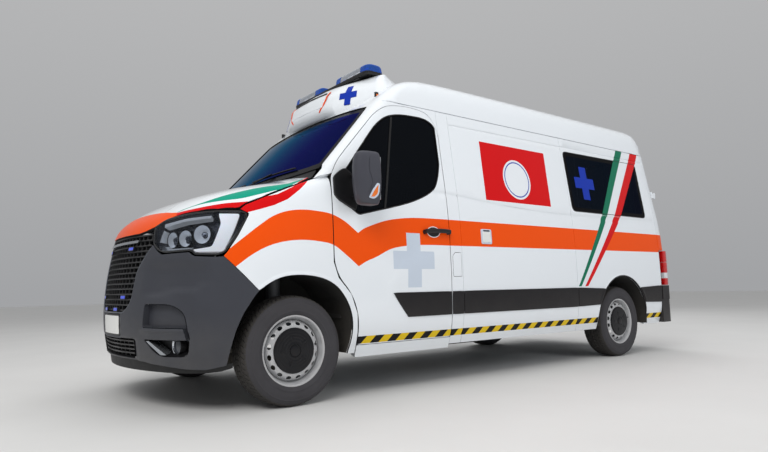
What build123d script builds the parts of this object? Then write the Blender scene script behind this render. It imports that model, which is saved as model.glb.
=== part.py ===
from build123d import *
import math
import os

os.makedirs("parts", exist_ok=True)

# ---------------------------------------------------------------- driving dimensions (mm)
# Frame: +Z up, nose towards -Y, the vehicle's left side towards +X.
# Stations along the vehicle are counted from the front axle, positive towards the rear.
LENGTH = 5575.0
WHEELBASE = 3682.0
FRONT_OVERHANG = 869.0
AXLE_Y = -(LENGTH / 2 - FRONT_OVERHANG)  # front axle in the row frame
TRACK_FRONT = 1750.0
TRACK_REAR = 1730.0
TYRE_R = 345.0
TYRE_W = 225.0
RIM_R = 220.0
HUB_Z = TYRE_R
STEER_X = 815.0  # kingpin axis

REAR_S = 4605.0  # outer face of the rear doors
FLOOR_TOP = 550.0
FLOOR_T = 30.0
WALL = 60.0  # side wall and door thickness
ROOF_T = 45.0
SKIN = 26.0  # outer layer of a front door, full outline
GAP = 8.0  # shut line of a moving panel
SEAM = 3.0  # seam between fixed panels
ROOF_SEAM_Z = 2128.0
DOOR_REAR_S = 1318.0
PILLAR_REAR_S = 1440.0
MID_SEAM_S = 2915.0
CORNER_SEAM_S = 4412.0
SLIDE_REAR_S = 2760.0

HUB_FRONT = 893.0  # outer face of the front hubs
HUB_REAR = 883.0
STRUT_X = 670.0
STEERING_WHEEL_R = 195.0
STEER_COLUMN = Plane(origin=(420, AXLE_Y + 805, 1190), x_dir=(1, 0, 0), z_dir=(0, math.sin(math.radians(35)), math.cos(math.radians(35))))
STRETCHER_S, STRETCHER_X, STRETCHER_Y, STRETCHER_R = 2700.0, 500.0, 1400.0, 5.25  # stretcher floor fixing

# body section: height, half width (sill, flank arc, straight tumblehome, roof edge arc, crown)
SILL = (975.0, 290.0)
FLANK_LOW = (1022.0, 430.0)
FLANK_MID = (1036.0, 760.0)
WAIST = (1008.0, 1370.0)
CANT = (899.0, 2150.0)
ROOF_MID = (852.0, 2322.0)
ROOF_EDGE = (740.0, 2440.0)
ROOF_TOP = 2499.0

# windscreen: a cylinder leaning back
SCREEN_LEAN = math.radians(47.0)
SCREEN_N0 = 950.0  # distance of the glass crown from the axle line, square to the glass
SCREEN_BOW = 0.075e-3  # bow of the glass, per mm


def side(x=0.0):
    """Side view plane: local x is the station, local y is the height."""
    return Plane(origin=(x, AXLE_Y, 0), x_dir=(0, 1, 0), z_dir=(1, 0, 0))


def plan(h):
    """Plan view plane: local x is across, local y is the station."""
    return Plane(origin=(0, AXLE_Y, h), x_dir=(1, 0, 0), z_dir=(0, 0, 1))


def across(s):
    """Front view plane at a station: local x is across, local y is the height, extrudes forwards."""
    return Plane(origin=(0, AXLE_Y + s, 0), x_dir=(1, 0, 0), z_dir=(0, -1, 0))


def finish(builder, label):
    builder.part.label = label
    export_step(builder.part, f"parts/{label}.step")


def half_width(z):
    """Half width of the body side at a height."""
    if z <= FLANK_LOW[1]:
        t = (z - SILL[1]) / (FLANK_LOW[1] - SILL[1])
        return SILL[0] + t * (FLANK_LOW[0] - SILL[0])
    if z <= WAIST[1]:
        a, b, c = FLANK_LOW, FLANK_MID, WAIST
        d1 = (b[0] - a[0]) / (b[1] - a[1])
        d2 = (c[0] - b[0]) / (c[1] - b[1])
        return a[0] + d1 * (z - a[1]) + (d2 - d1) / (c[1] - a[1]) * (z - a[1]) * (z - b[1])
    t = (z - WAIST[1]) / (CANT[1] - WAIST[1])
    return WAIST[0] + t * (CANT[0] - WAIST[0])


def section_face(d=0.0):
    """Closed body section, moved inwards by d."""
    with BuildSketch() as face:
        with BuildLine():
            Line((-SILL[0], SILL[1]), (SILL[0], SILL[1]))
            for k in (1, -1):
                Line((k * SILL[0], SILL[1]), (k * FLANK_LOW[0], FLANK_LOW[1]))
                ThreePointArc((k * FLANK_LOW[0], FLANK_LOW[1]), (k * FLANK_MID[0], FLANK_MID[1]), (k * WAIST[0], WAIST[1]))
                Line((k * WAIST[0], WAIST[1]), (k * CANT[0], CANT[1]))
                ThreePointArc((k * CANT[0], CANT[1]), (k * ROOF_MID[0], ROOF_MID[1]), (k * ROOF_EDGE[0], ROOF_EDGE[1]))
            ThreePointArc((ROOF_EDGE[0], ROOF_EDGE[1]), (0, ROOF_TOP), (-ROOF_EDGE[0], ROOF_EDGE[1]))
        make_face()
        if d:
            offset(amount=-d, kind=Kind.INTERSECTION, mode=Mode.REPLACE)
    return face.sketch


def roofline_face(d):
    """Side silhouette of the greenhouse and load space, moved inwards by d."""
    with BuildSketch() as face:
        with BuildLine():
            Polyline((-1200, 200), (REAR_S - d, 200), (REAR_S - d, 1200), (REAR_S - 85 - d, 2280))
            ThreePointArc((REAR_S - 85 - d, 2280), (REAR_S - 150 - d, 2412 - d), (REAR_S - 290, 2468 - d))
            ThreePointArc((REAR_S - 290, 2468 - d), (3200, 2499.5 - d), (2000, 2490 - d))
            ThreePointArc((2000, 2490 - d), (1200, 2418 - d), (700 + d, 2160 - d * 0.6))
            Polyline((700 + d, 2160 - d * 0.6), (-1200, 2000), (-1200, 200))
        make_face()
    return face.sketch


def screen_face(d):
    """Region behind the windscreen surface moved inwards by d, square to the glass."""
    w = 1150.0
    n = SCREEN_N0 - SCREEN_BOW * w * w
    with BuildSketch() as face:
        with BuildLine():
            ThreePointArc((-w, -n + d), (0, -SCREEN_N0 + d), (w, -n + d))
            Polyline((w, -n + d), (w, 3500), (-w, 3500), (-w, -n + d))
        make_face()
    return face.sketch


SCREEN_PLANE = Plane(
    origin=(0, AXLE_Y, 0),
    x_dir=(1, 0, 0),
    z_dir=(0, math.cos(SCREEN_LEAN), math.sin(SCREEN_LEAN)),
)

# ---------------------------------------------------------------- outer and inner body forms
with BuildPart() as cabin_outer:
    with BuildSketch(across(REAR_S + 10)):
        add(section_face())
    extrude(amount=REAR_S + 1200)
    with BuildSketch(side()):
        add(roofline_face(0))
    extrude(amount=1200, both=True, mode=Mode.INTERSECT)
    with BuildSketch(SCREEN_PLANE):
        add(screen_face(0))
    extrude(amount=6000, both=True, mode=Mode.INTERSECT)

with BuildPart() as cabin_inner:
    with BuildSketch(across(REAR_S + 10)):
        add(section_face(WALL))
    extrude(amount=REAR_S + 1200)
    with BuildSketch(side()):
        add(roofline_face(ROOF_T))
    extrude(amount=1200, both=True, mode=Mode.INTERSECT)
    with BuildSketch(SCREEN_PLANE):
        add(screen_face(45))
    extrude(amount=6000, both=True, mode=Mode.INTERSECT)
    with BuildSketch(plan(0)):
        with Locations((0, 2000)):
            Rectangle(2200, 8000)
    extrude(amount=SILL[1] + WALL + 10, mode=Mode.SUBTRACT)

with BuildPart() as cabin_shell:
    add(cabin_outer.part)
    with BuildSketch(side()):  # the front clip starts ahead of the door seam
        with BuildLine():
            Polyline((-1200, 0), (262, 0), (262, 1500), (-600, 1224), (-1200, 1224), (-1200, 0))
        make_face()
    extrude(amount=1300, both=True, mode=Mode.SUBTRACT)
    add(cabin_inner.part, mode=Mode.SUBTRACT)
    with BuildSketch(plan(0)):  # open below: the floor closes it
        with Locations((0, 2400)):
            Rectangle(1780, 4400)
    extrude(amount=FLOOR_TOP, mode=Mode.SUBTRACT)


# front clip: plan outlines by height. Columns: height, nose station, station at x 780, corner x, corner station, end x, end station
NOSE = (
    (270.0, -835.0, -640.0, 915.0, -500.0, 985.0, -300.0),
    (560.0, -869.0, -690.0, 945.0, -520.0, 1020.0, -280.0),
    (900.0, -838.0, -655.0, 940.0, -480.0, 1018.0, -250.0),
    (1180.0, -798.0, -610.0, 905.0, -430.0, 985.0, -200.0),
    (1330.0, -680.0, -510.0, 880.0, -340.0, 965.0, -110.0),
)


def nose_outline(row, d):
    """Plan outline of the front clip at one height, moved inwards by d."""
    z, nose_s, wide_s, cx, cs, ex, es = row
    with BuildSketch() as face:
        with BuildLine():
            ThreePointArc((-780 + d * 0.2, wide_s + d), (0, nose_s + d), (780 - d * 0.2, wide_s + d))
            for k in (1, -1):
                ThreePointArc((k * (780 - d * 0.2), wide_s + d), (k * (cx - 0.7 * d), cs + 0.7 * d), (k * (ex - d), es))
                Line((k * (ex - d), es), (k * (1060 - d), 330))
            Line((1060 - d, 330), (-1060 + d, 330))
        make_face()
    return face.sketch


def front_form(d):
    """Solid of the front clip, moved inwards by d."""
    with BuildPart() as nose:
        for row in NOSE:
            with BuildSketch(plan(row[0])):
                add(nose_outline(row, d))
        loft(ruled=True)
        with BuildSketch(plan(NOSE[-1][0])):
            add(nose_outline(NOSE[-1], d))
        extrude(amount=330)
        # bonnet surface: slope with a slight crown
        with BuildSketch(
            Plane(origin=(0, AXLE_Y - 720, 1258 - d), x_dir=(1, 0, 0), z_dir=(0, -math.cos(BONNET_SLOPE), -math.sin(BONNET_SLOPE)))
        ):
            with BuildLine():
                ThreePointArc((-1100, -95), (0, 0), (1100, -95))
                Polyline((1100, -95), (1100, -1500), (-1100, -1500), (-1100, -95))
            make_face()
        extrude(amount=1800, both=True, mode=Mode.INTERSECT)
    return nose.part


BONNET_SLOPE = math.atan2(237.0, 740.0)

with BuildPart() as section_prism:
    with BuildSketch(across(400)):
        add(section_face())
    extrude(amount=1500)

with BuildPart() as front_outer:
    add(front_form(0))
    add(section_prism.part, mode=Mode.INTERSECT)

FRONT_T = 32.0
with BuildPart() as front_inner:
    add(front_form(FRONT_T))
    with BuildSketch(across(400)):
        add(section_face(FRONT_T))
    extrude(amount=1500, mode=Mode.INTERSECT)

with BuildPart() as front_shell:
    add(front_outer.part)
    add(front_inner.part, mode=Mode.SUBTRACT)
    with BuildSketch(plan(0)):
        with Locations((0, -100)):
            Rectangle(1840, 1060)
    extrude(amount=420, mode=Mode.SUBTRACT)


def arch_form(s, z, r, depth=1300):
    """Wheel arch cylinder through both sides, open below."""
    with BuildPart() as form:
        with BuildSketch(side()):
            with Locations((s, z)):
                Circle(r)
            with Locations((s, z - 300)):
                Rectangle(2 * r, 600)
        extrude(amount=depth, both=True)
    return form.part


# ---------------------------------------------------------------- side view outlines (station, height)
def door_outline(d):
    """Front door outline, shrunk by d."""
    with BuildSketch() as face:
        with BuildLine():
            Polyline(
                (266 + d, 1480), (262 + d, 900), (300 + d, 800), (400 + d, 690), (452 + d, 560), (458 + d, 420), (458 + d, 345 + d),
                (DOOR_REAR_S - d, 345 + d), (DOOR_REAR_S - d, 1960), (DOOR_REAR_S - 70 - d, 2085 - d), (DOOR_REAR_S - 200, 2112 - d),
                (960, 2112 - d), (810, 2085 - d), (700 + d, 2010 - 0.5 * d), (330 + d * 1.2, 1600), (266 + d, 1480),
            )
        make_face()
    return face.sketch


def door_window_outline(d):
    """Front door glass outline, shrunk by d."""
    with BuildSketch() as face:
        with BuildLine():
            Polyline(
                (400 + d, 1440 + d), (520 + 0.2 * d, 1255 + d), (760, 1310 + d), (1130, 1385 + d), (1215 - d, 1480 + d),
                (1262 - d, 1640), (1282 - d, 1930), (1240 - d, 2010 - d), (1150, 2040 - d), (900, 2030 - d), (790 + d, 1990 - d),
                (400 + d, 1530), (400 + d, 1440 + d),
            )
        make_face()
    return face.sketch


WINDOW = ((2945.0, 1405.0), (4225.0, 1405.0), (4225.0, 2012.0), (2945.0, 1990.0))  # rear side window corners

MIRROR_Z0, MIRROR_Z1 = 1275.0, 1637.0
HINGE_X, HINGE_S = 905.0, 4632.0  # pin line of the rear doors
HINGE_HEIGHTS = (615.0, 1150.0, 1690.0)
LAMP_Z0, LAMP_Z1 = 690.0, 1060.0  # tail light heights
REAR_BUMPER_S = WHEELBASE + (LENGTH - WHEELBASE - FRONT_OVERHANG)
FLAP = (1338.0, 1428.0, 795.0, 985.0)  # fuel flap: stations, heights


def band(s0, s1, z0, z1, x0, x1):
    """A box given by stations, heights and x."""
    with BuildPart() as box:
        with BuildSketch(side(x0)):
            with Locations(((s0 + s1) / 2, (z0 + z1) / 2)):
                Rectangle(s1 - s0, z1 - z0)
        extrude(amount=x1 - x0)
    return box.part


def rear_opening(d):
    """Rear door opening in front view, moved inwards by d."""
    with BuildSketch() as face:
        with BuildLine():
            Polyline((-872 + d, 562 + d), (872 - d, 562 + d), (872 - d, 1370), (800 - d, 2150), (742 - d, 2290 - d * 0.6), (640, 2338 - d), (-640, 2338 - d),
                     (-742 + d, 2290 - d * 0.6), (-800 + d, 2150), (-872 + d, 1370), (-872 + d, 562 + d))
        make_face()
    return face.sketch


# ---------------------------------------------------------------- load space walls and pillars
with BuildPart() as b_pillars:
    add(cabin_shell.part)
    add(band(DOOR_REAR_S + GAP, PILLAR_REAR_S, 290, ROOF_SEAM_Z, -1200, 1200), mode=Mode.INTERSECT)
    add(band(FLAP[0] - GAP, FLAP[1] + GAP, FLAP[2] - GAP, FLAP[3] + GAP, 990, 1100), mode=Mode.SUBTRACT)
    add(band(1000, 1600, 200, 3000, -830, 830), mode=Mode.SUBTRACT)
finish(b_pillars, "b_pillars")

with BuildPart() as side_panel_mid_left:
    add(cabin_shell.part)
    add(band(PILLAR_REAR_S + SEAM, MID_SEAM_S, 290, ROOF_SEAM_Z, 700, 1200), mode=Mode.INTERSECT)
finish(side_panel_mid_left, "side_panel_mid_left")

for label, k in (("side_panel_rear_left", 1), ("side_panel_rear_right", -1)):
    x0, x1 = (700, 1200) if k > 0 else (-1200, -700)
    start = MID_SEAM_S + SEAM if k > 0 else SLIDE_REAR_S + SEAM + 5
    with BuildPart() as rear_panel:
        add(cabin_shell.part)
        add(band(start, CORNER_SEAM_S, 290, ROOF_SEAM_Z, x0, x1), mode=Mode.INTERSECT)
        add(arch_form(3672, 368, 425), mode=Mode.SUBTRACT)
        with BuildSketch(side()):
            with BuildLine():
                Polyline(*WINDOW, close=True)
            make_face()
        extrude(amount=1300, both=True, mode=Mode.SUBTRACT)
    finish(rear_panel, label)

with BuildPart() as sliding_door:
    add(cabin_shell.part)
    add(band(PILLAR_REAR_S + 5, SLIDE_REAR_S, 330, ROOF_SEAM_Z - 25, -1200, -700), mode=Mode.INTERSECT)
    add(band(1600, 2600, 1405, 1985, -1200, -700), mode=Mode.SUBTRACT)
finish(sliding_door, "sliding_door")

with BuildPart() as rocker:  # sills under the front doors
    add(cabin_shell.part)
    add(band(470, DOOR_REAR_S + GAP - SEAM, 200, 335, -1200, 1200), mode=Mode.INTERSECT)
finish(rocker, "sills")

# glass of the three side windows
with BuildPart() as side_windows:
    add(cabin_shell.part)
    with BuildSketch(side()):
        with BuildLine():
            Polyline((WINDOW[0][0] + 2, WINDOW[0][1] + 2), (WINDOW[1][0] - 2, WINDOW[1][1] + 2), (WINDOW[2][0] - 2, WINDOW[2][1] - 2),
                     (WINDOW[3][0] + 2, WINDOW[3][1] - 2), close=True)
        make_face()
        with Locations((2100, 1695)):
            Rectangle(996, 576)
    extrude(amount=1300, both=True, mode=Mode.INTERSECT)
    with BuildSketch(across(REAR_S + 10)):
        add(section_face(9))
    extrude(amount=5000, mode=Mode.SUBTRACT)
    add(band(1500, 2700, 1300, 2100, 0, 1200), mode=Mode.SUBTRACT)
finish(side_windows, "side_windows")

# ---------------------------------------------------------------- roof and cab frame
with BuildPart() as roof:
    add(cabin_shell.part)
    add(band(500, REAR_S + 20, ROOF_SEAM_Z + SEAM, 2600, -1200, 1200), mode=Mode.INTERSECT)
    with BuildSketch(across(REAR_S + 50)):
        add(rear_opening(-GAP))
    extrude(amount=400, mode=Mode.SUBTRACT)
finish(roof, "roof")

with BuildPart() as cab_frame:  # windscreen surround, cowl and A-pillars
    add(cabin_shell.part)
    add(band(-300, 1300, 1380, ROOF_SEAM_Z, -1200, 1200), mode=Mode.INTERSECT)
    with BuildSketch(side()):
        add(door_outline(-GAP))
    extrude(amount=1300, both=True, mode=Mode.SUBTRACT)
    add(band(1000, 1400, 1300, 2060, -1300, 1300), mode=Mode.SUBTRACT)
    add(band(-400, 180, 1300, 1700, -925, 925), mode=Mode.SUBTRACT)
    with BuildSketch(Plane(origin=(0, AXLE_Y, 0), x_dir=(1, 0, 0), z_dir=(0, -math.sin(SCREEN_LEAN), math.cos(SCREEN_LEAN)))):
        with BuildLine():
            Polyline((-903, 1287), (-600, 1212), (0, 1172), (600, 1212), (903, 1287), (803, 2040), (-803, 2040), close=True)
        make_face()
    extrude(amount=1500, mode=Mode.SUBTRACT)
finish(cab_frame, "cab_frame")

with BuildPart() as windscreen:
    with BuildSketch(SCREEN_PLANE):
        add(screen_face(0))
    extrude(amount=6000, both=True)
    with BuildSketch(SCREEN_PLANE):
        add(screen_face(9))
    extrude(amount=6000, both=True, mode=Mode.SUBTRACT)
    with BuildSketch(Plane(origin=(0, AXLE_Y, 0), x_dir=(1, 0, 0), z_dir=(0, -math.sin(SCREEN_LEAN), math.cos(SCREEN_LEAN)))):
        with BuildLine():
            Polyline((-900, 1290), (-600, 1215), (0, 1175), (600, 1215), (900, 1290), (800, 2013), (-800, 2013), close=True)
        make_face()
    extrude(amount=1500, mode=Mode.INTERSECT)
finish(windscreen, "windscreen")

# ---------------------------------------------------------------- rear end
with BuildPart() as rear_frame:  # corner posts and sill around the rear doors
    add(cabin_shell.part)
    add(band(CORNER_SEAM_S + SEAM, REAR_S + 20, 430, ROOF_SEAM_Z, -1200, 1200), mode=Mode.INTERSECT)
    with BuildSketch(across(REAR_S + 50)):
        add(rear_opening(-GAP))
    extrude(amount=400, mode=Mode.SUBTRACT)
    for k in (1, -1):  # room for the corner bumpers and the tail lights
        with BuildSketch(across(REAR_S + 50)):
            with BuildLine():
                Polyline((k * 884, 400), (k * 884, LAMP_Z0), (k * 927, LAMP_Z0), (k * 927, LAMP_Z1 + SEAM), (k * 1100, LAMP_Z1 + SEAM), (k * 1100, 400), close=True)
            make_face()
        extrude(amount=180, mode=Mode.SUBTRACT)
        with BuildSketch(across(REAR_S + 50)):
            with BuildLine():
                Polyline((k * 884, 400), (k * 884, LAMP_Z0), (k * 1100, LAMP_Z0), (k * 1100, 400), close=True)
            make_face()
        extrude(amount=300, mode=Mode.SUBTRACT)
finish(rear_frame, "rear_frame")

for label, k in (("rear_door_left", 1), ("rear_door_right", -1)):
    with BuildPart() as door:
        add(cabin_shell.part)
        with BuildSketch(across(REAR_S + 50)):
            add(rear_opening(0))
        extrude(amount=230, mode=Mode.INTERSECT)
        add(band(4300, REAR_S + 50, 400, 2500, 3 if k > 0 else -1200, 1200 if k > 0 else -3), mode=Mode.INTERSECT)
        with BuildSketch(plan(400)):  # the meeting edge stays inside the swing circle, so both doors open together
            with Locations((k * HINGE_X, HINGE_S)):
                Circle(HINGE_X - 3)
        extrude(amount=2100, mode=Mode.INTERSECT)
        with BuildSketch(across(REAR_S + 50)):
            with BuildLine():
                Polyline((k * 140, 1400), (k * 760, 1400), (k * 700, 2080), (k * 640, 2150), (k * 140, 2150), close=True)
            make_face()
        extrude(amount=400, mode=Mode.SUBTRACT)
        # outside hinge arms to the pin line
        for z in HINGE_HEIGHTS:
            base = REAR_S - 25 - max(0.0, z + 35 - 1200) * 85 / 1080
            with BuildSketch(plan(z - 35)):
                with BuildLine():
                    Polyline((k * 770, base), (k * 828, base), (k * 834, HINGE_S - 10), (k * 900, HINGE_S - 10), (k * 900, HINGE_S + 8), (k * 820, HINGE_S + 8), (k * 770, base + 32), close=True)
                make_face()
                with Locations((k * HINGE_X, HINGE_S)):
                    Circle(11)
            extrude(amount=70)
    finish(door, label)
    with BuildPart() as pane:
        add(cabin_outer.part)
        with BuildSketch(side()):
            add(roofline_face(9))
        extrude(amount=1200, both=True, mode=Mode.SUBTRACT)
        with BuildSketch(across(REAR_S + 50)):
            with BuildLine():
                Polyline((k * 142, 1402), (k * 757.6, 1402), (k * 698, 2079), (k * 639, 2148), (k * 142, 2148), close=True)
            make_face()
        extrude(amount=400, mode=Mode.INTERSECT)
    finish(pane, label.replace("door", "window"))

with BuildPart() as rear_bumper:
    with BuildSketch(plan(300)):
        with BuildLine():
            ThreePointArc((-900, 4680), (0, REAR_BUMPER_S), (900, 4680))
            for k in (1, -1):
                ThreePointArc((k * 900, 4680), (k * 990, 4632), (k * 1034, 4540))
                Polyline((k * 1034, 4540), (k * 1034, CORNER_SEAM_S + SEAM), (k * 962, CORNER_SEAM_S + SEAM), (k * 962, 4575), (k * 884, 4608))
            Line((-884, 4608), (884, 4608))
        make_face()
    extrude(amount=242)
    with BuildSketch(plan(542)):  # raised corners under the tail lights
        for k in (1, -1):
            with BuildLine():
                Polyline((k * 930, 4560), (k * 975, 4500), (k * 975, CORNER_SEAM_S + SEAM), (k * 1046, CORNER_SEAM_S + SEAM), (k * 1048, 4545), (k * 1016, 4600), (k * 930, 4616), close=True)
            make_face()
    extrude(amount=LAMP_Z0 - SEAM - 542)
finish(rear_bumper, "rear_bumper")

with BuildPart() as tail_lights:
    with BuildSketch(plan(LAMP_Z0)):
        for k in (1, -1):
            with BuildLine():
                Polyline((k * 930, 4560), (k * 975, 4485), (k * 1044, 4485), (k * 1046, 4545), (k * 1016, 4600), (k * 930, 4614), close=True)
            make_face()
    extrude(amount=LAMP_Z1 - LAMP_Z0)
finish(tail_lights, "tail_lights")

# ---------------------------------------------------------------- front doors
for label, k in (("front_door_left", 1), ("front_door_right", -1)):
    x0, x1 = (500, 1200) if k > 0 else (-1200, -500)
    with BuildPart() as door:
        add(cabin_shell.part)
        with BuildSketch(side()):
            add(door_outline(20))
        extrude(amount=1300, both=True, mode=Mode.INTERSECT)
        with BuildPart(mode=Mode.PRIVATE) as skin:
            add(cabin_shell.part)
            with BuildSketch(side()):
                add(door_outline(0))
            extrude(amount=1300, both=True, mode=Mode.INTERSECT)
            with BuildSketch(across(2000)):
                add(section_face(SKIN))
            extrude(amount=2500, mode=Mode.SUBTRACT)
        add(skin.part)
        add(band(100, 1400, 300, 2200, x0, x1), mode=Mode.INTERSECT)
        with BuildSketch(side()):
            add(door_window_outline(0))
        extrude(amount=1300, both=True, mode=Mode.SUBTRACT)
        with BuildSketch(SCREEN_PLANE):
            add(screen_face(34))
        extrude(amount=6000, both=True, mode=Mode.INTERSECT)
    finish(door, label)
    with BuildPart() as pane:
        add(cabin_outer.part)
        with BuildSketch(across(2000)):
            add(section_face(9))
        extrude(amount=2500, mode=Mode.SUBTRACT)
        with BuildSketch(side()):
            add(door_window_outline(2))
        extrude(amount=1300, both=True, mode=Mode.INTERSECT)
        add(band(100, 1400, 300, 2200, x0, x1), mode=Mode.INTERSECT)
    finish(pane, label.replace("front_door", "door_window"))
    with BuildPart() as mirror:
        with BuildSketch(plan(MIRROR_Z0)):
            with BuildLine():
                Polyline((k * 1090, 395), (k * 1130, 335), (k * 1200, 335), (k * 1232, 400), (k * 1232, 480), (k * 1085, 490), close=True)
            make_face()
        extrude(amount=MIRROR_Z1 - MIRROR_Z0)
        for z in (MIRROR_Z0 + 50, MIRROR_Z0 + 210):
            with BuildSketch(side(k * 1005)):
                with Locations((420, z)):
                    Rectangle(60, 34)
            extrude(amount=k * 100)
        with BuildSketch(side(k * 985)):
            with BuildLine():
                Polyline((330, 1462), (330, 1300), (440, 1262), (470, 1480), (370, 1540), close=True)
            make_face()
        extrude(amount=k * 40)
        add(cabin_outer.part, mode=Mode.SUBTRACT)
    finish(mirror, label.replace("front_door", "mirror"))

# ---------------------------------------------------------------- front clip panels
def front_arch():
    """Front wheel arch opening in side view."""
    with BuildSketch() as face:
        with BuildLine():
            Polyline((-462, 100), (-455, 285), (-430, 450), (-352, 640), (-275, 730), (-150, 815), (0, 850), (130, 826), (250, 742), (335, 610), (368, 450), (370, 100), close=True)
        make_face()
    return face.sketch


def fender_region(d):
    """Side view region of the front wings."""
    with BuildSketch() as face:
        with BuildLine():
            Polyline((-456 + d, 940), (-273 + d, 725), (-273 + d, 100), (600, 100), (600, 1700), (-456 + d, 1700), close=True)
        make_face()
    return face.sketch


def headlight_face(d, k):
    """Headlight outline in front view, grown by d."""
    with BuildSketch() as face:
        with BuildLine():
            Polyline((k * (490 - d), 1130 + d), (k * 560, 1175 + d), (k * 660, 1205 + d), (k * 930, 1225 + d), (k * (1060 if d else 990), 1225 + d), (k * (1060 if d else 990), 938 - d),
                     (k * 830, 940 - d), (k * 800, 965 - d), (k * (630 - d), 955 - d), (k * (498 - d), 1070 - d), close=True)
        make_face()
    return face.sketch


def grille_face(d):
    """Grille outline in front view, grown by d."""
    with BuildSketch() as face:
        with BuildLine():
            Polyline((-470 - d, 1122 + d), (-320, 1098 + d), (320, 1098 + d), (470 + d, 1122 + d), (496 + d, 1010), (440 + d, 930), (380 + d, 840), (360 + d, 685), (240 + d, 597 - d),
                     (-240 - d, 597 - d), (-360 - d, 685), (-380 - d, 840), (-440 - d, 930), (-496 - d, 1010), close=True)
        make_face()
    return face.sketch


def bonnet_plan(d):
    """Bonnet outline in plan, grown by d."""
    with BuildSketch() as face:
        with BuildLine():
            Line((-700, -1000), (700, -1000))
            for k in (1, -1):
                Polyline((k * 700, -1000), (k * (940 + d), -640), (k * (925 + d), -330), (k * (905 + d), 0), (k * (885 + d), 160 + d))
            ThreePointArc((-885 - d, 160 + d), (0, 5 + d), (885 + d, 160 + d))
        make_face()
    return face.sketch


def bonnet_front(d):
    """Region above the bonnet's front edge in front view, grown by d."""
    with BuildSketch() as face:
        with BuildLine():
            Polyline((-1100, 1236 - d), (-930, 1234 - d), (-660, 1214 - d), (-560, 1183 - d), (-480, 1138 - d), (-320, 1106 - d), (320, 1106 - d), (480, 1138 - d), (560, 1183 - d),
                     (660, 1214 - d), (930, 1234 - d), (1100, 1236 - d), (1100, 1700), (-1100, 1700), close=True)
        make_face()
    return face.sketch


with BuildPart() as bonnet:
    add(front_shell.part)
    with BuildSketch(plan(900)):
        add(bonnet_plan(0))
    extrude(amount=900, mode=Mode.INTERSECT)
    with BuildSketch(across(500)):
        add(bonnet_front(0))
    extrude(amount=1600, mode=Mode.INTERSECT)
finish(bonnet, "bonnet")

with BuildPart() as bonnet_zone:
    with BuildSketch(plan(900)):
        add(bonnet_plan(GAP))
    extrude(amount=900)
    with BuildSketch(across(500)):
        add(bonnet_front(GAP))
    extrude(amount=1600, mode=Mode.INTERSECT)

with BuildPart() as lamp_zone:
    for k in (1, -1):
        with BuildSketch(across(-240)):
            add(headlight_face(SEAM, k))
        extrude(amount=800)

with BuildPart() as front_fenders:
    add(front_shell.part)
    with BuildSketch(side()):
        add(fender_region(SEAM))
    extrude(amount=1300, both=True, mode=Mode.INTERSECT)
    with BuildSketch(side()):
        add(front_arch())
    extrude(amount=1300, both=True, mode=Mode.SUBTRACT)
    with BuildSketch(side()):
        add(door_outline(-GAP))
    extrude(amount=1300, both=True, mode=Mode.SUBTRACT)
    add(band(262, 700, 560, 2000, -1300, 1300), mode=Mode.SUBTRACT)
    add(band(470 - SEAM, 700, 100, 2000, -1300, 1300), mode=Mode.SUBTRACT)
    add(bonnet_zone.part, mode=Mode.SUBTRACT)
    add(lamp_zone.part, mode=Mode.SUBTRACT)
    add(band(-600, 700, 100, 2000, -840, 840), mode=Mode.SUBTRACT)
    with BuildSketch(side()):  # the foot of the A-pillar stands on the wing
        with BuildLine():
            Polyline((262, 1496), (262, 1700), (-600, 1700), (-600, 1220), close=True)
        make_face()
    extrude(amount=1300, both=True, mode=Mode.SUBTRACT)
finish(front_fenders, "front_fenders")

with BuildPart() as front_bumper:
    add(front_shell.part)
    add(band(-1000, 300, 200, 1180, -1200, 1200), mode=Mode.INTERSECT)
    with BuildSketch(side()):
        add(fender_region(0))
    extrude(amount=1300, both=True, mode=Mode.SUBTRACT)
    with BuildSketch(side()):
        add(front_arch())
    extrude(amount=1300, both=True, mode=Mode.SUBTRACT)
    with BuildSketch(across(-240)):
        add(grille_face(SEAM))
    extrude(amount=800, mode=Mode.SUBTRACT)
    add(bonnet_zone.part, mode=Mode.SUBTRACT)
    add(lamp_zone.part, mode=Mode.SUBTRACT)
finish(front_bumper, "front_bumper")

with BuildPart() as grille:
    add(front_shell.part)
    with BuildSketch(across(-400)):
        add(grille_face(0))
    extrude(amount=700, mode=Mode.INTERSECT)
    add(bonnet_zone.part, mode=Mode.SUBTRACT)
finish(grille, "grille")

with BuildPart() as headlights:
    add(front_outer.part)
    add(front_form(120), mode=Mode.SUBTRACT)
    with BuildPart(mode=Mode.PRIVATE) as outline:
        for k in (1, -1):
            with BuildSketch(across(-240)):
                add(headlight_face(0, k))
            extrude(amount=800)
    add(outline.part, mode=Mode.INTERSECT)
    add(bonnet_zone.part, mode=Mode.SUBTRACT)
finish(headlights, "headlights")

with BuildPart() as cowl:  # scuttle panel between the bonnet and the glass
    add(front_shell.part)
    with BuildSketch(plan(900)):
        with BuildLine():
            ThreePointArc((-885, 160 + GAP), (0, 5 + GAP), (885, 160 + GAP))
            Polyline((885, 160 + GAP), (885, 600), (-885, 600), (-885, 160 + GAP))
        make_face()
    extrude(amount=900, mode=Mode.INTERSECT)
    with BuildSketch(SCREEN_PLANE):
        add(screen_face(-3))
    extrude(amount=6000, both=True, mode=Mode.SUBTRACT)
    add(band(-300, 700, 1380, 1700, -1200, 1200), mode=Mode.INTERSECT)
finish(cowl, "cowl")

# ---------------------------------------------------------------- fuel flap
with BuildPart() as fuel_flap:
    add(cabin_outer.part)
    with BuildSketch(across(2000)):
        add(section_face(12))
    extrude(amount=2500, mode=Mode.SUBTRACT)
    add(band(FLAP[0], FLAP[1], FLAP[2], FLAP[3], 900, 1200), mode=Mode.INTERSECT)
finish(fuel_flap, "fuel_flap")

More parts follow.
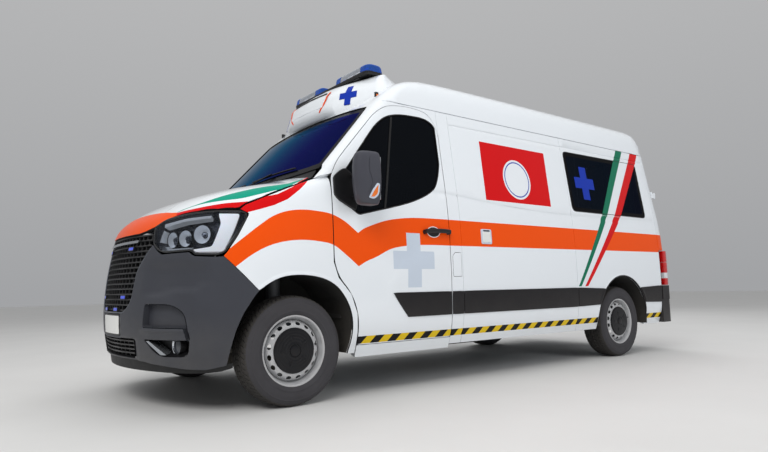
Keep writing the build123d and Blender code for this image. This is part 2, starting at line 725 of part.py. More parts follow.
# ---------------------------------------------------------------- roof equipment
VISOR = ((575.0, 2165.0), (640.0, 2310.0), (825.0, 2436.0), (1060.0, 2448.0), (1200.0, 2400.0), (1200.0, 2200.0), (700.0, 2100.0))
with BuildPart() as roof_visor:
    with BuildSketch(side()):
        with BuildLine():
            Polyline(*VISOR, close=True)
        make_face()
    extrude(amount=790, both=True)
    with BuildSketch(plan(2000)):
        with BuildLine():
            ThreePointArc((-790, 760), (0, 575), (790, 760))
            Polyline((790, 760), (700, 1210), (-700, 1210), (-790, 760))
        make_face()
    extrude(amount=600, mode=Mode.INTERSECT)
    with BuildSketch(across(1300)):
        with BuildLine():
            Polyline((-790, 2050), (790, 2050), (790, 2180), (660, 2460), (-660, 2460), (-790, 2180), close=True)
        make_face()
    extrude(amount=900, mode=Mode.INTERSECT)
    add(cabin_outer.part, mode=Mode.SUBTRACT)
finish(roof_visor, "roof_visor")

LIGHTBAR = (600.0, 860.0, 1065.0, 2449.0, 2545.0)  # half width, stations, heights
with BuildPart() as lightbar:
    with BuildSketch(plan(LIGHTBAR[3])):
        with BuildLine():
            x, s0, s1 = LIGHTBAR[0], LIGHTBAR[1], LIGHTBAR[2]
            Polyline((-x, s0 + 60), (-x + 60, s0), (x - 60, s0), (x, s0 + 60), (x, s1 - 60), (x - 60, s1), (-x + 60, s1), (-x, s1 - 60), close=True)
        make_face()
    extrude(amount=LIGHTBAR[4] - LIGHTBAR[3])
finish(lightbar, "lightbar")

# ---------------------------------------------------------------- floor, rails and inner walls
FLOOR_X = 905.0
RAIL_X, RAIL_W, RAIL_H = 490.0, 90.0, 110.0
HOUSE_X = 690.0  # inner face of the rear wheel housings
with BuildPart() as floor:
    with BuildSketch(plan(FLOOR_TOP - FLOOR_T)):
        with BuildLine():
            Polyline((-FLOOR_X, 420), (FLOOR_X, 420), (FLOOR_X, 3225), (HOUSE_X, 3225), (HOUSE_X, 4120), (FLOOR_X, 4120), (FLOOR_X, 4552), (-FLOOR_X, 4552),
                     (-FLOOR_X, 4120), (-HOUSE_X, 4120), (-HOUSE_X, 3225), (-FLOOR_X, 3225), close=True)
        make_face()
    extrude(amount=FLOOR_T)
    with BuildSketch(plan(FLOOR_TOP - FLOOR_T - RAIL_H)):  # two chassis rails
        for k in (1, -1):
            with Locations((k * RAIL_X, 1960)):
                Rectangle(RAIL_W, 5180)
    extrude(amount=RAIL_H)
    with BuildSketch(plan(FLOOR_TOP - FLOOR_T - 80)):  # cross members
        for s in (560.0, 1440.0, 2300.0, 3140.0, 4300.0):
            with Locations((0, s)):
                Rectangle(2 * FLOOR_X, 70)
    extrude(amount=80)
    with BuildSketch(plan(FLOOR_TOP)):  # stretcher floor fixing
        with Locations((0, STRETCHER_S)):
            with GridLocations(STRETCHER_X, STRETCHER_Y, 2, 2):
                Circle(STRETCHER_R)
    extrude(amount=-FLOOR_T, mode=Mode.SUBTRACT)
finish(floor, "floor")

with BuildPart() as wheel_housings:
    for k in (1, -1):
        with BuildSketch(side(k * HOUSE_X)):
            with Locations((3672, 690)):
                Rectangle(890, 330)
        extrude(amount=k * 205)
        with BuildSketch(side(k * (HOUSE_X + 14))):
            with Locations((3672, 676)):
                Rectangle(862, 330)
        extrude(amount=k * 260, mode=Mode.SUBTRACT)
    add(band(3000, 4300, 100, 1000, -FLOOR_X + 3, FLOOR_X - 3), mode=Mode.INTERSECT)
finish(wheel_housings, "wheel_housings")

with BuildPart() as firewall:
    with BuildSketch(side(-890)):
        with BuildLine():
            Polyline((400, 525), (416, 525), (416, 1100), (250, 1285), (250, 1415), (234, 1415), (234, 1278), (400, 1092), close=True)
        make_face()
    extrude(amount=1780)
finish(firewall, "firewall")

with BuildPart() as dashboard:
    with BuildSketch(side(-860)):
        with BuildLine():
            Polyline((300, 1330), (430, 1395), (560, 1330), (600, 1200), (590, 900), (520, 880), (470, 1090), (300, 1262), close=True)
        make_face()
    extrude(amount=1720)
    with BuildSketch(STEER_COLUMN.offset(-5)):  # steering column shroud
        Circle(34)
    extrude(amount=-225)
    with BuildSketch(STEER_COLUMN):  # bore for the shaft
        Circle(13)
    extrude(amount=-60, mode=Mode.SUBTRACT)
finish(dashboard, "dashboard")

with BuildPart() as steering_wheel:
    with BuildSketch(STEER_COLUMN):
        Circle(STEERING_WHEEL_R)
        Circle(STEERING_WHEEL_R - 28, mode=Mode.SUBTRACT)
    extrude(amount=30)
    with BuildSketch(STEER_COLUMN):
        Circle(62)
        for a in (90, 210, 330):
            with Locations(Rot(0, 0, a)):
                with Locations((100, 0)):
                    Rectangle(150, 34)
    extrude(amount=24)
    with BuildSketch(STEER_COLUMN):  # shaft
        Circle(12)
    extrude(amount=-50)
finish(steering_wheel, "steering_wheel")

with BuildPart() as partition:  # wall between cab and patient room
    with BuildSketch(across(1480)):
        add(section_face(WALL + 4))
    extrude(amount=26)
    with BuildSketch(side()):
        add(roofline_face(ROOF_T + 4))
    extrude(amount=1200, both=True, mode=Mode.INTERSECT)
    add(band(1400, 1500, FLOOR_TOP + 2, 2600, -1200, 1200), mode=Mode.INTERSECT)
    add(band(1400, 1500, 1400, 1800, -330, 330), mode=Mode.SUBTRACT)
finish(partition, "partition")

for label, cx, width in (("driver_seat", 420.0, 480.0), ("passenger_seat", -340.0, 900.0)):
    with BuildPart() as seat:
        with BuildSketch(side(cx - width / 2)):
            with BuildLine():
                Polyline((790, FLOOR_TOP), (1250, FLOOR_TOP), (1290, 920), (1420, 1480), (1300, 1500), (1210, 960), (760, 945), (755, 830), (790, 800), close=True)
            make_face()
        extrude(amount=width)
        for x in ((cx,) if width < 600 else (cx - 215, cx + 215)):
            with BuildSketch(side(x - 120)):
                with BuildLine():
                    Polyline((1335, 1495), (1350, 1515), (1340, 1520), (1360, 1690), (1440, 1690), (1440, 1515), (1405, 1495), (1380, 1450), (1350, 1450), close=True)
                make_face()
            extrude(amount=240)
    finish(seat, label)

with BuildPart() as attendant_seat:
    with BuildSketch(side(-800)):
        with BuildLine():
            Polyline((3200, 552), (3560, 552), (3560, 900), (3640, 1000), (3700, 1600), (3600, 1640), (3500, 1050), (3150, 1040), (3150, 920), (3200, 900), close=True)
        make_face()
    extrude(amount=460)
    add(band(3225 - 8, 4120 + 8, 500, 862, -920, -HOUSE_X + 8), mode=Mode.SUBTRACT)
finish(attendant_seat, "attendant_seat")

with BuildPart() as cabinet:  # cupboards along the left wall
    with BuildSketch(plan(FLOOR_TOP + 2)):
        with Locations((700, 2300)):
            Rectangle(330, 1560)
    extrude(amount=830)
    with BuildSketch(plan(FLOOR_TOP + 60)):
        for s in (1800.0, 2300.0, 2800.0):
            with Locations((560, s)):
                Rectangle(300, 460)
    extrude(amount=710, mode=Mode.SUBTRACT)
finish(cabinet, "cabinet")

# ---------------------------------------------------------------- running gear
with BuildPart() as engine:
    with BuildSketch(plan(330)):
        with Locations((0, -190)):
            Rectangle(800, 560)
    extrude(amount=640)
finish(engine, "engine")

with BuildPart() as front_subframe:
    with BuildSketch(plan(240)):
        with Locations((0, 40)):
            Rectangle(1000, 200)
        for k in (1, -1):
            with Locations((k * 480, -200)):
                Rectangle(70, 640)
    extrude(amount=70)
    with BuildSketch(plan(206)):
        for k in (1, -1):
            with BuildLine():
                Polyline((k * 480, -60), (k * 790, -26), (k * 790, 26), (k * 480, 140), close=True)
            make_face()
            with Locations((k * STEER_X, 0)):
                Circle(34)
    extrude(amount=30)
    with BuildSketch(plan(230)):
        for k in (1, -1):
            with Locations((k * 470, 40)):
                Rectangle(60, 190)
    extrude(amount=20)
    for k in (1, -1):
        with BuildSketch(plan(300)):
            with Locations((k * 490, 260)):
                Rectangle(70, 120)
        extrude(amount=110)
        with BuildSketch(plan(240)):
            with Locations((k * 490, 180)):
                Rectangle(70, 280)
        extrude(amount=62)
finish(front_subframe, "front_subframe")

with BuildPart() as front_struts:
    for k in (1, -1):
        with BuildSketch(plan(470)):
            with Locations((k * STRUT_X, 0)):
                Circle(28)
        extrude(amount=430)
        with BuildSketch(plan(650)):
            with Locations((k * STRUT_X, 0)):
                Circle(48)
        extrude(amount=220)
        with BuildSketch(plan(880)):  # towers tie the struts to the rails
            with Locations((k * 575, 0)):
                Rectangle(290, 150)
        extrude(amount=25)
        with BuildSketch(plan(520)):
            with Locations((k * 442, 0)):
                Rectangle(26, 150)
        extrude(amount=372)
finish(front_struts, "front_struts")

for label, k in (("knuckle_left", 1), ("knuckle_right", -1)):
    with BuildPart() as knuckle:
        with BuildSketch(side(k * 775)):
            with Locations((0, HUB_Z)):
                Circle(62)
            with Locations((0, (242 + 470) / 2)):
                Rectangle(56, 470 - 242)
        extrude(amount=k * 50)
        with BuildSketch(side(k * 825)):
            with Locations((0, HUB_Z)):
                Circle(80)
        extrude(amount=k * (HUB_FRONT - 825))
    finish(knuckle, label)

with BuildPart() as rear_axle:
    with BuildSketch(side(-780)):
        with Locations((WHEELBASE, HUB_Z)):
            Circle(38)
    extrude(amount=1560)
    for k in (1, -1):
        with BuildSketch(side(k * 775)):
            with Locations((WHEELBASE, HUB_Z)):
                Circle(80)
        extrude(amount=k * (HUB_REAR - 775))
        with BuildSketch(side(k * 600)):
            with BuildLine():
                Polyline((3050, 395), (3050, 440), (3110, 438), (3660, 385), (3720, 385), (3720, 320), (3640, 320), close=True)
            make_face()
        extrude(amount=k * 60)
        with BuildSketch(plan(380)):
            with Locations((k * 630, 3700)):
                Circle(55)
        extrude(amount=60)
finish(rear_axle, "rear_axle")

with BuildPart() as fuel_tank:
    with BuildSketch(plan(215)):
        with Locations((0, 1870)):
            Rectangle(840, 700)
    extrude(amount=190)
finish(fuel_tank, "fuel_tank")

# ---------------------------------------------------------------- wheels
for label, x, s, hub in (
    ("front_left", TRACK_FRONT / 2, 0.0, HUB_FRONT),
    ("front_right", -TRACK_FRONT / 2, 0.0, HUB_FRONT),
    ("rear_left", TRACK_REAR / 2, WHEELBASE, HUB_REAR),
    ("rear_right", -TRACK_REAR / 2, WHEELBASE, HUB_REAR),
):
    k = 1 if x > 0 else -1
    wheel_plane = Plane(origin=(x, AXLE_Y + s, HUB_Z), x_dir=(k, 0, 0), z_dir=(0, -k, 0))
    spin = Axis((x, AXLE_Y + s, HUB_Z), (1, 0, 0))
    with BuildPart() as tyre:
        with BuildSketch(wheel_plane):
            with BuildLine():
                Polyline((-86, 199), (-86, 219), (-90, 221.5), (-100, 223), (-111, 262), (-112.5, 285), (-106, 318), (-92, 338), (-60, TYRE_R - 1), (0, TYRE_R),
                         (60, TYRE_R - 1), (92, 338), (106, 318), (112.5, 285), (111, 262), (100, 223), (90, 221.5), (86, 219), (86, 199), close=True)
            make_face()
        revolve(axis=spin)
    finish(tyre, f"tyre_{label}")
    face = hub - abs(x) + 1  # inner face of the wheel disc, from the wheel centre
    with BuildPart() as rim:
        with BuildSketch(wheel_plane):
            with BuildLine():
                Polyline((-98, 188), (98, 188), (98, RIM_R), (90, RIM_R), (88, 198.5), (-88, 198.5), (-90, RIM_R), (-98, RIM_R), close=True)
            make_face()
            with BuildLine():  # dished disc with its raised centre
                Polyline((face, 0), (face + 14, 0), (face + 14, 84), (66, 100), (66, 130), (42, 165), (42, 190), (30, 190), (30, 160), (54, 125), (54, 108), (face, 92), close=True)
            make_face()
        revolve(axis=spin)
    finish(rim, f"rim_{label}")
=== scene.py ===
"""Visual model of the ambulance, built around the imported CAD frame.

Stations s are millimetres behind the front axle; x is across (+X the vehicle's left), z is the height.
"""
import bpy
import bmesh
import math
import numpy as np
from mathutils import Vector, Matrix
from mathutils.geometry import delaunay_2d_cdt


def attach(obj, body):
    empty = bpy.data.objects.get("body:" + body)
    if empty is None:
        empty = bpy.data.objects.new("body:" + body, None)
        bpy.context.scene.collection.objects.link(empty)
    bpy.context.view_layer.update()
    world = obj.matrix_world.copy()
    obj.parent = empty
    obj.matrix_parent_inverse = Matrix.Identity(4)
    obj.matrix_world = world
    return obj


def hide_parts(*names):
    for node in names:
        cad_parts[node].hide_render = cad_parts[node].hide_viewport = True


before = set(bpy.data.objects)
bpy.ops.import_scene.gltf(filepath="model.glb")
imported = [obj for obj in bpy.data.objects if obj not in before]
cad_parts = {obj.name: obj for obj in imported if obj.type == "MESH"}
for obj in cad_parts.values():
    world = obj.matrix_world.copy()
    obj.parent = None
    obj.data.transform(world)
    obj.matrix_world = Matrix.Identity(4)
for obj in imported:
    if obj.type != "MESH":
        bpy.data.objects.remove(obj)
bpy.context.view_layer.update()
AXLE_Y = -1.9185
RNG = np.random.default_rng(7)


# ------------------------------------------------------------------ outer surface of the body
def spline(xs, ys):
    """Natural cubic spline as a function, straight beyond its ends."""
    xs = np.asarray(xs, float)
    ys = np.asarray(ys, float)
    n = len(xs)
    h = np.diff(xs)
    A = np.eye(n)
    b = np.zeros(n)
    for i in range(1, n - 1):
        A[i, i - 1] = h[i - 1]
        A[i, i] = 2 * (h[i - 1] + h[i])
        A[i, i + 1] = h[i]
        b[i] = 3 * ((ys[i + 1] - ys[i]) / h[i] - (ys[i] - ys[i - 1]) / h[i - 1])
    c = np.linalg.solve(A, b)
    B = (ys[1:] - ys[:-1]) / h - h * (2 * c[:-1] + c[1:]) / 3
    D = (c[1:] - c[:-1]) / (3 * h)
    s0 = B[0]
    s1 = B[-1] + 2 * c[-2] * h[-1] + 3 * D[-1] * h[-1] ** 2

    def f(x):
        x = np.asarray(x, float)
        i = np.clip(np.searchsorted(xs, x) - 1, 0, n - 2)
        t = x - xs[i]
        v = ys[i] + B[i] * t + c[i] * t * t + D[i] * t ** 3
        v = np.where(x < xs[0], ys[0] + s0 * (x - xs[0]), v)
        return np.where(x > xs[-1], ys[-1] + s1 * (x - xs[-1]), v)

    return f


def smax(a, b, k):
    """Smooth maximum: rounds the edge where two surfaces meet."""
    h = np.maximum(k - np.abs(a - b), 0.0) / k
    return np.maximum(a, b) + h ** 3 * k / 6.0


def ease(x, a, b):
    t = np.clip((x - a) / (b - a), 0, 1)
    return t * t * (3 - 2 * t)


half_width = spline([230, 290, 360, 430, 560, 760, 1050, 1370, 1600, 1900, 2150, 2300, 2450],
                    [955, 975, 1000, 1019, 1031, 1036, 1030, 1008, 977, 934.5, 899, 877.5, 856])
roof_line = spline([560, 700, 837, 1000, 1200, 1500, 2000, 2600, 3200, 3900, 4315, 4600],
                   [2075, 2160, 2246, 2336, 2418, 2464, 2489, 2498, 2498, 2488, 2470, 2452])
rear_plane = spline([200, 700, 1150, 1300, 1700, 2280, 2500], [4605, 4605, 4605, 4598, 4566, 4520, 4502])
nose_s = spline([230, 270, 400, 560, 750, 900, 1080, 1180, 1330], [-829, -835, -856, -868, -862, -846, -815, -790, -680])
nose_w = spline([230, 270, 560, 900, 1180, 1330], [-634, -640, -690, -655, -606, -510])
taper_c = spline([270, 560, 900, 1180, 1330], [3.5e-5, 4.3e-5, 8.4e-5, 2.2e-4, 3.6e-4])
corner_k = spline([270, 560, 900, 1180, 1330], [430, 450, 440, 370, 300])
S47, C47 = math.sin(math.radians(47)), math.cos(math.radians(47))

# side view outlines (station, height)
ARCH_FRONT = [(-425, 287), (-397, 480), (-343, 607), (-262, 722), (-173, 782), (-97, 808), (6, 817), (125, 806), (221, 777), (298, 726), (366, 636), (400, 551), (410, 458), (404, 370), (392, 300)]
ARCH_REAR_C, ARCH_REAR_R = (3672.0, 368.0), 425.0
waist_top = spline([300, 1226, 1470, 1929, 2737, 3377, 4444], [1505, 1463, 1446, 1405, 1376, 1385, 1401])
waist_low = spline([300, 1355, 1663, 2174, 2728, 4400], [1440, 1413, 1391, 1360, 1334, 1332])
crease = spline([560, 725, 819, 1058, 1262, 1400], [640, 780, 867, 961, 1017, 1040])


def poly_distance(poly, s, z):
    """Distance to an open polyline."""
    d = np.full(np.shape(s), 1e9)
    P = np.asarray(poly, float)
    for a, b in zip(P[:-1], P[1:]):
        e = b - a
        t = np.clip(((s - a[0]) * e[0] + (z - a[1]) * e[1]) / (e @ e), 0, 1)
        d = np.minimum(d, np.hypot(s - a[0] - t * e[0], z - a[1] - t * e[1]))
    return d


def flank(s, z):
    """Half width of the side, with its pressed lines and arch flares."""
    w = half_width(z)
    top, low = waist_top(s), waist_low(s)
    in_waist = ease(s, 1120, 1230) * (1 - ease(s, 4380, 4400))
    w = w - in_waist * 7.0 * ease(-z, -top, -top + 7) * (1 - ease(-z, -low - 24, -low))
    w = w - ease(s, 1448, 1458) * (1 - ease(s, 4396, 4406)) * 5.0 * np.exp(-((z - 2030 - (s - 1450) * 0.004) / 5.0) ** 2)
    c = crease(s)
    w = w + ease(s, 640, 800) * (1 - ease(s, 1290, 1316)) * 6.0 * ease(-z, -c, -c + 9) * (1 - ease(-z, -c + 30, -c + 230))
    d = poly_distance(ARCH_FRONT, s, z)
    w = w + 3.0 * (1 - ease(d, 10, 28)) * ease(s, -452, -380)
    d = np.abs(np.hypot(s - ARCH_REAR_C[0], np.maximum(z, ARCH_REAR_C[1]) - ARCH_REAR_C[1]) - ARCH_REAR_R)
    w = w + 3.0 * (1 - ease(d, 10, 28)) * (s > 3000)
    return w


def F_cab(x, s, z):
    """Negative inside the cabin and load space, positive outside."""
    ax = np.abs(x)
    f = smax((ax - flank(s, z)) * 0.985, (z - (2499 - 59 * (ax / 740) ** 2)) * 0.99, 250.0)
    f = smax(f, (z - roof_line(s)) * 0.93, 120.0)
    f = smax(f, s - rear_plane(z), 250.0)
    n = -s * S47 + z * C47
    return smax(f, n - (950 - 0.075e-3 * ax * ax), 110.0)


def F_roof(x, s, z):
    ax = np.abs(x)
    ribs = 6.0 * np.clip(np.cos(ax / 136.0 * math.pi) * 3, -1, 1) * ease(s, 1560, 1640) * (1 - ease(s, 4080, 4160)) * (1 - ease(ax, 640, 690))
    return F_cab(x, s, z + 6.0 - ribs)


def F_front(x, s, z):
    """The front clip: bumper, wings and bonnet."""
    ax = np.abs(x)
    ns, ws = nose_s(z), nose_w(z)
    sf = ns + (ws - ns) * (ax / 780) ** 2
    side = ax - (flank(s, z) - taper_c(z) * np.maximum(0, 200 - s) ** 2)
    f = smax(side, sf - s, corner_k(z))
    zb = 1258 + (s + 720) * 237.0 / 740.0 - 95 * (ax / 1100) ** 2 + 24 * np.clip(1 - ((s + 360) / 360) ** 2, 0, 1)
    # two pressed lines run up the bonnet
    zb = zb + 7.0 * ease(ax, 430 + (s + 700) * 0.16, 462 + (s + 700) * 0.16) * (1 - ease(ax, 640 + (s + 700) * 0.1, 900)) * ease(s, -760, -560)
    return smax(f, (z - zb) * 0.952, 150.0 + 60 * ease(-s, 400, 700))


def grad(F, P, e=0.6):
    x, s, z = P.T
    g = np.stack([F(x + e, s, z) - F(x - e, s, z), F(x, s + e, z) - F(x, s - e, z), F(x, s, z + e) - F(x, s, z - e)], 1)
    return g / np.maximum(np.linalg.norm(g, axis=1, keepdims=True), 1e-9)


def cast(F, O, D, t1, n=26):
    """Where F is 0 along D from O, which is inside."""
    lo = np.zeros(len(O))
    hi = np.full(len(O), float(t1))
    for _ in range(n):
        m = (lo + hi) / 2
        P = O + D * m[:, None]
        v = F(P[:, 0], P[:, 1], P[:, 2]) > 0
        hi = np.where(v, m, hi)
        lo = np.where(v, lo, m)
    return O + D * ((lo + hi) / 2)[:, None]


class Side:
    """Domain (s, z), seen from the vehicle's left."""
    def __init__(self, F=F_cab, depth=0.0):
        self.F, self.depth = F, depth

    def at(self, uv):
        uv = np.asarray(uv, float)
        O = np.stack([np.full(len(uv), 250.0), uv[:, 0], uv[:, 1]], 1)
        P = cast(self.F, O, np.tile([1.0, 0, 0], (len(uv), 1)), 950)
        N = grad(self.F, P)
        return P - N * self.depth, N

    def back(self, P):
        return P[:, 1:3]


class Rear:
    """Domain (x, z), seen from behind."""
    def __init__(self, F=F_cab, depth=0.0):
        self.F, self.depth = F, depth

    def at(self, uv):
        uv = np.asarray(uv, float)
        O = np.stack([uv[:, 0], np.full(len(uv), 4150.0), uv[:, 1]], 1)
        P = cast(self.F, O, np.tile([0, 1.0, 0], (len(uv), 1)), 700)
        N = grad(self.F, P)
        return P - N * self.depth, N

    def back(self, P):
        return P[:, [0, 2]]


class Fan:
    """Rays that leave a straight middle part squarely and fan out round each end: u runs round it."""
    def __init__(self, F, half, R, place, depth=0.0):
        self.F, self.half, self.R, self.place, self.depth = F, half, R, place, depth

    def at(self, uv):
        uv = np.asarray(uv, float)
        q, v = uv[:, 0], uv[:, 1]
        sg = np.where(q < 0, -1.0, 1.0)
        a = np.abs(q)
        L = self.R * math.pi / 2
        ang = np.clip((a - self.half) / self.R, 0, math.pi / 2)
        run = np.maximum(0, a - self.half - L)
        across = np.minimum(a, self.half)
        O, D = self.place(across, ang, run, v)
        O[:, 0] *= sg
        D[:, 0] *= sg
        P = cast(self.F, O, D, 1300)
        N = grad(self.F, P)
        return P - N * self.depth, N


def place_front(across, ang, run, v):
    O = np.stack([across, -330 + run, v], 1)
    return O, np.stack([np.sin(ang), -np.cos(ang), 0 * ang], 1)


def back_front(P, half=560.0, R=300.0):
    """(u, z) of points on the nose, the reverse of the front fan."""
    x, s, z = P.T
    ax = np.abs(x)
    L = R * math.pi / 2
    ang = np.arctan2(np.maximum(ax - half, 0), np.maximum(-330 - s, 1e-6))
    u = np.where(s >= -330, half + L + (s + 330), np.where(ax <= half, ax, half + R * ang))
    return np.stack([np.sign(x) * u, z], 1)


def place_rear(across, ang, run, v):
    O = np.stack([across, 4300 - run, v], 1)
    return O, np.stack([np.sin(ang), np.cos(ang), 0 * ang], 1)


def back_rear(P, half=750.0, R=280.0):
    x, s, z = P.T
    ax = np.abs(x)
    L = R * math.pi / 2
    ang = np.arctan2(np.maximum(ax - half, 0), np.maximum(s - 4300, 1e-6))
    u = np.where(s <= 4300, half + L + (4300 - s), np.where(ax <= half, ax, half + R * ang))
    return np.stack([np.sign(x) * u, z], 1)


def place_screen(across, ang, run, v):
    """v runs up the slope of the windscreen."""
    n = 650 - run
    O = np.stack([across, -n * S47 + v * C47, n * C47 + v * S47], 1)
    c = np.cos(ang)
    return O, np.stack([np.sin(ang), -c * S47, c * C47], 1)


def back_screen(P, half=650.0, R=250.0):
    x, s, z = P.T
    n = -s * S47 + z * C47
    v = s * C47 + z * S47
    ax = np.abs(x)
    L = R * math.pi / 2
    ang = np.arctan2(np.maximum(ax - half, 0), np.maximum(n - 650, 1e-6))
    u = np.where(n <= 650, half + L + (650 - n), np.where(ax <= half, ax, half + R * ang))
    return np.stack([np.sign(x) * u, v], 1)


class Roof:
    """Domain for the roof: rays fan out to all four sides."""
    H, HX, S0, S1, R = 1900.0, 600.0, 1100.0, 4150.0, 420.0

    def __init__(self, F=F_roof, depth=0.0):
        self.F, self.depth = F, depth

    def at(self, uv):
        uv = np.asarray(uv, float)
        q, v = uv[:, 0], uv[:, 1]
        sg = np.where(q < 0, -1.0, 1.0)
        a = np.abs(q)
        ta = np.tan(np.clip((a - self.HX) / self.R, 0, 1.4))
        tb = np.tan(np.clip((v - self.S1) / self.R, 0, 1.4)) - np.tan(np.clip((self.S0 - v) / self.R, 0, 1.4))
        O = np.stack([sg * np.minimum(a, self.HX), np.clip(v, self.S0, self.S1), np.full(len(a), self.H)], 1)
        D = np.stack([sg * ta, tb, np.ones(len(a))], 1)
        D /= np.linalg.norm(D, axis=1, keepdims=True)
        P = cast(self.F, O, D, 1200)
        N = grad(self.F, P)
        return P - N * self.depth, N

    def back(self, P):
        x, s, z = P.T
        h = z - self.H
        ax = np.abs(x)
        u = np.where(ax > self.HX, self.HX + self.R * np.arctan((ax - self.HX) / h), ax) * np.sign(x)
        v = np.where(s > self.S1, self.S1 + self.R * np.arctan((s - self.S1) / h), np.where(s < self.S0, self.S0 - self.R * np.arctan((self.S0 - s) / h), s))
        return np.stack([u, v], 1)


class Bonnet:
    """Domain (x, b): rays fan out from a line across the engine bay."""
    def __init__(self, F=F_front, depth=0.0):
        self.F, self.depth = F, depth

    def at(self, uv):
        uv = np.asarray(uv, float)
        b = uv[:, 1] / 700.0
        O = np.stack([uv[:, 0], np.full(len(uv), -200.0), np.full(len(uv), 900.0)], 1)
        P = cast(self.F, O, np.stack([0 * b, -np.cos(b), np.sin(b)], 1), 1200)
        N = grad(self.F, P)
        return P - N * self.depth, N

    def back(self, P):
        x, s, z = P.T
        return np.stack([x, 700.0 * np.arctan2(z - 900, -(s + 200))], 1)


class Warp:
    """A domain given by a plain function of (u, v) that returns x, s, z."""
    def __init__(self, f):
        self.f = f

    def at(self, uv):
        uv = np.asarray(uv, float)
        e = 0.5
        P = self.f(uv[:, 0], uv[:, 1])
        a = self.f(uv[:, 0] + e, uv[:, 1]) - self.f(uv[:, 0] - e, uv[:, 1])
        b = self.f(uv[:, 0], uv[:, 1] + e) - self.f(uv[:, 0], uv[:, 1] - e)
        n = np.cross(a, b)
        return P, n / np.maximum(np.linalg.norm(n, axis=1, keepdims=True), 1e-9)


# ------------------------------------------------------------------ plane geometry
def ccw(poly):
    P = np.asarray(poly, float)
    x, y = P.T
    return P if np.sum(x * np.roll(y, -1) - np.roll(x, -1) * y) > 0 else P[::-1]


def inset(poly, d):
    """Moves a closed outline inwards by d."""
    P = ccw(poly)
    e = np.roll(P, -1, 0) - P
    e /= np.maximum(np.linalg.norm(e, axis=1, keepdims=True), 1e-9)
    n = np.stack([-e[:, 1], e[:, 0]], 1)
    m = np.roll(n, 1, 0)
    k = 1 + np.sum(n * m, 1, keepdims=True)
    return P + d * (n + m) / np.maximum(k, 0.35)


def rounded(poly, r, n=5):
    """Rounds the corners of a closed outline; r may be one number or one for each corner."""
    P = np.asarray(poly, float)
    rr = [r] * len(P) if np.isscalar(r) else r
    out = []
    for i in range(len(P)):
        a, b, c = P[i - 1], P[i], P[(i + 1) % len(P)]
        la, lc = np.linalg.norm(a - b), np.linalg.norm(c - b)
        t = min(rr[i], 0.48 * la, 0.48 * lc)
        if t < 0.5:
            out.append(b)
            continue
        p, q = b + (a - b) / la * t, b + (c - b) / lc * t
        for k in np.linspace(0, 1, n):
            out.append((1 - k) ** 2 * p + 2 * k * (1 - k) * b + k * k * q)
    return np.array(out)


def curve(points, n=8, closed=False):
    """Smooth line through points."""
    P = np.asarray(points, float)
    if closed:
        P = np.vstack([P[-1], P, P[0], P[1]])
    else:
        P = np.vstack([2 * P[0] - P[1], P, 2 * P[-1] - P[-2]])
    out = []
    for i in range(1, len(P) - 2):
        p0, p1, p2, p3 = P[i - 1:i + 3]
        t0 = 0.0
        t1 = t0 + max(np.linalg.norm(p1 - p0), 1e-6) ** 0.5
        t2 = t1 + max(np.linalg.norm(p2 - p1), 1e-6) ** 0.5
        t3 = t2 + max(np.linalg.norm(p3 - p2), 1e-6) ** 0.5
        for t in np.linspace(t1, t2, n, endpoint=False):
            a1 = (t1 - t) / (t1 - t0) * p0 + (t - t0) / (t1 - t0) * p1
            a2 = (t2 - t) / (t2 - t1) * p1 + (t - t1) / (t2 - t1) * p2
            a3 = (t3 - t) / (t3 - t2) * p2 + (t - t2) / (t3 - t2) * p3
            b1 = (t2 - t) / (t2 - t0) * a1 + (t - t0) / (t2 - t0) * a2
            b2 = (t3 - t) / (t3 - t1) * a2 + (t - t1) / (t3 - t1) * a3
            out.append((t2 - t) / (t2 - t1) * b1 + (t - t1) / (t2 - t1) * b2)
    if not closed:
        out.append(P[-2])
    return np.array(out)


def circle(c, r, n=32, ry=None):
    a = np.linspace(0, 2 * math.pi, n, endpoint=False)
    return np.stack([c[0] + r * np.cos(a), c[1] + (ry or r) * np.sin(a)], 1)


def rect(x0, y0, x1, y1):
    return np.array([(x0, y0), (x1, y0), (x1, y1), (x0, y1)], float)


def divide(P, step, closed=True):
    """Adds points so that no edge is longer than step."""
    P = np.asarray(P, float)
    out = []
    last = len(P) if closed else len(P) - 1
    for i in range(last):
        a, b = P[i], P[(i + 1) % len(P)]
        m = max(1, int(math.ceil(np.linalg.norm(b - a) / step)))
        for k in range(m):
            out.append(a + (b - a) * k / m)
    if not closed:
        out.append(P[-1])
    return np.array(out)


def inside(poly, pts):
    P = np.asarray(poly, float)
    Q = np.roll(P, -1, 0)
    x, y = pts[:, 0], pts[:, 1]
    c = np.zeros(len(pts), bool)
    for (x1, y1), (x2, y2) in zip(P, Q):
        if y1 == y2:
            continue
        m = (y1 > y) != (y2 > y)
        c ^= m & (x < (x2 - x1) * (y - y1) / (y2 - y1) + x1)
    return c


def far_from(poly, pts, d):
    """Points further than d from a closed outline."""
    P = np.asarray(poly, float)
    Q = np.roll(P, -1, 0)
    ok = np.ones(len(pts), bool)
    for a, b in zip(P, Q):
        e = b - a
        l2 = max(e @ e, 1e-9)
        w = pts[ok] - a
        t = np.clip(w @ e / l2, 0, 1)
        dist = np.hypot(w[:, 0] - t * e[0], w[:, 1] - t * e[1])
        idx = np.flatnonzero(ok)
        ok[idx[dist < d]] = False
    return ok


# ------------------------------------------------------------------ meshes
def to_m(P):
    P = np.asarray(P, float)
    return np.stack([P[:, 0] / 1000, P[:, 1] / 1000 + AXLE_Y, P[:, 2] / 1000], 1)


PIECES = []


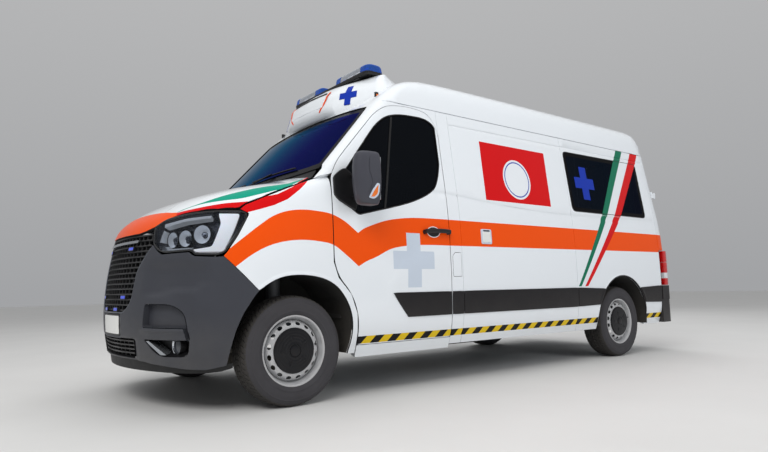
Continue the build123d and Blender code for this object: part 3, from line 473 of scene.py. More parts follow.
def make(name, P, faces, mats, fmat=None, normals=None, body="body", replaces=(), slot=None, smooth=True, mirror=False):
    """A mesh piece from millimetre points. mirror turns it to the other side."""
    P = np.array(P, float)
    if mirror:
        P[:, 0] *= -1
        faces = [tuple(reversed(f)) for f in faces]
        if normals is not None:
            normals = np.array(normals, float) * [-1, 1, 1]
    me = bpy.data.meshes.new(name)
    me.from_pydata(to_m(P).tolist(), [], [tuple(int(i) for i in f) for f in faces])
    for m in mats:
        me.materials.append(m)
    if fmat is not None and len(me.polygons) == len(fmat):
        me.polygons.foreach_set("material_index", np.asarray(fmat, np.int32))
    me.polygons.foreach_set("use_smooth", np.full(len(me.polygons), bool(smooth)))
    me.update()
    if normals is not None:
        me.normals_split_custom_set_from_vertices(np.asarray(normals, float).tolist())
    ob = bpy.data.objects.new(name, me)
    bpy.context.scene.collection.objects.link(ob)
    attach(ob, body)
    if replaces:
        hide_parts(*replaces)
    PIECES.append(ob)
    return ob


def crease_angle(ob, deg=35):
    """Smooth shading with sharp edges above an angle."""
    me = ob.data
    bm = bmesh.new()
    bm.from_mesh(me)
    lim = math.radians(deg)
    for e in bm.edges:
        e.smooth = len(e.link_faces) == 2 and e.calc_face_angle(0) < lim
    bm.to_mesh(me)
    bm.free()
    for p in me.polygons:
        p.use_smooth = True
    return ob


def panel_mesh(dom, outline, holes=(), regions=(), lines=(), grid=45.0, gap=2.0, edge=2.5, thick=20.0, base=0, rim=None, inner=None, skin_only=False, segs=3):
    """Skin over an outline in a domain's plane, with rolled edges and thickness. Returns points, faces, face materials, normals."""
    out = inset(outline, gap + edge)
    hol = [inset(h, -(gap + edge)) for h in holes]
    step = max(6.0, grid * 0.6)
    loops = [divide(out, step)] + [divide(ccw(h), step) for h in hol]
    regs = [(divide(ccw(p), step), m) for p, m in regions]
    lns = [divide(np.asarray(l, float), step, closed=False) for l in lines]
    pts, edges = [], []
    for L in loops + [r[0] for r in regs]:
        b = len(pts)
        pts.extend(L.tolist())
        edges.extend([(b + i, b + (i + 1) % len(L)) for i in range(len(L))])
    for L in lns:
        b = len(pts)
        pts.extend(L.tolist())
        edges.extend([(b + i, b + i + 1) for i in range(len(L) - 1)])
    lo, hi = out.min(0), out.max(0)
    nx, ny = max(1, int((hi[0] - lo[0]) / grid)), max(1, int((hi[1] - lo[1]) / grid))
    gx, gy = np.meshgrid(np.linspace(lo[0], hi[0], nx + 1), np.linspace(lo[1], hi[1], ny + 1))
    gx = gx + (np.arange(ny + 1)[:, None] % 2) * grid * 0.5
    G = np.stack([gx.ravel(), gy.ravel()], 1)
    G = G[inside(out, G)]
    for L in loops + [r[0] for r in regs]:
        if len(G):
            G = G[far_from(L, G, grid * 0.33)]
    for L in lns:
        if len(G):
            G = G[poly_distance(L, G[:, 0], G[:, 1]) > grid * 0.33]
    pts.extend(G.tolist())
    V, _, T, _, _, _ = delaunay_2d_cdt([Vector(p) for p in pts], edges, [], 0, 1e-4, False)
    V = np.array([(v.x, v.y) for v in V])
    T = np.array([t for t in T if len(t) == 3], int)
    C = V[T].mean(1)
    keep = inside(loops[0], C)
    for L in loops[1:]:
        keep &= ~inside(L, C)
    T, C = T[keep], C[keep]
    fm = np.full(len(T), base)
    for p, m in regs:
        fm[inside(p, C)] = m
    used = np.unique(T)
    remap = -np.ones(len(V), int)
    remap[used] = np.arange(len(used))
    V, T = V[used], remap[T]
    P, N = dom.at(V)
    a, b, c = P[T[:, 0]], P[T[:, 1]], P[T[:, 2]]
    if np.sum(np.cross(b - a, c - a) * N[T[:, 0]]) < 0:
        T = T[:, ::-1]
    if skin_only:
        return P, [tuple(t) for t in T], list(fm), N
    # boundary edges, with the triangle on their left
    cnt = {}
    for ti, t in enumerate(T):
        for i in range(3):
            cnt.setdefault((min(t[i], t[(i + 1) % 3]), max(t[i], t[(i + 1) % 3])), []).append((t[i], t[(i + 1) % 3], ti))
    bnd = [v[0] for v in cnt.values() if len(v) == 1]
    nv = len(P)
    outv = np.zeros((nv, 3))
    for i, j, _ in bnd:
        d = P[j] - P[i]
        d = np.cross(d, N[i] + N[j])
        d /= max(np.linalg.norm(d), 1e-9)
        outv[i] += d
        outv[j] += d
    bv = np.unique([i for e in bnd for i in e[:2]]) if bnd else np.array([], int)
    o = outv[bv]
    o /= np.maximum(np.linalg.norm(o, axis=1, keepdims=True), 1e-9)
    n = N[bv]
    o = o - n * np.sum(o * n, 1, keepdims=True)
    o /= np.maximum(np.linalg.norm(o, axis=1, keepdims=True), 1e-9)
    idx = -np.ones(nv, int)
    idx[bv] = np.arange(len(bv))
    Ps, Ns = [P], [N]
    faces, fmat = [tuple(t) for t in T], list(fm)
    prev = lambda i: i
    total = nv
    # the rim material colours the last rolled ring and the edge wall; callers give the dark grey here to paint the
    # shade inside a seam
    rim_m = base if rim is None else rim
    for k in range(1, segs + 1):
        th = math.pi / 2 * k / segs
        Ps.append(P[bv] + o * edge * math.sin(th) - n * edge * (1 - math.cos(th)))
        Ns.append(o * math.sin(th) + n * math.cos(th))
        base_i = total
        for i, j, ti in bnd:
            a0, b0 = (i, j) if k == 1 else (prev_base + idx[i], prev_base + idx[j])
            faces.append((b0, a0, base_i + idx[i], base_i + idx[j]))
            fmat.append(fm[ti] if rim is None or k < segs else rim_m)
        prev_base = base_i
        total += len(bv)
    # wall of the edge
    Ps.append(P[bv] + o * edge - n * thick)
    Ns.append(o)
    for i, j, ti in bnd:
        faces.append((prev_base + idx[j], prev_base + idx[i], total + idx[i], total + idx[j]))
        fmat.append(fm[ti] if rim is None else rim_m)
    total += len(bv)
    # back face
    Pb = P - N * thick
    Pb[bv] = P[bv] + o * edge - n * thick
    Ps.append(Pb)
    Ns.append(-N)
    for t in T:
        faces.append((total + t[2], total + t[1], total + t[0]))
    fmat.extend([base if inner is None else inner] * len(T))
    return np.vstack(Ps), faces, fmat, np.vstack(Ns)


def panel(name, dom, outline, mats, body="body", replaces=(), slot="paint", mirror=False, **kw):
    P, f, m, n = panel_mesh(dom, outline, **kw)
    return make(name, P, f, mats, m, n, body=body, replaces=replaces, slot=slot, mirror=mirror)


def join_data(parts):
    """Joins (points, faces, face materials, normals) sets into one."""
    Ps, F, M, Ns = [], [], [], []
    b = 0
    for P, f, m, n in parts:
        P = np.asarray(P, float)
        Ps.append(P)
        F.extend([tuple(i + b for i in q) for q in f])
        M.extend(m)
        Ns.append(n)
        b += len(P)
    return np.vstack(Ps), F, M, np.vstack(Ns)


def flip(part):
    """The mirror image of a (points, faces, materials, normals) set."""
    P, f, m, n = part
    return np.asarray(P) * [-1, 1, 1], [tuple(reversed(q)) for q in f], m, np.asarray(n) * [-1, 1, 1]


def lathe_data(profile, center, n=64, axis=0, mat=0, a0=0.0, a1=2 * math.pi, mats=None, flat=30):
    """Turned shape about an axis through center. profile holds (radius, distance along the axis) from one end to the other; normals split at corners."""
    prof = np.asarray(profile, float)
    seg = prof[1:] - prof[:-1]
    nrm = np.stack([seg[:, 1], -seg[:, 0]], 1)
    nrm /= np.maximum(np.linalg.norm(nrm, axis=1, keepdims=True), 1e-9)
    ring_p, ring_n, links = [], [], []
    for i in range(len(seg)):
        na = nrm[i]
        nb = nrm[i]
        if i > 0 and nrm[i - 1] @ nrm[i] > math.cos(math.radians(flat)):
            na = nrm[i - 1] + nrm[i]
        if i < len(seg) - 1 and nrm[i + 1] @ nrm[i] > math.cos(math.radians(flat)):
            nb = nrm[i + 1] + nrm[i]
        ring_p += [prof[i], prof[i + 1]]
        ring_n += [na / np.linalg.norm(na), nb / np.linalg.norm(nb)]
        links.append((2 * i, 2 * i + 1, mats[i] if mats else mat))
    ring_p, ring_n = np.array(ring_p), np.array(ring_n)
    full = abs(a1 - a0 - 2 * math.pi) < 1e-6
    A = np.linspace(a0, a1, n + (0 if full else 1), endpoint=not full)
    P, N = [], []
    others = [i for i in range(3) if i != axis]
    for a in A:
        p = np.zeros((len(ring_p), 3))
        q = np.zeros((len(ring_p), 3))
        p[:, axis] = ring_p[:, 1]
        p[:, others[0]] = ring_p[:, 0] * math.cos(a)
        p[:, others[1]] = ring_p[:, 0] * math.sin(a)
        q[:, axis] = ring_n[:, 1]
        q[:, others[0]] = ring_n[:, 0] * math.cos(a)
        q[:, others[1]] = ring_n[:, 0] * math.sin(a)
        P.append(p)
        N.append(q)
    m = len(ring_p)
    P, N = np.vstack(P) + np.asarray(center, float), np.vstack(N)
    F, M = [], []
    cnt = len(A)
    for k in range(cnt if full else cnt - 1):
        k2 = (k + 1) % cnt
        for i, j, mm in links:
            F.append((k * m + i, k * m + j, k2 * m + j, k2 * m + i))
            M.append(mm)
    # turn the faces to agree with their normals
    f0 = F[0] if ring_p[0, 0] > 1e-6 else F[-1]
    for f0 in F:
        g = np.cross(P[f0[1]] - P[f0[0]], P[f0[2]] - P[f0[0]])
        if np.linalg.norm(g) > 1e-6:
            if g @ N[f0[0]] < 0:
                F = [tuple(reversed(f)) for f in F]
            break
    return P, F, M, N


def tube_data(path, r, n=10, mat=0, caps=True, scale=None):
    """Round bar along a path of 3D points."""
    Q = np.asarray(path, float)
    t = np.gradient(Q, axis=0)
    t /= np.maximum(np.linalg.norm(t, axis=1, keepdims=True), 1e-9)
    up = np.array([0, 0, 1.0]) if abs(t[0][2]) < 0.9 else np.array([1.0, 0, 0])
    u = np.cross(t[0], up)
    u /= np.linalg.norm(u)
    P, N = [], []
    rr = np.full(len(Q), r) if scale is None else r * np.asarray(scale)
    for i in range(len(Q)):
        u = u - t[i] * (u @ t[i])
        u /= np.linalg.norm(u)
        v = np.cross(t[i], u)
        for a in np.linspace(0, 2 * math.pi, n, endpoint=False):
            d = u * math.cos(a) + v * math.sin(a)
            P.append(Q[i] + d * rr[i])
            N.append(d)
    F = []
    for i in range(len(Q) - 1):
        for k in range(n):
            k2 = (k + 1) % n
            F.append((i * n + k, i * n + k2, (i + 1) * n + k2, (i + 1) * n + k))
    M = [mat] * len(F)
    if caps:
        for i, sgn in ((0, -1), (len(Q) - 1, 1)):
            b = len(P)
            for k in range(n):
                P.append(P[i * n + k])
                N.append(t[i] * sgn)
            f = tuple(range(b, b + n))
            F.append(f if sgn > 0 else tuple(reversed(f)))
            M.append(mat)
    return np.array(P), F, M, np.array(N)


def box_data(lo, hi, r=3.0, mat=0, segs=2):
    """Block with rounded edges, between two corners (x, s, z)."""
    bm = bmesh.new()
    lo, hi = np.asarray(lo, float), np.asarray(hi, float)
    bmesh.ops.create_cube(bm, size=1.0)
    c, d = (lo + hi) / 2, np.abs(hi - lo)
    for v in bm.verts:
        v.co = Vector(c + np.array(v.co) * d)
    r = min(r, d.min() * 0.45)
    if r > 0.01:
        bmesh.ops.bevel(bm, geom=list(bm.edges), offset=r, segments=segs, profile=0.5, affect="EDGES")
    return bm_data(bm, mat)


def bm_data(bm, mat=0, sharp=50):
    """Points, faces and normals of a bmesh, split where it is sharp."""
    bmesh.ops.recalc_face_normals(bm, faces=list(bm.faces))
    bm.normal_update()
    P, F, N, M = [], [], [], []
    for f in bm.faces:
        idx = []
        for l in f.loops:
            v = l.vert
            n = Vector((0, 0, 0))
            for g in v.link_faces:
                if g.normal.dot(f.normal) > math.cos(math.radians(sharp)):
                    n += g.normal * g.calc_area()
            n = n.normalized() if n.length > 0 else f.normal
            idx.append(len(P))
            P.append(tuple(v.co))
            N.append(tuple(n))
        F.append(tuple(idx))
        M.append(mat)
    bm.free()
    return np.array(P), F, M, np.array(N)


def sweep_data(outline, frames, mat=0, caps=True, sharp=40):
    """Closed 2D outline carried through frames (origin, u axis, v axis)."""
    O = np.asarray(outline, float)
    bm = bmesh.new()
    rings = []
    for o, u, v in frames:
        o, u, v = (np.asarray(t, float) for t in (o, u, v))
        rings.append([bm.verts.new(o + u * a + v * b) for a, b in O])
    m = len(O)
    for r0, r1 in zip(rings[:-1], rings[1:]):
        for i in range(m):
            j = (i + 1) % m
            bm.faces.new((r0[i], r0[j], r1[j], r1[i]))
    if caps:
        bm.faces.new(list(reversed(rings[0])))
        bm.faces.new(rings[-1])
    return bm_data(bm, mat, sharp)


def emit(name, parts, mats, **kw):
    """One piece from several data sets."""
    P, F, M, N = join_data(parts)
    return make(name, P, F, mats, M, N, **kw)


def shift(part, d):
    return (np.asarray(part[0]) + np.asarray(d, float), part[1], part[2], part[3])


def turn(part, axis, deg, origin=(0, 0, 0)):
    """Turns a data set about an axis through origin."""
    R = np.array(Matrix.Rotation(math.radians(deg), 3, Vector(axis)))
    o = np.asarray(origin, float)
    return ((np.asarray(part[0]) - o) @ R.T + o, part[1], part[2], np.asarray(part[3]) @ R.T)


# ------------------------------------------------------------------ materials
def nodes_of(m):
    m.use_nodes = True
    nt = m.node_tree
    nt.nodes.clear()
    out = nt.nodes.new("ShaderNodeOutputMaterial")
    bs = nt.nodes.new("ShaderNodeBsdfPrincipled")
    nt.links.new(bs.outputs[0], out.inputs[0])
    return nt, bs, out


def lin(c):
    """sRGB 0-255 to linear."""
    return tuple(((v / 255) / 12.92 if v / 255 <= 0.04045 else (((v / 255) + 0.055) / 1.055) ** 2.4) for v in c)


def node(nt, kind, **kw):
    n = nt.nodes.new(kind)
    for k, v in kw.items():
        setattr(n, k, v)
    return n


def mat(name, color, rough=0.5, metal=0.0, coat=0.0, coat_rough=0.04, spec=0.5, tone=0.08, tone_scale=9.0, tone_detail=5.0, grain=0.0, grain_scale=400.0, grain2=0.0, grain2_scale=40.0,
        rough_var=0.08, rough_scale=25.0, dust=0.0, dust_top=0.75, dust_color=(0.20, 0.17, 0.13), wear=0.0, wear_color=None, sheen=0.0, emission=None, strength=0.0, alpha=None, trans=0.0, ior=1.5, subsurface=0.0, stretch=None, cells=0.0, cells_scale=900.0, brushed=0.0):
    """A finished surface: colour that varies, roughness that varies, grain, dust low down and worn edges."""
    m = bpy.data.materials.new(name)
    nt, bs, out = nodes_of(m)
    L = nt.links.new
    tc = node(nt, "ShaderNodeTexCoord")
    src = tc.outputs["Object"]
    if stretch:
        mp = node(nt, "ShaderNodeMapping")
        mp.inputs["Scale"].default_value = stretch
        L(src, mp.inputs[0])
        src = mp.outputs[0]
    bs.inputs["Metallic"].default_value = metal
    bs.inputs["Specular IOR Level"].default_value = spec
    bs.inputs["IOR"].default_value = ior
    bs.inputs["Coat Weight"].default_value = coat
    bs.inputs["Coat Roughness"].default_value = coat_rough
    bs.inputs["Sheen Weight"].default_value = sheen
    if sheen:
        bs.inputs["Sheen Roughness"].default_value = 0.45
    if trans:
        bs.inputs["Transmission Weight"].default_value = trans
    if subsurface:
        bs.inputs["Subsurface Weight"].default_value = subsurface
        bs.inputs["Subsurface Scale"].default_value = 0.01
    if alpha is not None:
        bs.inputs["Alpha"].default_value = alpha
    col = (*color, 1.0)
    # colour
    n1 = node(nt, "ShaderNodeTexNoise")
    n1.inputs["Scale"].default_value = tone_scale
    n1.inputs["Detail"].default_value = tone_detail
    L(src, n1.inputs["Vector"])
    mx = node(nt, "ShaderNodeMix", data_type="RGBA")
    mx.inputs[6].default_value = tuple(c * (1 - tone) for c in color) + (1,)
    mx.inputs[7].default_value = tuple(min(1, c * (1 + tone)) for c in color) + (1,)
    L(n1.outputs[0], mx.inputs[0])
    c_out = mx.outputs[2]
    if dust:
        sep = node(nt, "ShaderNodeSeparateXYZ")
        L(tc.outputs["Object"], sep.inputs[0])
        mr = node(nt, "ShaderNodeMapRange")
        mr.inputs["From Min"].default_value = dust_top
        mr.inputs["From Max"].default_value = 0.15
        mr.inputs["To Min"].default_value = 0.0
        mr.inputs["To Max"].default_value = 1.0
        L(sep.outputs[2], mr.inputs[0])
        n2 = node(nt, "ShaderNodeTexNoise")
        n2.inputs["Scale"].default_value = 6.0
        n2.inputs["Detail"].default_value = 8.0
        L(src, n2.inputs["Vector"])
        mu = node(nt, "ShaderNodeMath", operation="MULTIPLY")
        L(mr.outputs[0], mu.inputs[0])
        L(n2.outputs[0], mu.inputs[1])
        mu2 = node(nt, "ShaderNodeMath", operation="MULTIPLY")
        mu2.inputs[1].default_value = dust * 1.6
        mu2.use_clamp = True
        L(mu.outputs[0], mu2.inputs[0])
        md = node(nt, "ShaderNodeMix", data_type="RGBA")
        md.inputs[7].default_value = (*dust_color, 1)
        L(mu2.outputs[0], md.inputs[0])
        L(c_out, md.inputs[6])
        c_out = md.outputs[2]
    if wear:
        ge = node(nt, "ShaderNodeNewGeometry")
        n3 = node(nt, "ShaderNodeTexNoise")
        n3.inputs["Scale"].default_value = 60.0
        n3.inputs["Detail"].default_value = 6.0
        L(src, n3.inputs["Vector"])
        rp = node(nt, "ShaderNodeMapRange")
        rp.inputs["From Min"].default_value = 0.515
        rp.inputs["From Max"].default_value = 0.60
        L(ge.outputs["Pointiness"], rp.inputs[0])
        mu = node(nt, "ShaderNodeMath", operation="MULTIPLY")
        L(rp.outputs[0], mu.inputs[0])
        L(n3.outputs[0], mu.inputs[1])
        mu2 = node(nt, "ShaderNodeMath", operation="MULTIPLY")
        mu2.use_clamp = True
        mu2.inputs[1].default_value = wear * 2
        L(mu.outputs[0], mu2.inputs[0])
        mw = node(nt, "ShaderNodeMix", data_type="RGBA")
        mw.inputs[7].default_value = (*(wear_color or tuple(min(1, c * 1.8 + 0.04) for c in color)), 1)
        L(mu2.outputs[0], mw.inputs[0])
        L(c_out, mw.inputs[6])
        c_out = mw.outputs[2]
    L(c_out, bs.inputs["Base Color"])
    # roughness
    n4 = node(nt, "ShaderNodeTexNoise")
    n4.inputs["Scale"].default_value = rough_scale
    n4.inputs["Detail"].default_value = 4.0
    L(src, n4.inputs["Vector"])
    mr = node(nt, "ShaderNodeMapRange")
    mr.inputs["To Min"].default_value = max(0.0, rough - rough_var)
    mr.inputs["To Max"].default_value = min(1.0, rough + rough_var)
    L(n4.outputs[0], mr.inputs[0])
    L(mr.outputs[0], bs.inputs["Roughness"])
    # relief
    last = None
    if grain:
        g = node(nt, "ShaderNodeTexNoise")
        g.inputs["Scale"].default_value = grain_scale
        g.inputs["Detail"].default_value = 3.0
        L(src, g.inputs["Vector"])
        bp = node(nt, "ShaderNodeBump")
        bp.inputs["Strength"].default_value = grain
        bp.inputs["Distance"].default_value = 0.001
        L(g.outputs[0], bp.inputs["Height"])
        last = bp
    if cells:
        g = node(nt, "ShaderNodeTexVoronoi")
        g.inputs["Scale"].default_value = cells_scale
        L(src, g.inputs["Vector"])
        bp = node(nt, "ShaderNodeBump")
        bp.inputs["Strength"].default_value = cells
        bp.inputs["Distance"].default_value = 0.001
        L(g.outputs["Distance"], bp.inputs["Height"])
        if last:
            L(last.outputs[0], bp.inputs["Normal"])
        last = bp
    if grain2:
        g = node(nt, "ShaderNodeTexNoise")
        g.inputs["Scale"].default_value = grain2_scale
        g.inputs["Detail"].default_value = 2.0
        L(src, g.inputs["Vector"])
        bp = node(nt, "ShaderNodeBump")
        bp.inputs["Strength"].default_value = grain2
        bp.inputs["Distance"].default_value = 0.002
        L(g.outputs[0], bp.inputs["Height"])
        if last:
            L(last.outputs[0], bp.inputs["Normal"])
        last = bp
    if last:
        L(last.outputs[0], bs.inputs["Normal"])
        if coat:
            L(last.outputs[0], bs.inputs["Coat Normal"])
    if emission:
        bs.inputs["Emission Color"].default_value = (*emission, 1)
        bs.inputs["Emission Strength"].default_value = strength
    m.diffuse_color = (*color, 1)
    return m


def glass(name, tint, see=0.5, rough=0.02, coat=0.0, gloss=(1, 1, 1), spec=0.5, through=None, metal=0.0):
    """Window glass: part tinted and see-through, part mirror by angle, with a faint film of dirt."""
    m = bpy.data.materials.new(name)
    nt, bs, out = nodes_of(m)
    L = nt.links.new
    bs.inputs["Base Color"].default_value = (*tint, 1)
    bs.inputs["Metallic"].default_value = metal
    bs.inputs["Roughness"].default_value = rough
    bs.inputs["Specular IOR Level"].default_value = spec
    bs.inputs["Specular Tint"].default_value = (*gloss, 1)
    bs.inputs["IOR"].default_value = 1.52
    bs.inputs["Coat Weight"].default_value = coat
    bs.inputs["Coat Roughness"].default_value = 0.01
    tr = node(nt, "ShaderNodeBsdfTransparent")
    tr.inputs[0].default_value = (*(through or [min(1, 0.35 + c * 3) * see * 2 for c in tint]), 1)
    fr = node(nt, "ShaderNodeFresnel")
    fr.inputs["IOR"].default_value = 1.55
    tc = node(nt, "ShaderNodeTexCoord")
    n1 = node(nt, "ShaderNodeTexNoise")
    n1.inputs["Scale"].default_value = 5.0
    n1.inputs["Detail"].default_value = 8.0
    L(tc.outputs["Object"], n1.inputs["Vector"])
    mr = node(nt, "ShaderNodeMapRange")
    mr.inputs["To Min"].default_value = (1 - see) - 0.05
    mr.inputs["To Max"].default_value = (1 - see) + 0.05
    L(n1.outputs[0], mr.inputs[0])
    ad = node(nt, "ShaderNodeMath", operation="ADD")
    ad.use_clamp = True
    L(fr.outputs[0], ad.inputs[0])
    L(mr.outputs[0], ad.inputs[1])
    mx = node(nt, "ShaderNodeMixShader")
    L(ad.outputs[0], mx.inputs[0])
    L(tr.outputs[0], mx.inputs[1])
    L(bs.outputs[0], mx.inputs[2])
    L(mx.outputs[0], out.inputs[0])
    m.diffuse_color = (*tint, 0.5)
    return m


PAINT = dict(rough=0.32, coat=1.0, coat_rough=0.035, tone=0.012, tone_scale=3.0, grain=0.004, grain_scale=900.0, rough_var=0.04)
FILM = dict(rough=0.38, coat=0.22, coat_rough=0.06, spec=0.10, tone=0.02, tone_scale=2.0, grain=0.003, grain_scale=700.0, rough_var=0.05)
M_WHITE = mat("paint_white", lin((221, 226, 231)), dust=0.22, dust_top=0.62, dust_color=(0.42, 0.39, 0.35), **PAINT)
M_ORANGE = mat("film_orange", lin((227, 76, 0)), **FILM)
M_RED = mat("film_red", lin((198, 2, 8)), **FILM)
# a lighter, bluer copy of the side's dark green, used on the bonnet: painted sky light on the upward-facing bonnet
M_GREEN = mat("film_green", lin((0, 142, 118)), **FILM)
M_GREEND = mat("film_dark_green", lin((6, 106, 78)), **FILM)
M_YELLOW = mat("film_yellow", lin((214, 180, 22)), **{**FILM, "cells": 0.04, "cells_scale": 500.0})
M_BLACKF = mat("film_black", lin((12, 10, 13)), **FILM)
M_GREYF = mat("film_grey", lin((188, 198, 211)), **FILM)
M_BLUEF = mat("film_blue", lin((8, 46, 156)), **FILM)
M_BUMPER = mat("grained_plastic", lin((54, 56, 63)), rough=0.46, spec=0.42, tone=0.10, tone_scale=5.0, grain=0.10, grain_scale=900.0, cells=0.10, cells_scale=1500.0, dust=0.35, dust_top=0.60, dust_color=(0.13, 0.12, 0.105), wear=0.25)
M_MOULD = mat("moulding_plastic", lin((20, 18, 21)), rough=0.44, spec=0.3, tone=0.10, tone_scale=7.0, cells=0.10, cells_scale=1500.0, dust=0.3, dust_top=0.7, dust_color=(0.12, 0.11, 0.10), wear=0.25)
M_BLACK = mat("black_plastic", lin((20, 20, 22)), rough=0.42, tone=0.12, grain=0.06, grain_scale=1400.0, wear=0.15)
M_GLOSSB = mat("gloss_black", lin((10, 11, 14)), rough=0.16, coat=0.8, coat_rough=0.03, tone=0.1, grain=0.008, grain_scale=700.0)
# dark grey for real dark parts such as rails, pins, pockets and housings; it also paints shade: in panel seams, on the
# backs of wings and sills, behind the grille and bumper openings, in the door handle cups and along the rear door
# pressing
M_DARK_AND_SHADE = mat("dark_part_and_painted_shade", lin((34, 35, 38)), rough=0.7, tone=0.15, tone_scale=15.0, grain=0.1, grain_scale=300.0)
M_RUBBER = mat("seal_rubber", lin((22, 22, 23)), rough=0.62, tone=0.15, tone_scale=30.0, grain=0.15, grain_scale=1200.0)
M_CHROME = mat("chrome", lin((214, 218, 224)), rough=0.09, metal=1.0, tone=0.04, rough_var=0.05, grain=0.01, grain_scale=300.0)
M_SILVER = mat("silver_trim", lin((168, 172, 178)), rough=0.26, metal=0.9, tone=0.05, grain=0.02, grain_scale=900.0)
M_GLASS = glass("window_glass", (0.012, 0.014, 0.018), see=0.34, metal=0.9, gloss=(0.3, 0.32, 0.36), through=(0.05, 0.06, 0.07))
M_MIRROR = mat("mirror_shell_plastic", lin((60, 61, 69)), rough=0.40, spec=0.45, tone=0.08, tone_scale=9.0, grain=0.05, grain_scale=1200.0, cells=0.04, cells_scale=1500.0, wear=0.12)
# the deep blue of this glass (tint, reflection tint and see-through colour) is painted reflection of a blue sky
M_SCREEN_PAINTED_SKY = glass("windscreen_glass", (0.007, 0.042, 0.110), see=0.30, metal=0.95, gloss=(0.07, 0.30, 0.56), through=(0.02, 0.07, 0.16))
M_PRIV = glass("privacy_glass", (0.016, 0.020, 0.028), see=0.30, metal=0.9, gloss=(0.3, 0.34, 0.42), through=(0.10, 0.13, 0.17))
M_FRIT = mat("glass_border", lin((4, 4, 7)), rough=0.20, coat=0.03, coat_rough=0.03, spec=0.05, tone=0.08, cells=0.03, cells_scale=260.0, grain=0.004)
M_INNER = mat("painted_inner_sheet", lin((198, 202, 206)), rough=0.42, tone=0.03, grain=0.04, grain_scale=500.0, rough_var=0.1)
M_LINER = mat("wall_lining", lin((214, 216, 214)), rough=0.38, tone=0.025, cells=0.05, cells_scale=700.0, rough_var=0.1)
M_TRIM = mat("cab_trim", lin((58, 60, 64)), rough=0.62, tone=0.10, tone_scale=16.0, cells=0.18, cells_scale=1100.0, grain=0.05, grain_scale=500.0, wear=0.12)
M_TRIML = mat("cab_trim_light", lin((120, 123, 127)), rough=0.6, tone=0.06, cells=0.15, cells_scale=1100.0)


# ------------------------------------------------------------------ camera, light and floor
cam_data = bpy.data.cameras.new("camera")
cam_data.sensor_width = 36.0
cam_data.lens = 27.95
cam_data.shift_y = -0.0066
cam_data.clip_end = 200.0
cam = bpy.data.objects.new("camera", cam_data)
bpy.context.scene.collection.objects.link(cam)
cam_right, cam_down, cam_fwd = Vector((0.606, 0.795, -0.021)), Vector((-0.101, 0.051, -0.993)), Vector((-0.789, 0.604, 0.111))
cam_fwd.normalize()
cam_right = (cam_right - cam_fwd * cam_right.dot(cam_fwd)).normalized()
cam_up = cam_right.cross(cam_fwd).normalized()
R3 = Matrix((cam_right, cam_up, -cam_fwd)).transposed()
cam.matrix_world = Matrix.Translation(Vector((4.351, -3.7765, 0.727))) @ R3.to_4x4()
bpy.context.scene.camera = cam

bpy.context.scene.view_settings.view_transform = "Standard"
world = bpy.data.worlds.new("studio")
bpy.context.scene.world = world
world.use_nodes = True
wn = world.node_tree
wn.nodes.clear()
w_out = wn.nodes.new("ShaderNodeOutputWorld")
w_bg = wn.nodes.new("ShaderNodeBackground")
w_tc = wn.nodes.new("ShaderNodeTexCoord")
w_sep = wn.nodes.new("ShaderNodeSeparateXYZ")
w_rm = wn.nodes.new("ShaderNodeValToRGB")
wn.links.new(w_tc.outputs["Generated"], w_sep.inputs[0])
wn.links.new(w_sep.outputs[2], w_rm.inputs[0])
w_rm.color_ramp.elements[0].position = 0.0
w_rm.color_ramp.elements[0].color = (0.62, 0.63, 0.65, 1)
w_rm.color_ramp.elements[1].position = 0.9
w_rm.color_ramp.elements[1].color = (1.0, 1.0, 1.0, 1)
wn.links.new(w_rm.outputs[0], w_bg.inputs[0])
w_bg.inputs[1].default_value = 0.58
wn.links.new(w_bg.outputs[0], w_out.inputs[0])


def soft_light(name, place, aim, size, power, color=(1, 1, 1), glossy=False):
    d = bpy.data.lights.new(name, "AREA")
    d.shape = "RECTANGLE"
    d.size, d.size_y = size
    d.energy = power
    d.color = color
    o = bpy.data.objects.new(name, d)
    o.location = place
    o.rotation_euler = (Vector(aim) - Vector(place)).to_track_quat("-Z", "Y").to_euler()
    o.visible_glossy = glossy
    bpy.context.scene.collection.objects.link(o)


soft_light("key", (5.5, -7.5, 7.5), (0, -0.6, 1.0), (6.0, 4.0), 620, (1.0, 0.985, 0.96))
soft_light("fill", (9.0, 2.5, 4.0), (0, 0.6, 1.2), (5.0, 4.0), 230, (0.95, 0.97, 1.0))
soft_light("top", (0, 0, 8.5), (0, 0, 0), (6.0, 9.0), 260)
soft_light("back", (-7.0, 6.5, 6.0), (0, 0.5, 1.2), (6.0, 4.0), 270)

FLOOR_MAT = mat("studio_floor", (0.60, 0.60, 0.595), rough=0.62, tone=0.05, tone_scale=1.1, grain=0.15, grain_scale=220.0, rough_var=0.08, rough_scale=3.0, spec=0.35)
bm = bmesh.new()
bmesh.ops.create_grid(bm, x_segments=24, y_segments=24, size=40.0)
me = bpy.data.meshes.new("studio_floor")
bm.to_mesh(me)
bm.free()
me.materials.append(FLOOR_MAT)
floor_ob = bpy.data.objects.new("studio_floor", me)
bpy.context.scene.collection.objects.link(floor_ob)


# ------------------------------------------------------------------ livery outlines, side view (station, height)
# index 7, the dark grey, paints shade: callers give it as the rim of rolled edges, for the shade inside a seam, and as
# the back face of the wings and sills
SIDE_MATS = [M_WHITE, M_ORANGE, M_RED, M_GREEND, M_YELLOW, M_BLACKF, M_GREYF, M_DARK_AND_SHADE, M_INNER, M_LINER, M_TRIM, M_GREEN]
W_, O_, R_, G_, Y_, K_, C_, PAINTED_SHADE_, IN_, LI_, TR_, GR_ = range(12)

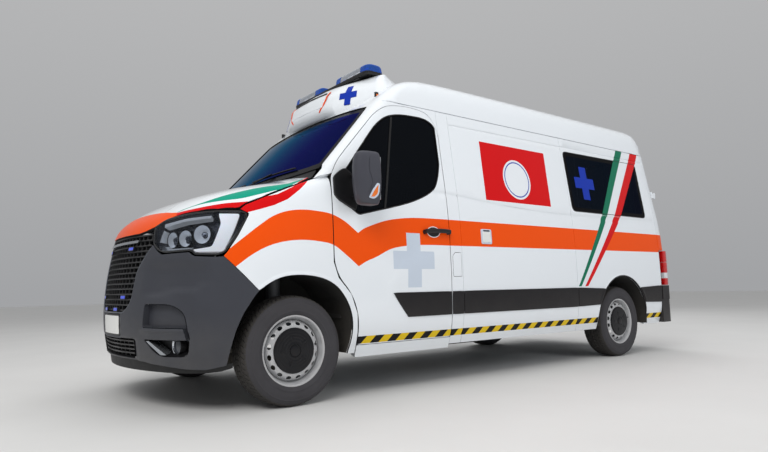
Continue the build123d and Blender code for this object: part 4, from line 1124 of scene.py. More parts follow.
ORANGE_TOP = [(-470, 938), (-395, 1007), (-324, 1066), (-242, 1130), (-159, 1187), (-64, 1223), (42, 1237), (146, 1234), (253, 1220), (354, 1178), (462, 1101)]
ORANGE_TOP2 = [(462, 1101), (508, 1131), (565, 1154), (648, 1182), (744, 1206), (927, 1230), (1173, 1237), (1437, 1237), (2200, 1237), (2903, 1237), (4390, 1234), (4460, 1234)]
ORANGE_LOW2 = [(4460, 1044), (4358, 1044), (2870, 1040), (1417, 1036), (1046, 1034), (883, 1023), (744, 998), (609, 939), (522, 907), (458, 873)]
ORANGE_LOW = [(458, 873), (359, 949), (259, 1014), (145, 1035), (33, 1040), (-87, 1028), (-200, 996), (-301, 943), (-400, 868)]
ORANGE_BAND = np.vstack([curve(ORANGE_TOP, 6), curve(ORANGE_TOP2, 6)[1:], curve(ORANGE_LOW2, 6), curve(ORANGE_LOW, 6)[1:]])


def hazard(s0, s1, z0, z1, pitch=150.0, lean=46.0):
    """Slanted yellow and black blocks."""
    out = [(rect(s0, z0, s1, z1), Y_)]
    s = s0 - lean
    while s < s1:
        a, b = s, s + pitch / 2
        poly = [(max(a, s0 - 60), z0), (b, z0), (b + lean, z1), (a + lean, z1)]
        poly = np.array([(min(max(p[0], s0 + 0.5), s1 - 0.5), p[1]) for p in poly])
        if poly[:, 0].max() - poly[:, 0].min() > 4:
            out.append((poly, K_))
        s += pitch
    return out


HAZARD_Z = (354.0, 404.0)


def side_livery():
    return [(ORANGE_BAND, O_)]


def cross_outline(c, w, h, t):
    x, y = c
    a, b = w / 2, h / 2
    t /= 2
    return np.array([(x - t, y - b), (x + t, y - b), (x + t, y - t), (x + a, y - t), (x + a, y + t), (x + t, y + t), (x + t, y + b), (x - t, y + b), (x - t, y + t), (x - a, y + t), (x - a, y - t), (x - t, y - t)])


DOOR = [(266, 1480), (265, 900), (302, 800), (401, 690), (453, 560), (458, 420), (458, 345), (1318, 345), (1318, 1960), (1248, 2085), (1118, 2112), (960, 2112), (810, 2085), (700, 2010), (330, 1600)]
DOOR_O = rounded(DOOR, [30, 200, 70, 90, 100, 60, 28, 26, 90, 120, 120, 120, 110, 150, 130], 6)
DWIN = curve([(345, 1335), (372, 1305), (470, 1232), (520, 1240), (612, 1262), (758, 1297), (960, 1353), (1120, 1420), (1200, 1475), (1248, 1560), (1276, 1650), (1305, 1800), (1302, 1930), (1270, 1998), (1196, 2036), (1043, 2042), (903, 2029), (800, 1997), (700, 1925), (560, 1760), (430, 1595), (352, 1490), (334, 1420)], 5, closed=True)
DWIN = ccw(np.stack([np.clip(DWIN[:, 0] + 6, 348, 1290), DWIN[:, 1]], 1))
WIN_REAR = [(2945, 1405), (4240, 1405), (4240, 2008), (2945, 1998)]
WIN_SLIDE = [(1600, 1405), (2600, 1405), (2600, 1988), (1600, 1985)]
ARCH_R = [(ARCH_REAR_C[0] + ARCH_REAR_R * math.cos(a), ARCH_REAR_C[1] + ARCH_REAR_R * math.sin(a)) for a in np.linspace(math.pi, 0, 33)]
ARCH_F = curve([(-428, 180), (-425, 287), (-397, 480), (-343, 607), (-262, 722), (-173, 782), (-97, 808), (6, 817), (125, 806), (221, 777), (298, 726), (366, 636), (400, 551), (410, 458), (404, 370), (397, 325)], 4)

side_dom = Side()
front_side = Side(F_front)

# feature lines that the meshes follow
S_LINE = np.arange(240, 4420, 60.0)


def along(f, a, b, d=0.0, step=40.0):
    s = np.arange(a, b + 1, step)
    return np.stack([s, f(s) + d], 1)


WAIST_LINES = [along(waist_top, 1130, 4404), along(waist_top, 1130, 4404, -7), along(waist_low, 1130, 4404), along(waist_low, 1130, 4404, 24)]
TOP_LINES = [np.array([(1450, z), (4404, z + 12)]) for z in (2018.0, 2025.0, 2030.0, 2035.0, 2042.0)]
CREASE_LINES = [along(crease, 640, 1316, 0, 26), along(crease, 640, 1316, -9, 26), along(crease, 640, 1316, -30, 26)]


def arch_lines(front=True):
    if front:
        base = curve(ARCH_FRONT, 4)
        n = np.gradient(base, axis=0)
        n = np.stack([-n[:, 1], n[:, 0]], 1)
        n /= np.linalg.norm(n, axis=1, keepdims=True)
        return [base + n * d for d in (10, 19, 28)]
    return [np.array([(ARCH_REAR_C[0] + (ARCH_REAR_R + d) * math.cos(a), ARCH_REAR_C[1] + (ARCH_REAR_R + d) * math.sin(a)) for a in np.linspace(math.pi, 0, 41)]) for d in (10, 19, 28)]


SIDES = (("left", False, 1), ("right", True, -1))

# ------------------------------------------------------------------ wings
WRED_UP = [(0, 262, 1531), (0, 143, 1472), (0, -15, 1384), (0, -114, 1332), (0, -220, 1306), (0, -318, 1285), (0, -420, 1262)]
WRED_LO = [(0, 230, 1504), (0, 115, 1442), (0, 31, 1368), (0, -55, 1301), (0, -144, 1258), (0, -228, 1230), (0, -308, 1206), (0, -345, 1190), (0, -420, 1160)]
LAMP_EDGE = [(-306, 1214), (-305, 1180), (-376, 1050), (-440, 950), (-462, 930)]
BONNET_SEAM = [(-352, 1232), (-315, 1258), (-217, 1301), (-83, 1360), (54, 1420), (140, 1452), (200, 1474)]
BONNET_SIDE_X = spline([-640, -330, 0, 160, 220], [940, 925, 905, 885, 878])
for name, mir, k in SIDES:
    wing = [(-352, 1226), (-318, 1255), (-217, 1302), (-83, 1361), (54, 1421), (150, 1458), (263, 1488), (261, 900), (297, 798), (397, 688), (446, 560), (452, 430), (452, 292), (391, 292)]
    arch_part = [tuple(p) for p in ARCH_F[::-1] if p[1] > 330 and p[0] > -258]
    wing = wing + arch_part + [(-265, 725), (-462, 936), (-444, 956), (-381, 1055), (-310, 1184), (-306, 1200)]
    # the wing's rim and back face in the dark grey: painted shade in the seams and behind the wing
    panel("wing_" + name, front_side, wing, SIDE_MATS, body="body", replaces=("front_fenders",) if k > 0 else (), mirror=mir,
          regions=[(ORANGE_BAND, O_), (np.array([p[1:] for p in WRED_UP + WRED_LO[::-1]], float), R_)], lines=arch_lines(True), grid=42, gap=1.0, edge=2.5, thick=14, rim=PAINTED_SHADE_, inner=PAINTED_SHADE_)

# ------------------------------------------------------------------ front doors
for name, mir, k in SIDES:
    regs = [(ORANGE_BAND, O_), (cross_outline((951, 921), 385, 395, 130), C_)] + hazard(458, 1318, *HAZARD_Z)
    # dark rim: painted shade in the door's seam
    panel("door_skin_" + name, side_dom, DOOR_O, SIDE_MATS, body=f"front_door_{name}_body", replaces=(f"front_door_{name}",), mirror=mir,
          holes=[DWIN], regions=regs, lines=CREASE_LINES + [along(waist_top, 1130, 1318), along(waist_top, 1130, 1318, -7)], grid=42, gap=1.5, edge=3.0, thick=46, rim=PAINTED_SHADE_, inner=TR_)

# ------------------------------------------------------------------ pillars behind the front doors
FLAP_O = [(1339, 800), (1431, 800), (1431, 985), (1366, 985), (1339, 958)]
for name, mir, k in SIDES:
    regs = [(ORANGE_BAND, O_)] + hazard(1322, 1443, *HAZARD_Z)
    panel("pillar_" + name, side_dom, [(1322, 292), (1442, 292), (1442, 2126), (1322, 2126)], SIDE_MATS, replaces=("b_pillars",) if k > 0 else (), mirror=mir,
          holes=[rounded(FLAP_O, 10, 4)] if k > 0 else [], regions=regs, lines=[l[(l[:, 0] > 1300) & (l[:, 0] < 1460)] for l in WAIST_LINES], grid=40, gap=0.7, edge=1.8, thick=50, rim=None, inner=LI_)
# dark rim: painted shade in the flap's seam
panel("fuel_flap_skin", side_dom, rounded(FLAP_O, 10, 4), SIDE_MATS, body="fuel_flap_body", replaces=("fuel_flap",), grid=30, gap=2.0, edge=2.0, thick=10, rim=PAINTED_SHADE_, inner=IN_)
# filler pocket behind the flap
emit("filler_pocket", [box_data((955, 1336, 796), (962, 1434, 988), 2, 0), lathe_data([(0, 0), (34, 0), (38, 4), (38, 20), (34, 24), (0, 24)], (962, 1388, 880), 32, 0, 1), lathe_data([(0, 24), (9, 24), (9, 34), (0, 34)], (962, 1388, 880), 16, 0, 1)], [M_DARK_AND_SHADE, M_BLACK], slot="dark_plastic")

# ------------------------------------------------------------------ load space sides
red_box = [(1772, 1428), (2625, 1426), (2646, 1937), (1787, 1938)]
CUTL = lambda ls, a, b: [l[(l[:, 0] >= a) & (l[:, 0] <= b)] for l in ls if np.sum((l[:, 0] >= a) & (l[:, 0] <= b)) > 1]


def clip_line(l, a, b):
    return np.stack([np.clip(l[:, 0], a, b), l[:, 1]], 1)


disc = circle((2205, 1640), 178, 48)
mid_regs = [(ORANGE_BAND, O_), (red_box, R_), (disc, W_), (circle((2205, 1640), 160, 48), 12), (circle((2205, 1640), 150, 48), W_)] + hazard(1443, 2916, *HAZARD_Z)
ARCH_ALL = [tuple(p) for p in ARCH_R]
MATS2 = SIDE_MATS + [M_BLUEF]
panel("side_mid_left", side_dom, [(1443, 292), (2916, 292), (2916, 2126), (1443, 2126)], MATS2, replaces=("side_panel_mid_left",), regions=mid_regs,
      lines=CUTL(WAIST_LINES, 1440, 2920) + [clip_line(l, 1443, 2916) for l in TOP_LINES], grid=60, gap=0.7, edge=1.8, thick=56, rim=None, inner=LI_)
# tricolour slanting lines that run down from behind the rear window
TRI = []
for a0, a1, b0, b1, m in ((2932, 2974, 3428, 3517, G_), (2974, 3030, 3517, 3643, W_), (3030, 3078, 3643, 3755, R_)):
    TRI.append((np.array([(a0, 700), (a1, 700), (b1 - 3, 1390), (b0 - 3, 1390)]), m))
TRI2 = []
for a, b, m in ((3833, 3951, G_), (3951, 4109, W_), (4109, 4251, R_)):
    TRI2.append((np.array([(a, 2012), (b, 2012), (b + 76, 2128), (a + 76, 2128)]), m))
rear_regs = [(ORANGE_BAND, O_)] + TRI2 + TRI + hazard(2917, 3243, *HAZARD_Z) + hazard(4101, 4412, *HAZARD_Z)
for name, mir, k in SIDES:
    s0 = 2918 if k > 0 else 2768
    o = [(s0, 292)] + ARCH_ALL + [(4412, 292), (4412, 2126), (s0, 2126)]
    o = [(s0, 292), (3247, 292)] + [p for p in ARCH_ALL] + [(4097, 292), (4412, 292), (4412, 2126), (s0, 2126)]
    regs = list(rear_regs)
    if k < 0:
        regs = regs + hazard(2768, 2918, *HAZARD_Z)
    panel("side_rear_" + name, side_dom, o, MATS2, replaces=(f"side_panel_rear_{name}",), mirror=mir, holes=[rounded(WIN_REAR, 55, 6)], regions=regs,
          lines=CUTL(WAIST_LINES, s0, 4404) + [clip_line(l, s0, 4404) for l in TOP_LINES] + arch_lines(False), grid=60, gap=0.7, edge=1.8, thick=56, rim=None, inner=LI_)
slide_regs = [(ORANGE_BAND, O_)] + hazard(1446, 2762, *HAZARD_Z)
# dark rim: painted shade in the sliding door's seam
panel("sliding_door_skin", side_dom, rounded([(1446, 332), (2762, 332), (2762, 2102), (1446, 2102)], [20, 40, 60, 60], 6), MATS2, replaces=("sliding_door",), mirror=True, holes=[rounded(WIN_SLIDE, 55, 6)], regions=slide_regs,
      lines=CUTL(WAIST_LINES, 1446, 2762) + [clip_line(l, 1450, 2760) for l in TOP_LINES], grid=60, gap=3.0, edge=3.0, thick=50, rim=PAINTED_SHADE_, inner=LI_)
# strips above and below the sliding door
panel("slide_header", side_dom, rect(1443, 2102, 2766, 2126), SIDE_MATS, mirror=True, grid=60, gap=0.8, edge=1.5, thick=50, rim=None, inner=LI_)
panel("slide_sill", side_dom, rect(1443, 292, 2766, 332), SIDE_MATS, mirror=True, grid=60, gap=0.8, edge=1.5, thick=50, rim=None, inner=LI_)
for name, mir, k in SIDES:
    # back face in the dark grey: painted shade behind the sill
    panel("sill_" + name, side_dom, rect(458, 262, 1322, 344), SIDE_MATS, replaces=("sills",) if k > 0 else (), mirror=mir, grid=50, gap=1.0, edge=2.5, thick=50, rim=None, inner=PAINTED_SHADE_)

# ------------------------------------------------------------------ rear corners, doors and roof
rear_fan = Fan(F_cab, 750.0, 280.0, place_rear)
RO = [(872, 562), (872, 1370), (800, 2150), (742, 2290), (640, 2338)]


def rear_open(d):
    return [(872 + d, 562 - d), (872 + d, 1370), (800 + d, 2150), (742 + d, 2290 + d * 0.6), (640, 2338 + d)]


def x_at(z, d=0.0):
    pts = rear_open(d)
    return float(np.interp(z, [p[1] for p in pts], [p[0] for p in pts]))


def to_fan(x, z):
    P, _ = Rear().at(np.array([(x, z)]))
    return tuple(back_rear(P)[0])


def side_to_fan(s, z):
    P, _ = side_dom.at(np.array([(s, z)]))
    return tuple(back_rear(P)[0])


left = [to_fan(x_at(z, 6), z) for z in (1066, 1200, 1370, 1600, 1900, 2126)]
outer = [side_to_fan(4415, z) for z in (2126, 1900, 1600, 1300, 1066)]
for name, mir, k in SIDES:
    P1 = left + outer
    panel("rear_post_" + name, rear_fan, P1, SIDE_MATS, replaces=("rear_frame",) if k > 0 else (), mirror=mir, regions=[([(u, z) for u, z in (to_fan(700, 1040), side_to_fan(4300, 1040), side_to_fan(4300, 1234), to_fan(700, 1234))], O_)], grid=42, gap=0.7, edge=1.8, thick=50, rim=None, inner=LI_)
# lower corners beside the lamps and the sill under the doors
for name, mir, k in SIDES:
    low = [to_fan(880, 690), to_fan(926, 690), to_fan(926, 1063), to_fan(880, 1063)]
    panel("rear_post_low_" + name, rear_fan, low, SIDE_MATS, mirror=mir, grid=30, gap=0.5, edge=1.5, thick=50, rim=None, inner=LI_)
    low2 = [side_to_fan(4415, 546), side_to_fan(4470, 546), side_to_fan(4470, 1063), side_to_fan(4415, 1063)]
panel("rear_sill", Rear(), rect(-880, 545, 880, 562), SIDE_MATS, grid=50, gap=0.5, edge=1.5, thick=50, rim=None, inner=LI_)

rear_dom = Rear()
for name, mir, k in SIDES:
    o = [(5, 566)] + [(868, 566), (868, 1370), (796, 2150), (738, 2288), (638, 2334), (5, 2334)]
    o = rounded(o, [6, 25, 200, 120, 60, 60, 8], 6)
    win = rounded([(140, 1400), (762, 1400), (712, 2060), (640, 2150), (140, 2150)], [60, 60, 60, 60, 60], 6)
    regs = [(rect(-10, 1040, 900, 1236), O_)]
    P, f, m, n = panel_mesh(rear_dom, o, holes=[win], regions=regs, grid=42, gap=2.0, edge=3.0, thick=52, rim=None, inner=LI_)
    make("rear_door_skin_" + name, P, f, SIDE_MATS, m, n, body=f"rear_door_{name}_body", replaces=(f"rear_door_{name}",), slot="paint", mirror=mir)

# roof
roof_dom = Roof()


def roof_uv(P):
    return roof_dom.back(P)


z_seam = 2131.0
ss = np.concatenate([np.linspace(735, 1100, 12), np.linspace(1200, 4300, 20), np.linspace(4350, 4440, 5)])
Ps, _ = side_dom.at(np.stack([ss, np.full(len(ss), z_seam)], 1))
side_edge = roof_uv(Ps)
xr = np.array([860, 840, 808])
Pr, _ = Rear().at(np.stack([xr, np.full(len(xr), z_seam)], 1))
open_pts = [(x_at(z, 8), z) for z in (2150, 2220, 2290)] + [(640, 2346), (400, 2346), (200, 2346), (0, 2346)]
Po, _ = Rear().at(np.array(open_pts))
half_r = np.vstack([side_edge, roof_uv(Pr), roof_uv(Po)])
# front edge just above the windscreen
fs = Fan(F_cab, 650.0, 250.0, place_screen)
xf = np.linspace(0, 1, 12)


def screen_top(x):
    """Front edge of the roof: the points of the front surface at the seam height."""
    lo, hi = 1900.0, 2300.0
    O = np.array([(x, 0.0)])
    for _ in range(30):
        m = (lo + hi) / 2
        P, _n = fs.at(np.array([(x, m)]))
        if P[0, 2] < z_seam:
            lo = m
        else:
            hi = m
    return P[0]


front_pts = np.array([screen_top(x) for x in np.linspace(0, 830, 12)])
fuv = roof_uv(front_pts)
fuv = fuv[np.argsort(fuv[:, 0])]
left_half = np.vstack([fuv, half_r])
right_half = left_half[::-1] * [-1, 1]
ring = np.vstack([left_half, right_half])
keep = [ring[0]]
for p in ring[1:]:
    if np.linalg.norm(p - keep[-1]) > 4:
        keep.append(p)
ring = np.array(keep)
panel("roof_skin", roof_dom, ring, SIDE_MATS, replaces=("roof",), 
      lines=[np.array([(x, 1560), (x, 4160)]) for x in np.arange(-690, 691, 34.0)], grid=70, gap=0.3, edge=1.2, thick=40, rim=None, inner=LI_)


# ------------------------------------------------------------------ helpers for parts set into the skin
def prism_data(dom, outline, d0, d1, mat=0, sharp=40):
    """Small raised or sunk block on a surface: from depth d0 (outer face) to d1."""
    o = ccw(outline)
    P, N = dom.at(o)
    bm = bmesh.new()
    top = [bm.verts.new(p - n * d0) for p, n in zip(P, N)]
    bot = [bm.verts.new(p - n * d1) for p, n in zip(P, N)]
    bm.faces.new(top)
    bm.faces.new(list(reversed(bot)))
    m = len(o)
    for i in range(m):
        bm.faces.new((top[i], bot[i], bot[(i + 1) % m], top[(i + 1) % m]))
    return bm_data(bm, mat, sharp)


class Deep:
    """A domain carried d below its surface."""
    def __init__(self, dom, d):
        self.dom, self.d = dom, d

    def at(self, uv):
        P, N = self.dom.at(uv)
        return P - N * self.d, N


def well_data(dom, outline, d0, d1, taper, wall=0, floor=0, step=20.0, grid=45.0):
    """Sunk pocket: walls from depth d0 to d1, and a floor."""
    o = divide(ccw(outline), step)
    q = inset(o, taper)
    P0, N0 = dom.at(o)
    P1, N1 = dom.at(q)
    P0, P1 = P0 - N0 * d0, P1 - N1 * d1
    m = len(o)
    P = np.vstack([P0, P1])
    F = [(i, (i + 1) % m, m + (i + 1) % m, m + i) for i in range(m)]
    c = P0.mean(0)
    N = np.zeros_like(P)
    for f in F:
        a, b, cc, d = (P[i] for i in f)
        g = np.cross(b - a, d - a)
        for i in f:
            N[i] += g
    N /= np.maximum(np.linalg.norm(N, axis=1, keepdims=True), 1e-9)
    if np.sum(N * (c - P)) < 0:
        N = -N
    g = np.cross(P[F[0][1]] - P[F[0][0]], P[F[0][2]] - P[F[0][0]])
    if g @ N[F[0][0]] < 0:
        F = [tuple(reversed(f)) for f in F]
    Pf, Ff, Mf, Nf = panel_mesh(Deep(dom, d1), q, grid=grid, gap=0, edge=0, skin_only=True)
    return join_data([(P, F, [wall] * len(F), N), (Pf, Ff, [floor] * len(Ff), Nf)])


def skin(name, dom, outline, mats, body="body", replaces=(), slot="glass", mirror=False, **kw):
    """A single sheet, for glass and films."""
    P, f, m, n = panel_mesh(dom, outline, skin_only=True, **kw)
    return make(name, P, f, mats, m, n, body=body, replaces=replaces, slot=slot, mirror=mirror)


def rim_tube(dom, outline, r, depth=0.0, mat=0, closed=True, n=8, step=18.0):
    o = divide(np.asarray(outline, float), step, closed=closed)
    if closed:
        o = np.vstack([o, o[:1]])
    P, N = dom.at(o)
    return tube_data(P - N * depth, r, n, mat, caps=not closed)


def sym(points):
    """Mirror-symmetric closed outline from its left half, which starts and ends on the centre line."""
    P = np.asarray(points, float)
    Q = P[::-1] * [-1, 1]
    out = [P[0]]
    for p in list(P[1:]) + list(Q):
        if np.linalg.norm(p - out[-1]) > 2.0 and np.linalg.norm(p - out[0]) > 2.0:
            out.append(p)
    return ccw(np.array(out))


def along_normal(F, O, D, t=1300):
    P = cast(F, np.atleast_2d(np.asarray(O, float)), np.atleast_2d(np.asarray(D, float)), t)
    return P


def front_pt(pts):
    """Points on the nose from (x, z), looked at squarely."""
    pts = np.atleast_2d(np.asarray(pts, float))
    O = np.stack([pts[:, 0], np.full(len(pts), -330.0), pts[:, 1]], 1)
    return cast(F_front, O, np.tile([0, -1.0, 0], (len(pts), 1)), 900)


def front_uv(pts):
    return back_front(front_pt(pts))


def side_uv(pts):
    P, _ = front_side.at(np.atleast_2d(np.asarray(pts, float)))
    return back_front(P)


front_fan = Fan(F_front, 560.0, 300.0, place_front)
bonnet_dom = Bonnet()

# ------------------------------------------------------------------ bonnet
EDGE = [(0, 1106), (160, 1106), (320, 1107), (400, 1118), (480, 1138), (560, 1178), (660, 1208), (760, 1221), (860, 1228), (915, 1231)]
edge_uv = bonnet_dom.back(front_pt(EDGE))
SEAM3 = [(924, -352), (929, -315), (949, -217), (957, -83), (944, 54), (905, 130), (882, 162)]


def down_on(F, pts):
    """Points on a surface from (x, s), looked at from above."""
    pts = np.atleast_2d(np.asarray(pts, float))
    O = np.stack([pts[:, 0], pts[:, 1], np.full(len(pts), 900.0)], 1)
    return cast(F, O, np.tile([0, 0, 1.0], (len(pts), 1)), 900)


seam_uv = bonnet_dom.back(down_on(F_front, SEAM3))
REAR_ARC = [(760, 122), (600, 80), (420, 42), (220, 15), (0, 5)]
rear_uv = bonnet_dom.back(down_on(F_front, REAR_ARC))
half_b = np.vstack([edge_uv, seam_uv, rear_uv])
bonnet_out = sym(half_b)
GREEN_UP = [(883, 116, 1464), (907, -34, 1412), (874, -183, 1383), (833, -324, 1344), (774, -453, 1300), (710, -535, 1266), (605, -625, 1225)]
GREEN_LO = [(923, 93, 1446), (959, -61, 1373), (954, -95, 1364), (930, -233, 1322), (889, -349, 1292), (818, -449, 1279), (718, -538, 1259), (611, -626, 1221)]
RED_UP = [(791, 262, 1531), (881, 143, 1472), (964, -15, 1384), (968, -114, 1332), (951, -220, 1294), (921, -318, 1273), (872, -406, 1265), (808, -487, 1252), (723, -561, 1236), (614, -627, 1219)]
RED_LO = [(857, 230, 1504), (950, 115, 1442), (987, 31, 1368), (991, -55, 1301), (983, -144, 1260), (967, -228, 1241), (937, -325, 1231), (890, -414, 1231), (828, -494, 1225), (744, -568, 1214), (622, -640, 1201)]


def strip_uv(up, lo, back, n=5):
    a = curve(back(np.array(up, float)), n)
    b = curve(back(np.array(lo, float)), n)
    return np.vstack([a, b[::-1]])


g_uv = strip_uv(GREEN_UP, GREEN_LO, bonnet_dom.back)
r_uv = strip_uv(RED_UP, RED_LO, bonnet_dom.back)
tip_up = bonnet_dom.back(np.array([(900, -500, 1205), (700, -600, 1213), (559, -641, 1225), (396, -664, 1241), (250, -680, 1245), (114, -691, 1247), (0, -694, 1248)], float))
tip = np.vstack([tip_up, tip_up[::-1][1:] * [-1, 1], [(-900, -60), (900, -60)]])
bonnet_regs = [(tip, O_), (g_uv, GR_), (g_uv * [-1, 1], GR_), (r_uv, R_), (r_uv * [-1, 1], R_)]


def bonnet_line(f0, k):
    s = np.arange(-720, 61, 40.0)
    P = down_on(F_front, np.stack([f0 + (s + 700) * k, s], 1))
    return bonnet_dom.back(P)


b_lines = [bonnet_line(430, 0.16), bonnet_line(446, 0.16), bonnet_line(462, 0.16)]
b_lines = b_lines + [l * [-1, 1] for l in b_lines]
# dark rim: painted shade in the bonnet's seam
panel("bonnet_skin", bonnet_dom, bonnet_out, SIDE_MATS, body="bonnet_body", replaces=("bonnet",), regions=bonnet_regs, lines=b_lines, grid=38, gap=1.0, edge=3.0, thick=24, rim=PAINTED_SHADE_, inner=IN_)

# ------------------------------------------------------------------ bumper
GRILLE_LOW = [(0, 597), (150, 597), (240, 600), (320, 640), (356, 690), (372, 770), (384, 850), (430, 920), (496, 1000)]
LAMP_LOW3 = [(505, 1030), (560, 985), (607, 960), (700, 962), (800, 965), (815, 950), (832, 940), (880, 935), (925, 932)]
b_half = [tuple(p) for p in front_uv(GRILLE_LOW)] + [tuple(p) for p in front_uv(LAMP_LOW3)]
side_edge_pts = [(-456, 936), (-400, 874), (-330, 798), (-260, 724)] + [tuple(p) for p in ARCH_F if p[0] < -281 and p[1] > 250][::-1][0:0]
arch_low = [tuple(p) for p in ARCH_F if p[0] <= -266][::-1]
side_part = side_uv(side_edge_pts + arch_low)
bottom_u = [(u, z) for u, z in ((1080, 266), (960, 266), (860, 266), (760, 270), (640, 284), (480, 300), (300, 305), (0, 305))]
b_half += [tuple(p) for p in side_part if p[1] > 268] + [p for p in bottom_u if p[0] < side_part[-1][0] - 5]
bumper_out = sym(b_half)
FOG = rounded([(500, 438), (784, 438), (772, 345), (604, 342)], [14, 10, 40, 40], 6)
SCOOP = rounded([(516, 654), (690, 652), (764, 606), (788, 446), (774, 446), (764, 514), (498, 516)], [20, 60, 40, 4, 4, 8, 14], 6)
INTAKE = rounded([(-372, 322), (372, 322), (388, 436), (-388, 436)], 22, 5)
holes = [FOG, FOG * [-1, 1], SCOOP, SCOOP * [-1, 1], INTAKE]

BMATS = [M_BUMPER, M_BLACK, M_GLOSSB, M_DARK_AND_SHADE, M_SILVER]
# bumper with swept lines pressed into it
class Relief:
    """Adds pressed relief to a domain: h(u, v) in mm outwards."""
    def __init__(self, dom, h):
        self.dom, self.h = dom, h

    def at(self, uv):
        uv = np.asarray(uv, float)
        P, N = self.dom.at(uv)
        e = 1.5
        h = self.h(uv[:, 0], uv[:, 1])
        Pu, Nu = self.dom.at(uv + [e, 0])
        Pv, Nv = self.dom.at(uv + [0, e])
        P0 = P + N * h[:, None]
        Pu = Pu + Nu * self.h(uv[:, 0] + e, uv[:, 1])[:, None]
        Pv = Pv + Nv * self.h(uv[:, 0], uv[:, 1] + e)[:, None]
        n = np.cross(Pu - P0, Pv - P0)
        n /= np.maximum(np.linalg.norm(n, axis=1, keepdims=True), 1e-9)
        n = np.where((np.sum(n * N, 1) < 0)[:, None], -n, n)
        return P0, n


def bumper_relief(u, v):
    a = np.abs(u)
    # hollow below the headlamp, with a crisp lower edge towards the corner
    low = 690 + 0.00035 * (a - 480) ** 2
    h = -24.0 * ease(v - low, 0, 46) * (1 - ease(v, 850, 935)) * ease(a, 455, 600) * (1 - ease(a, 800, 905))
    top = 452 + 0.00022 * np.maximum(0, a - 380) ** 2
    h = h - 9.0 * ease(-v, -top, -top + 26) * (1 - ease(a, 380, 430))
    # blade between the two recesses
    h = h + 7.0 * (1 - ease(np.abs(v - 500), 4, 22)) * ease(a, 440, 520) * (1 - ease(a, 770, 800))
    # corner that stands out behind the recesses
    h = h + 6.0 * ease(a, 786, 812) * (1 - ease(a, 870, 960)) * (1 - ease(np.abs(v - 500), 120, 230))
    lip = ease(-v, -330, -318) * 7.0 * ease(a, 420, 560) * (1 - ease(a, 900, 1000))
    # seat of the registration plate
    seat = -9.0 * (1 - ease(a, 192, 200)) * ease(v, 442, 449) * (1 - ease(v, 593, 600))
    return h + lip + seat


bump_dom = Relief(front_fan, bumper_relief)
# the back face in the dark grey (inner=3): painted shade behind the bumper
P, f, m, n = panel_mesh(bump_dom, bumper_out, holes=holes, grid=30, gap=2.5, edge=4.0, thick=10, inner=3)
parts = [(P, f, m, n)]
for k in (1, -1):
    fo = FOG * [k, 1]
    parts.append(well_data(front_fan, fo, 3, 70, 18, 1, 1))
    so = SCOOP * [k, 1]
    parts.append(well_data(front_fan, so, 3, 40, 5, 0, 0))
    # fin on the inner side
    parts.append(prism_data(front_fan, rounded(np.array([(508, 430), (538, 432), (646, 350), (608, 350)]) * [k, 1], 6, 3), 6, 60, 4))
# black intake walls with a dark grey floor: the floor paints the shade deep in the opening
parts.append(well_data(front_fan, INTAKE, 3, 55, 6, 1, 3))
for i in range(4):
    z = 342 + i * 25.0
    parts.append(prism_data(front_fan, divide(np.array([(-374, z), (374, z), (376, z + 9), (-376, z + 9)], float), 60), 14, 50, 1))
for u in np.arange(-340, 341, 68.0):
    parts.append(prism_data(front_fan, [(u, 326), (u + 6, 326), (u + 6, 432), (u, 432)], 22, 50, 1))
emit("bumper_skin", parts, BMATS, replaces=("front_bumper",), slot="dark_plastic")

# flexible lip under the bumper
lip_o = [(u, z) for u, z in ((0, 312), (300, 312), (480, 308), (640, 298), (760, 290), (860, 290), (930, 290), (985, 292))]
lip_p = np.vstack([np.array(lip_o), [(985, 262), (930, 246)], np.array(lip_o)[::-1][2:] * [1, 0] + [0, 240]])
for k in (1, -1):
    P, f, m, n = panel_mesh(Deep(front_fan, 22), ccw(lip_p * [k, 1]), grid=50, gap=0, edge=1.5, thick=5)
    emit("bumper_lip_" + ("left" if k > 0 else "right"), [(P, f, m, n)], [M_RUBBER], slot="dark_plastic")

# blank registration plate with its holder


def sheet_data(dom, outline, d0, d1, mat=0, edge=1.5, grid=40):
    P, f, m, n = panel_mesh(Deep(dom, d0), outline, grid=grid, gap=0, edge=edge, thick=d1 - d0)
    return P, f, [mat] * len(f), n


plate = [sheet_data(front_fan, rounded(rect(-188, 452, 188, 590), 12, 4), 3.5, 14, 0)]
emit("plate_holder", plate, [M_BLACK], slot="dark_plastic")
M_EDGE = mat("satin_edging", lin((96, 100, 108)), rough=0.34, metal=0.7, tone=0.1, tone_scale=4.0, grain=0.03, grain_scale=900.0)
M_PLATE = mat("blank_plate", lin((232, 233, 230)), rough=0.34, coat=0.4, tone=0.02, cells=0.06, cells_scale=2200.0)
emit("blank_plate_front", [sheet_data(front_fan, rounded(rect(-178, 462, 178, 580), 8, 4), 0.5, 4.5, 0)], [M_PLATE], slot="paint")

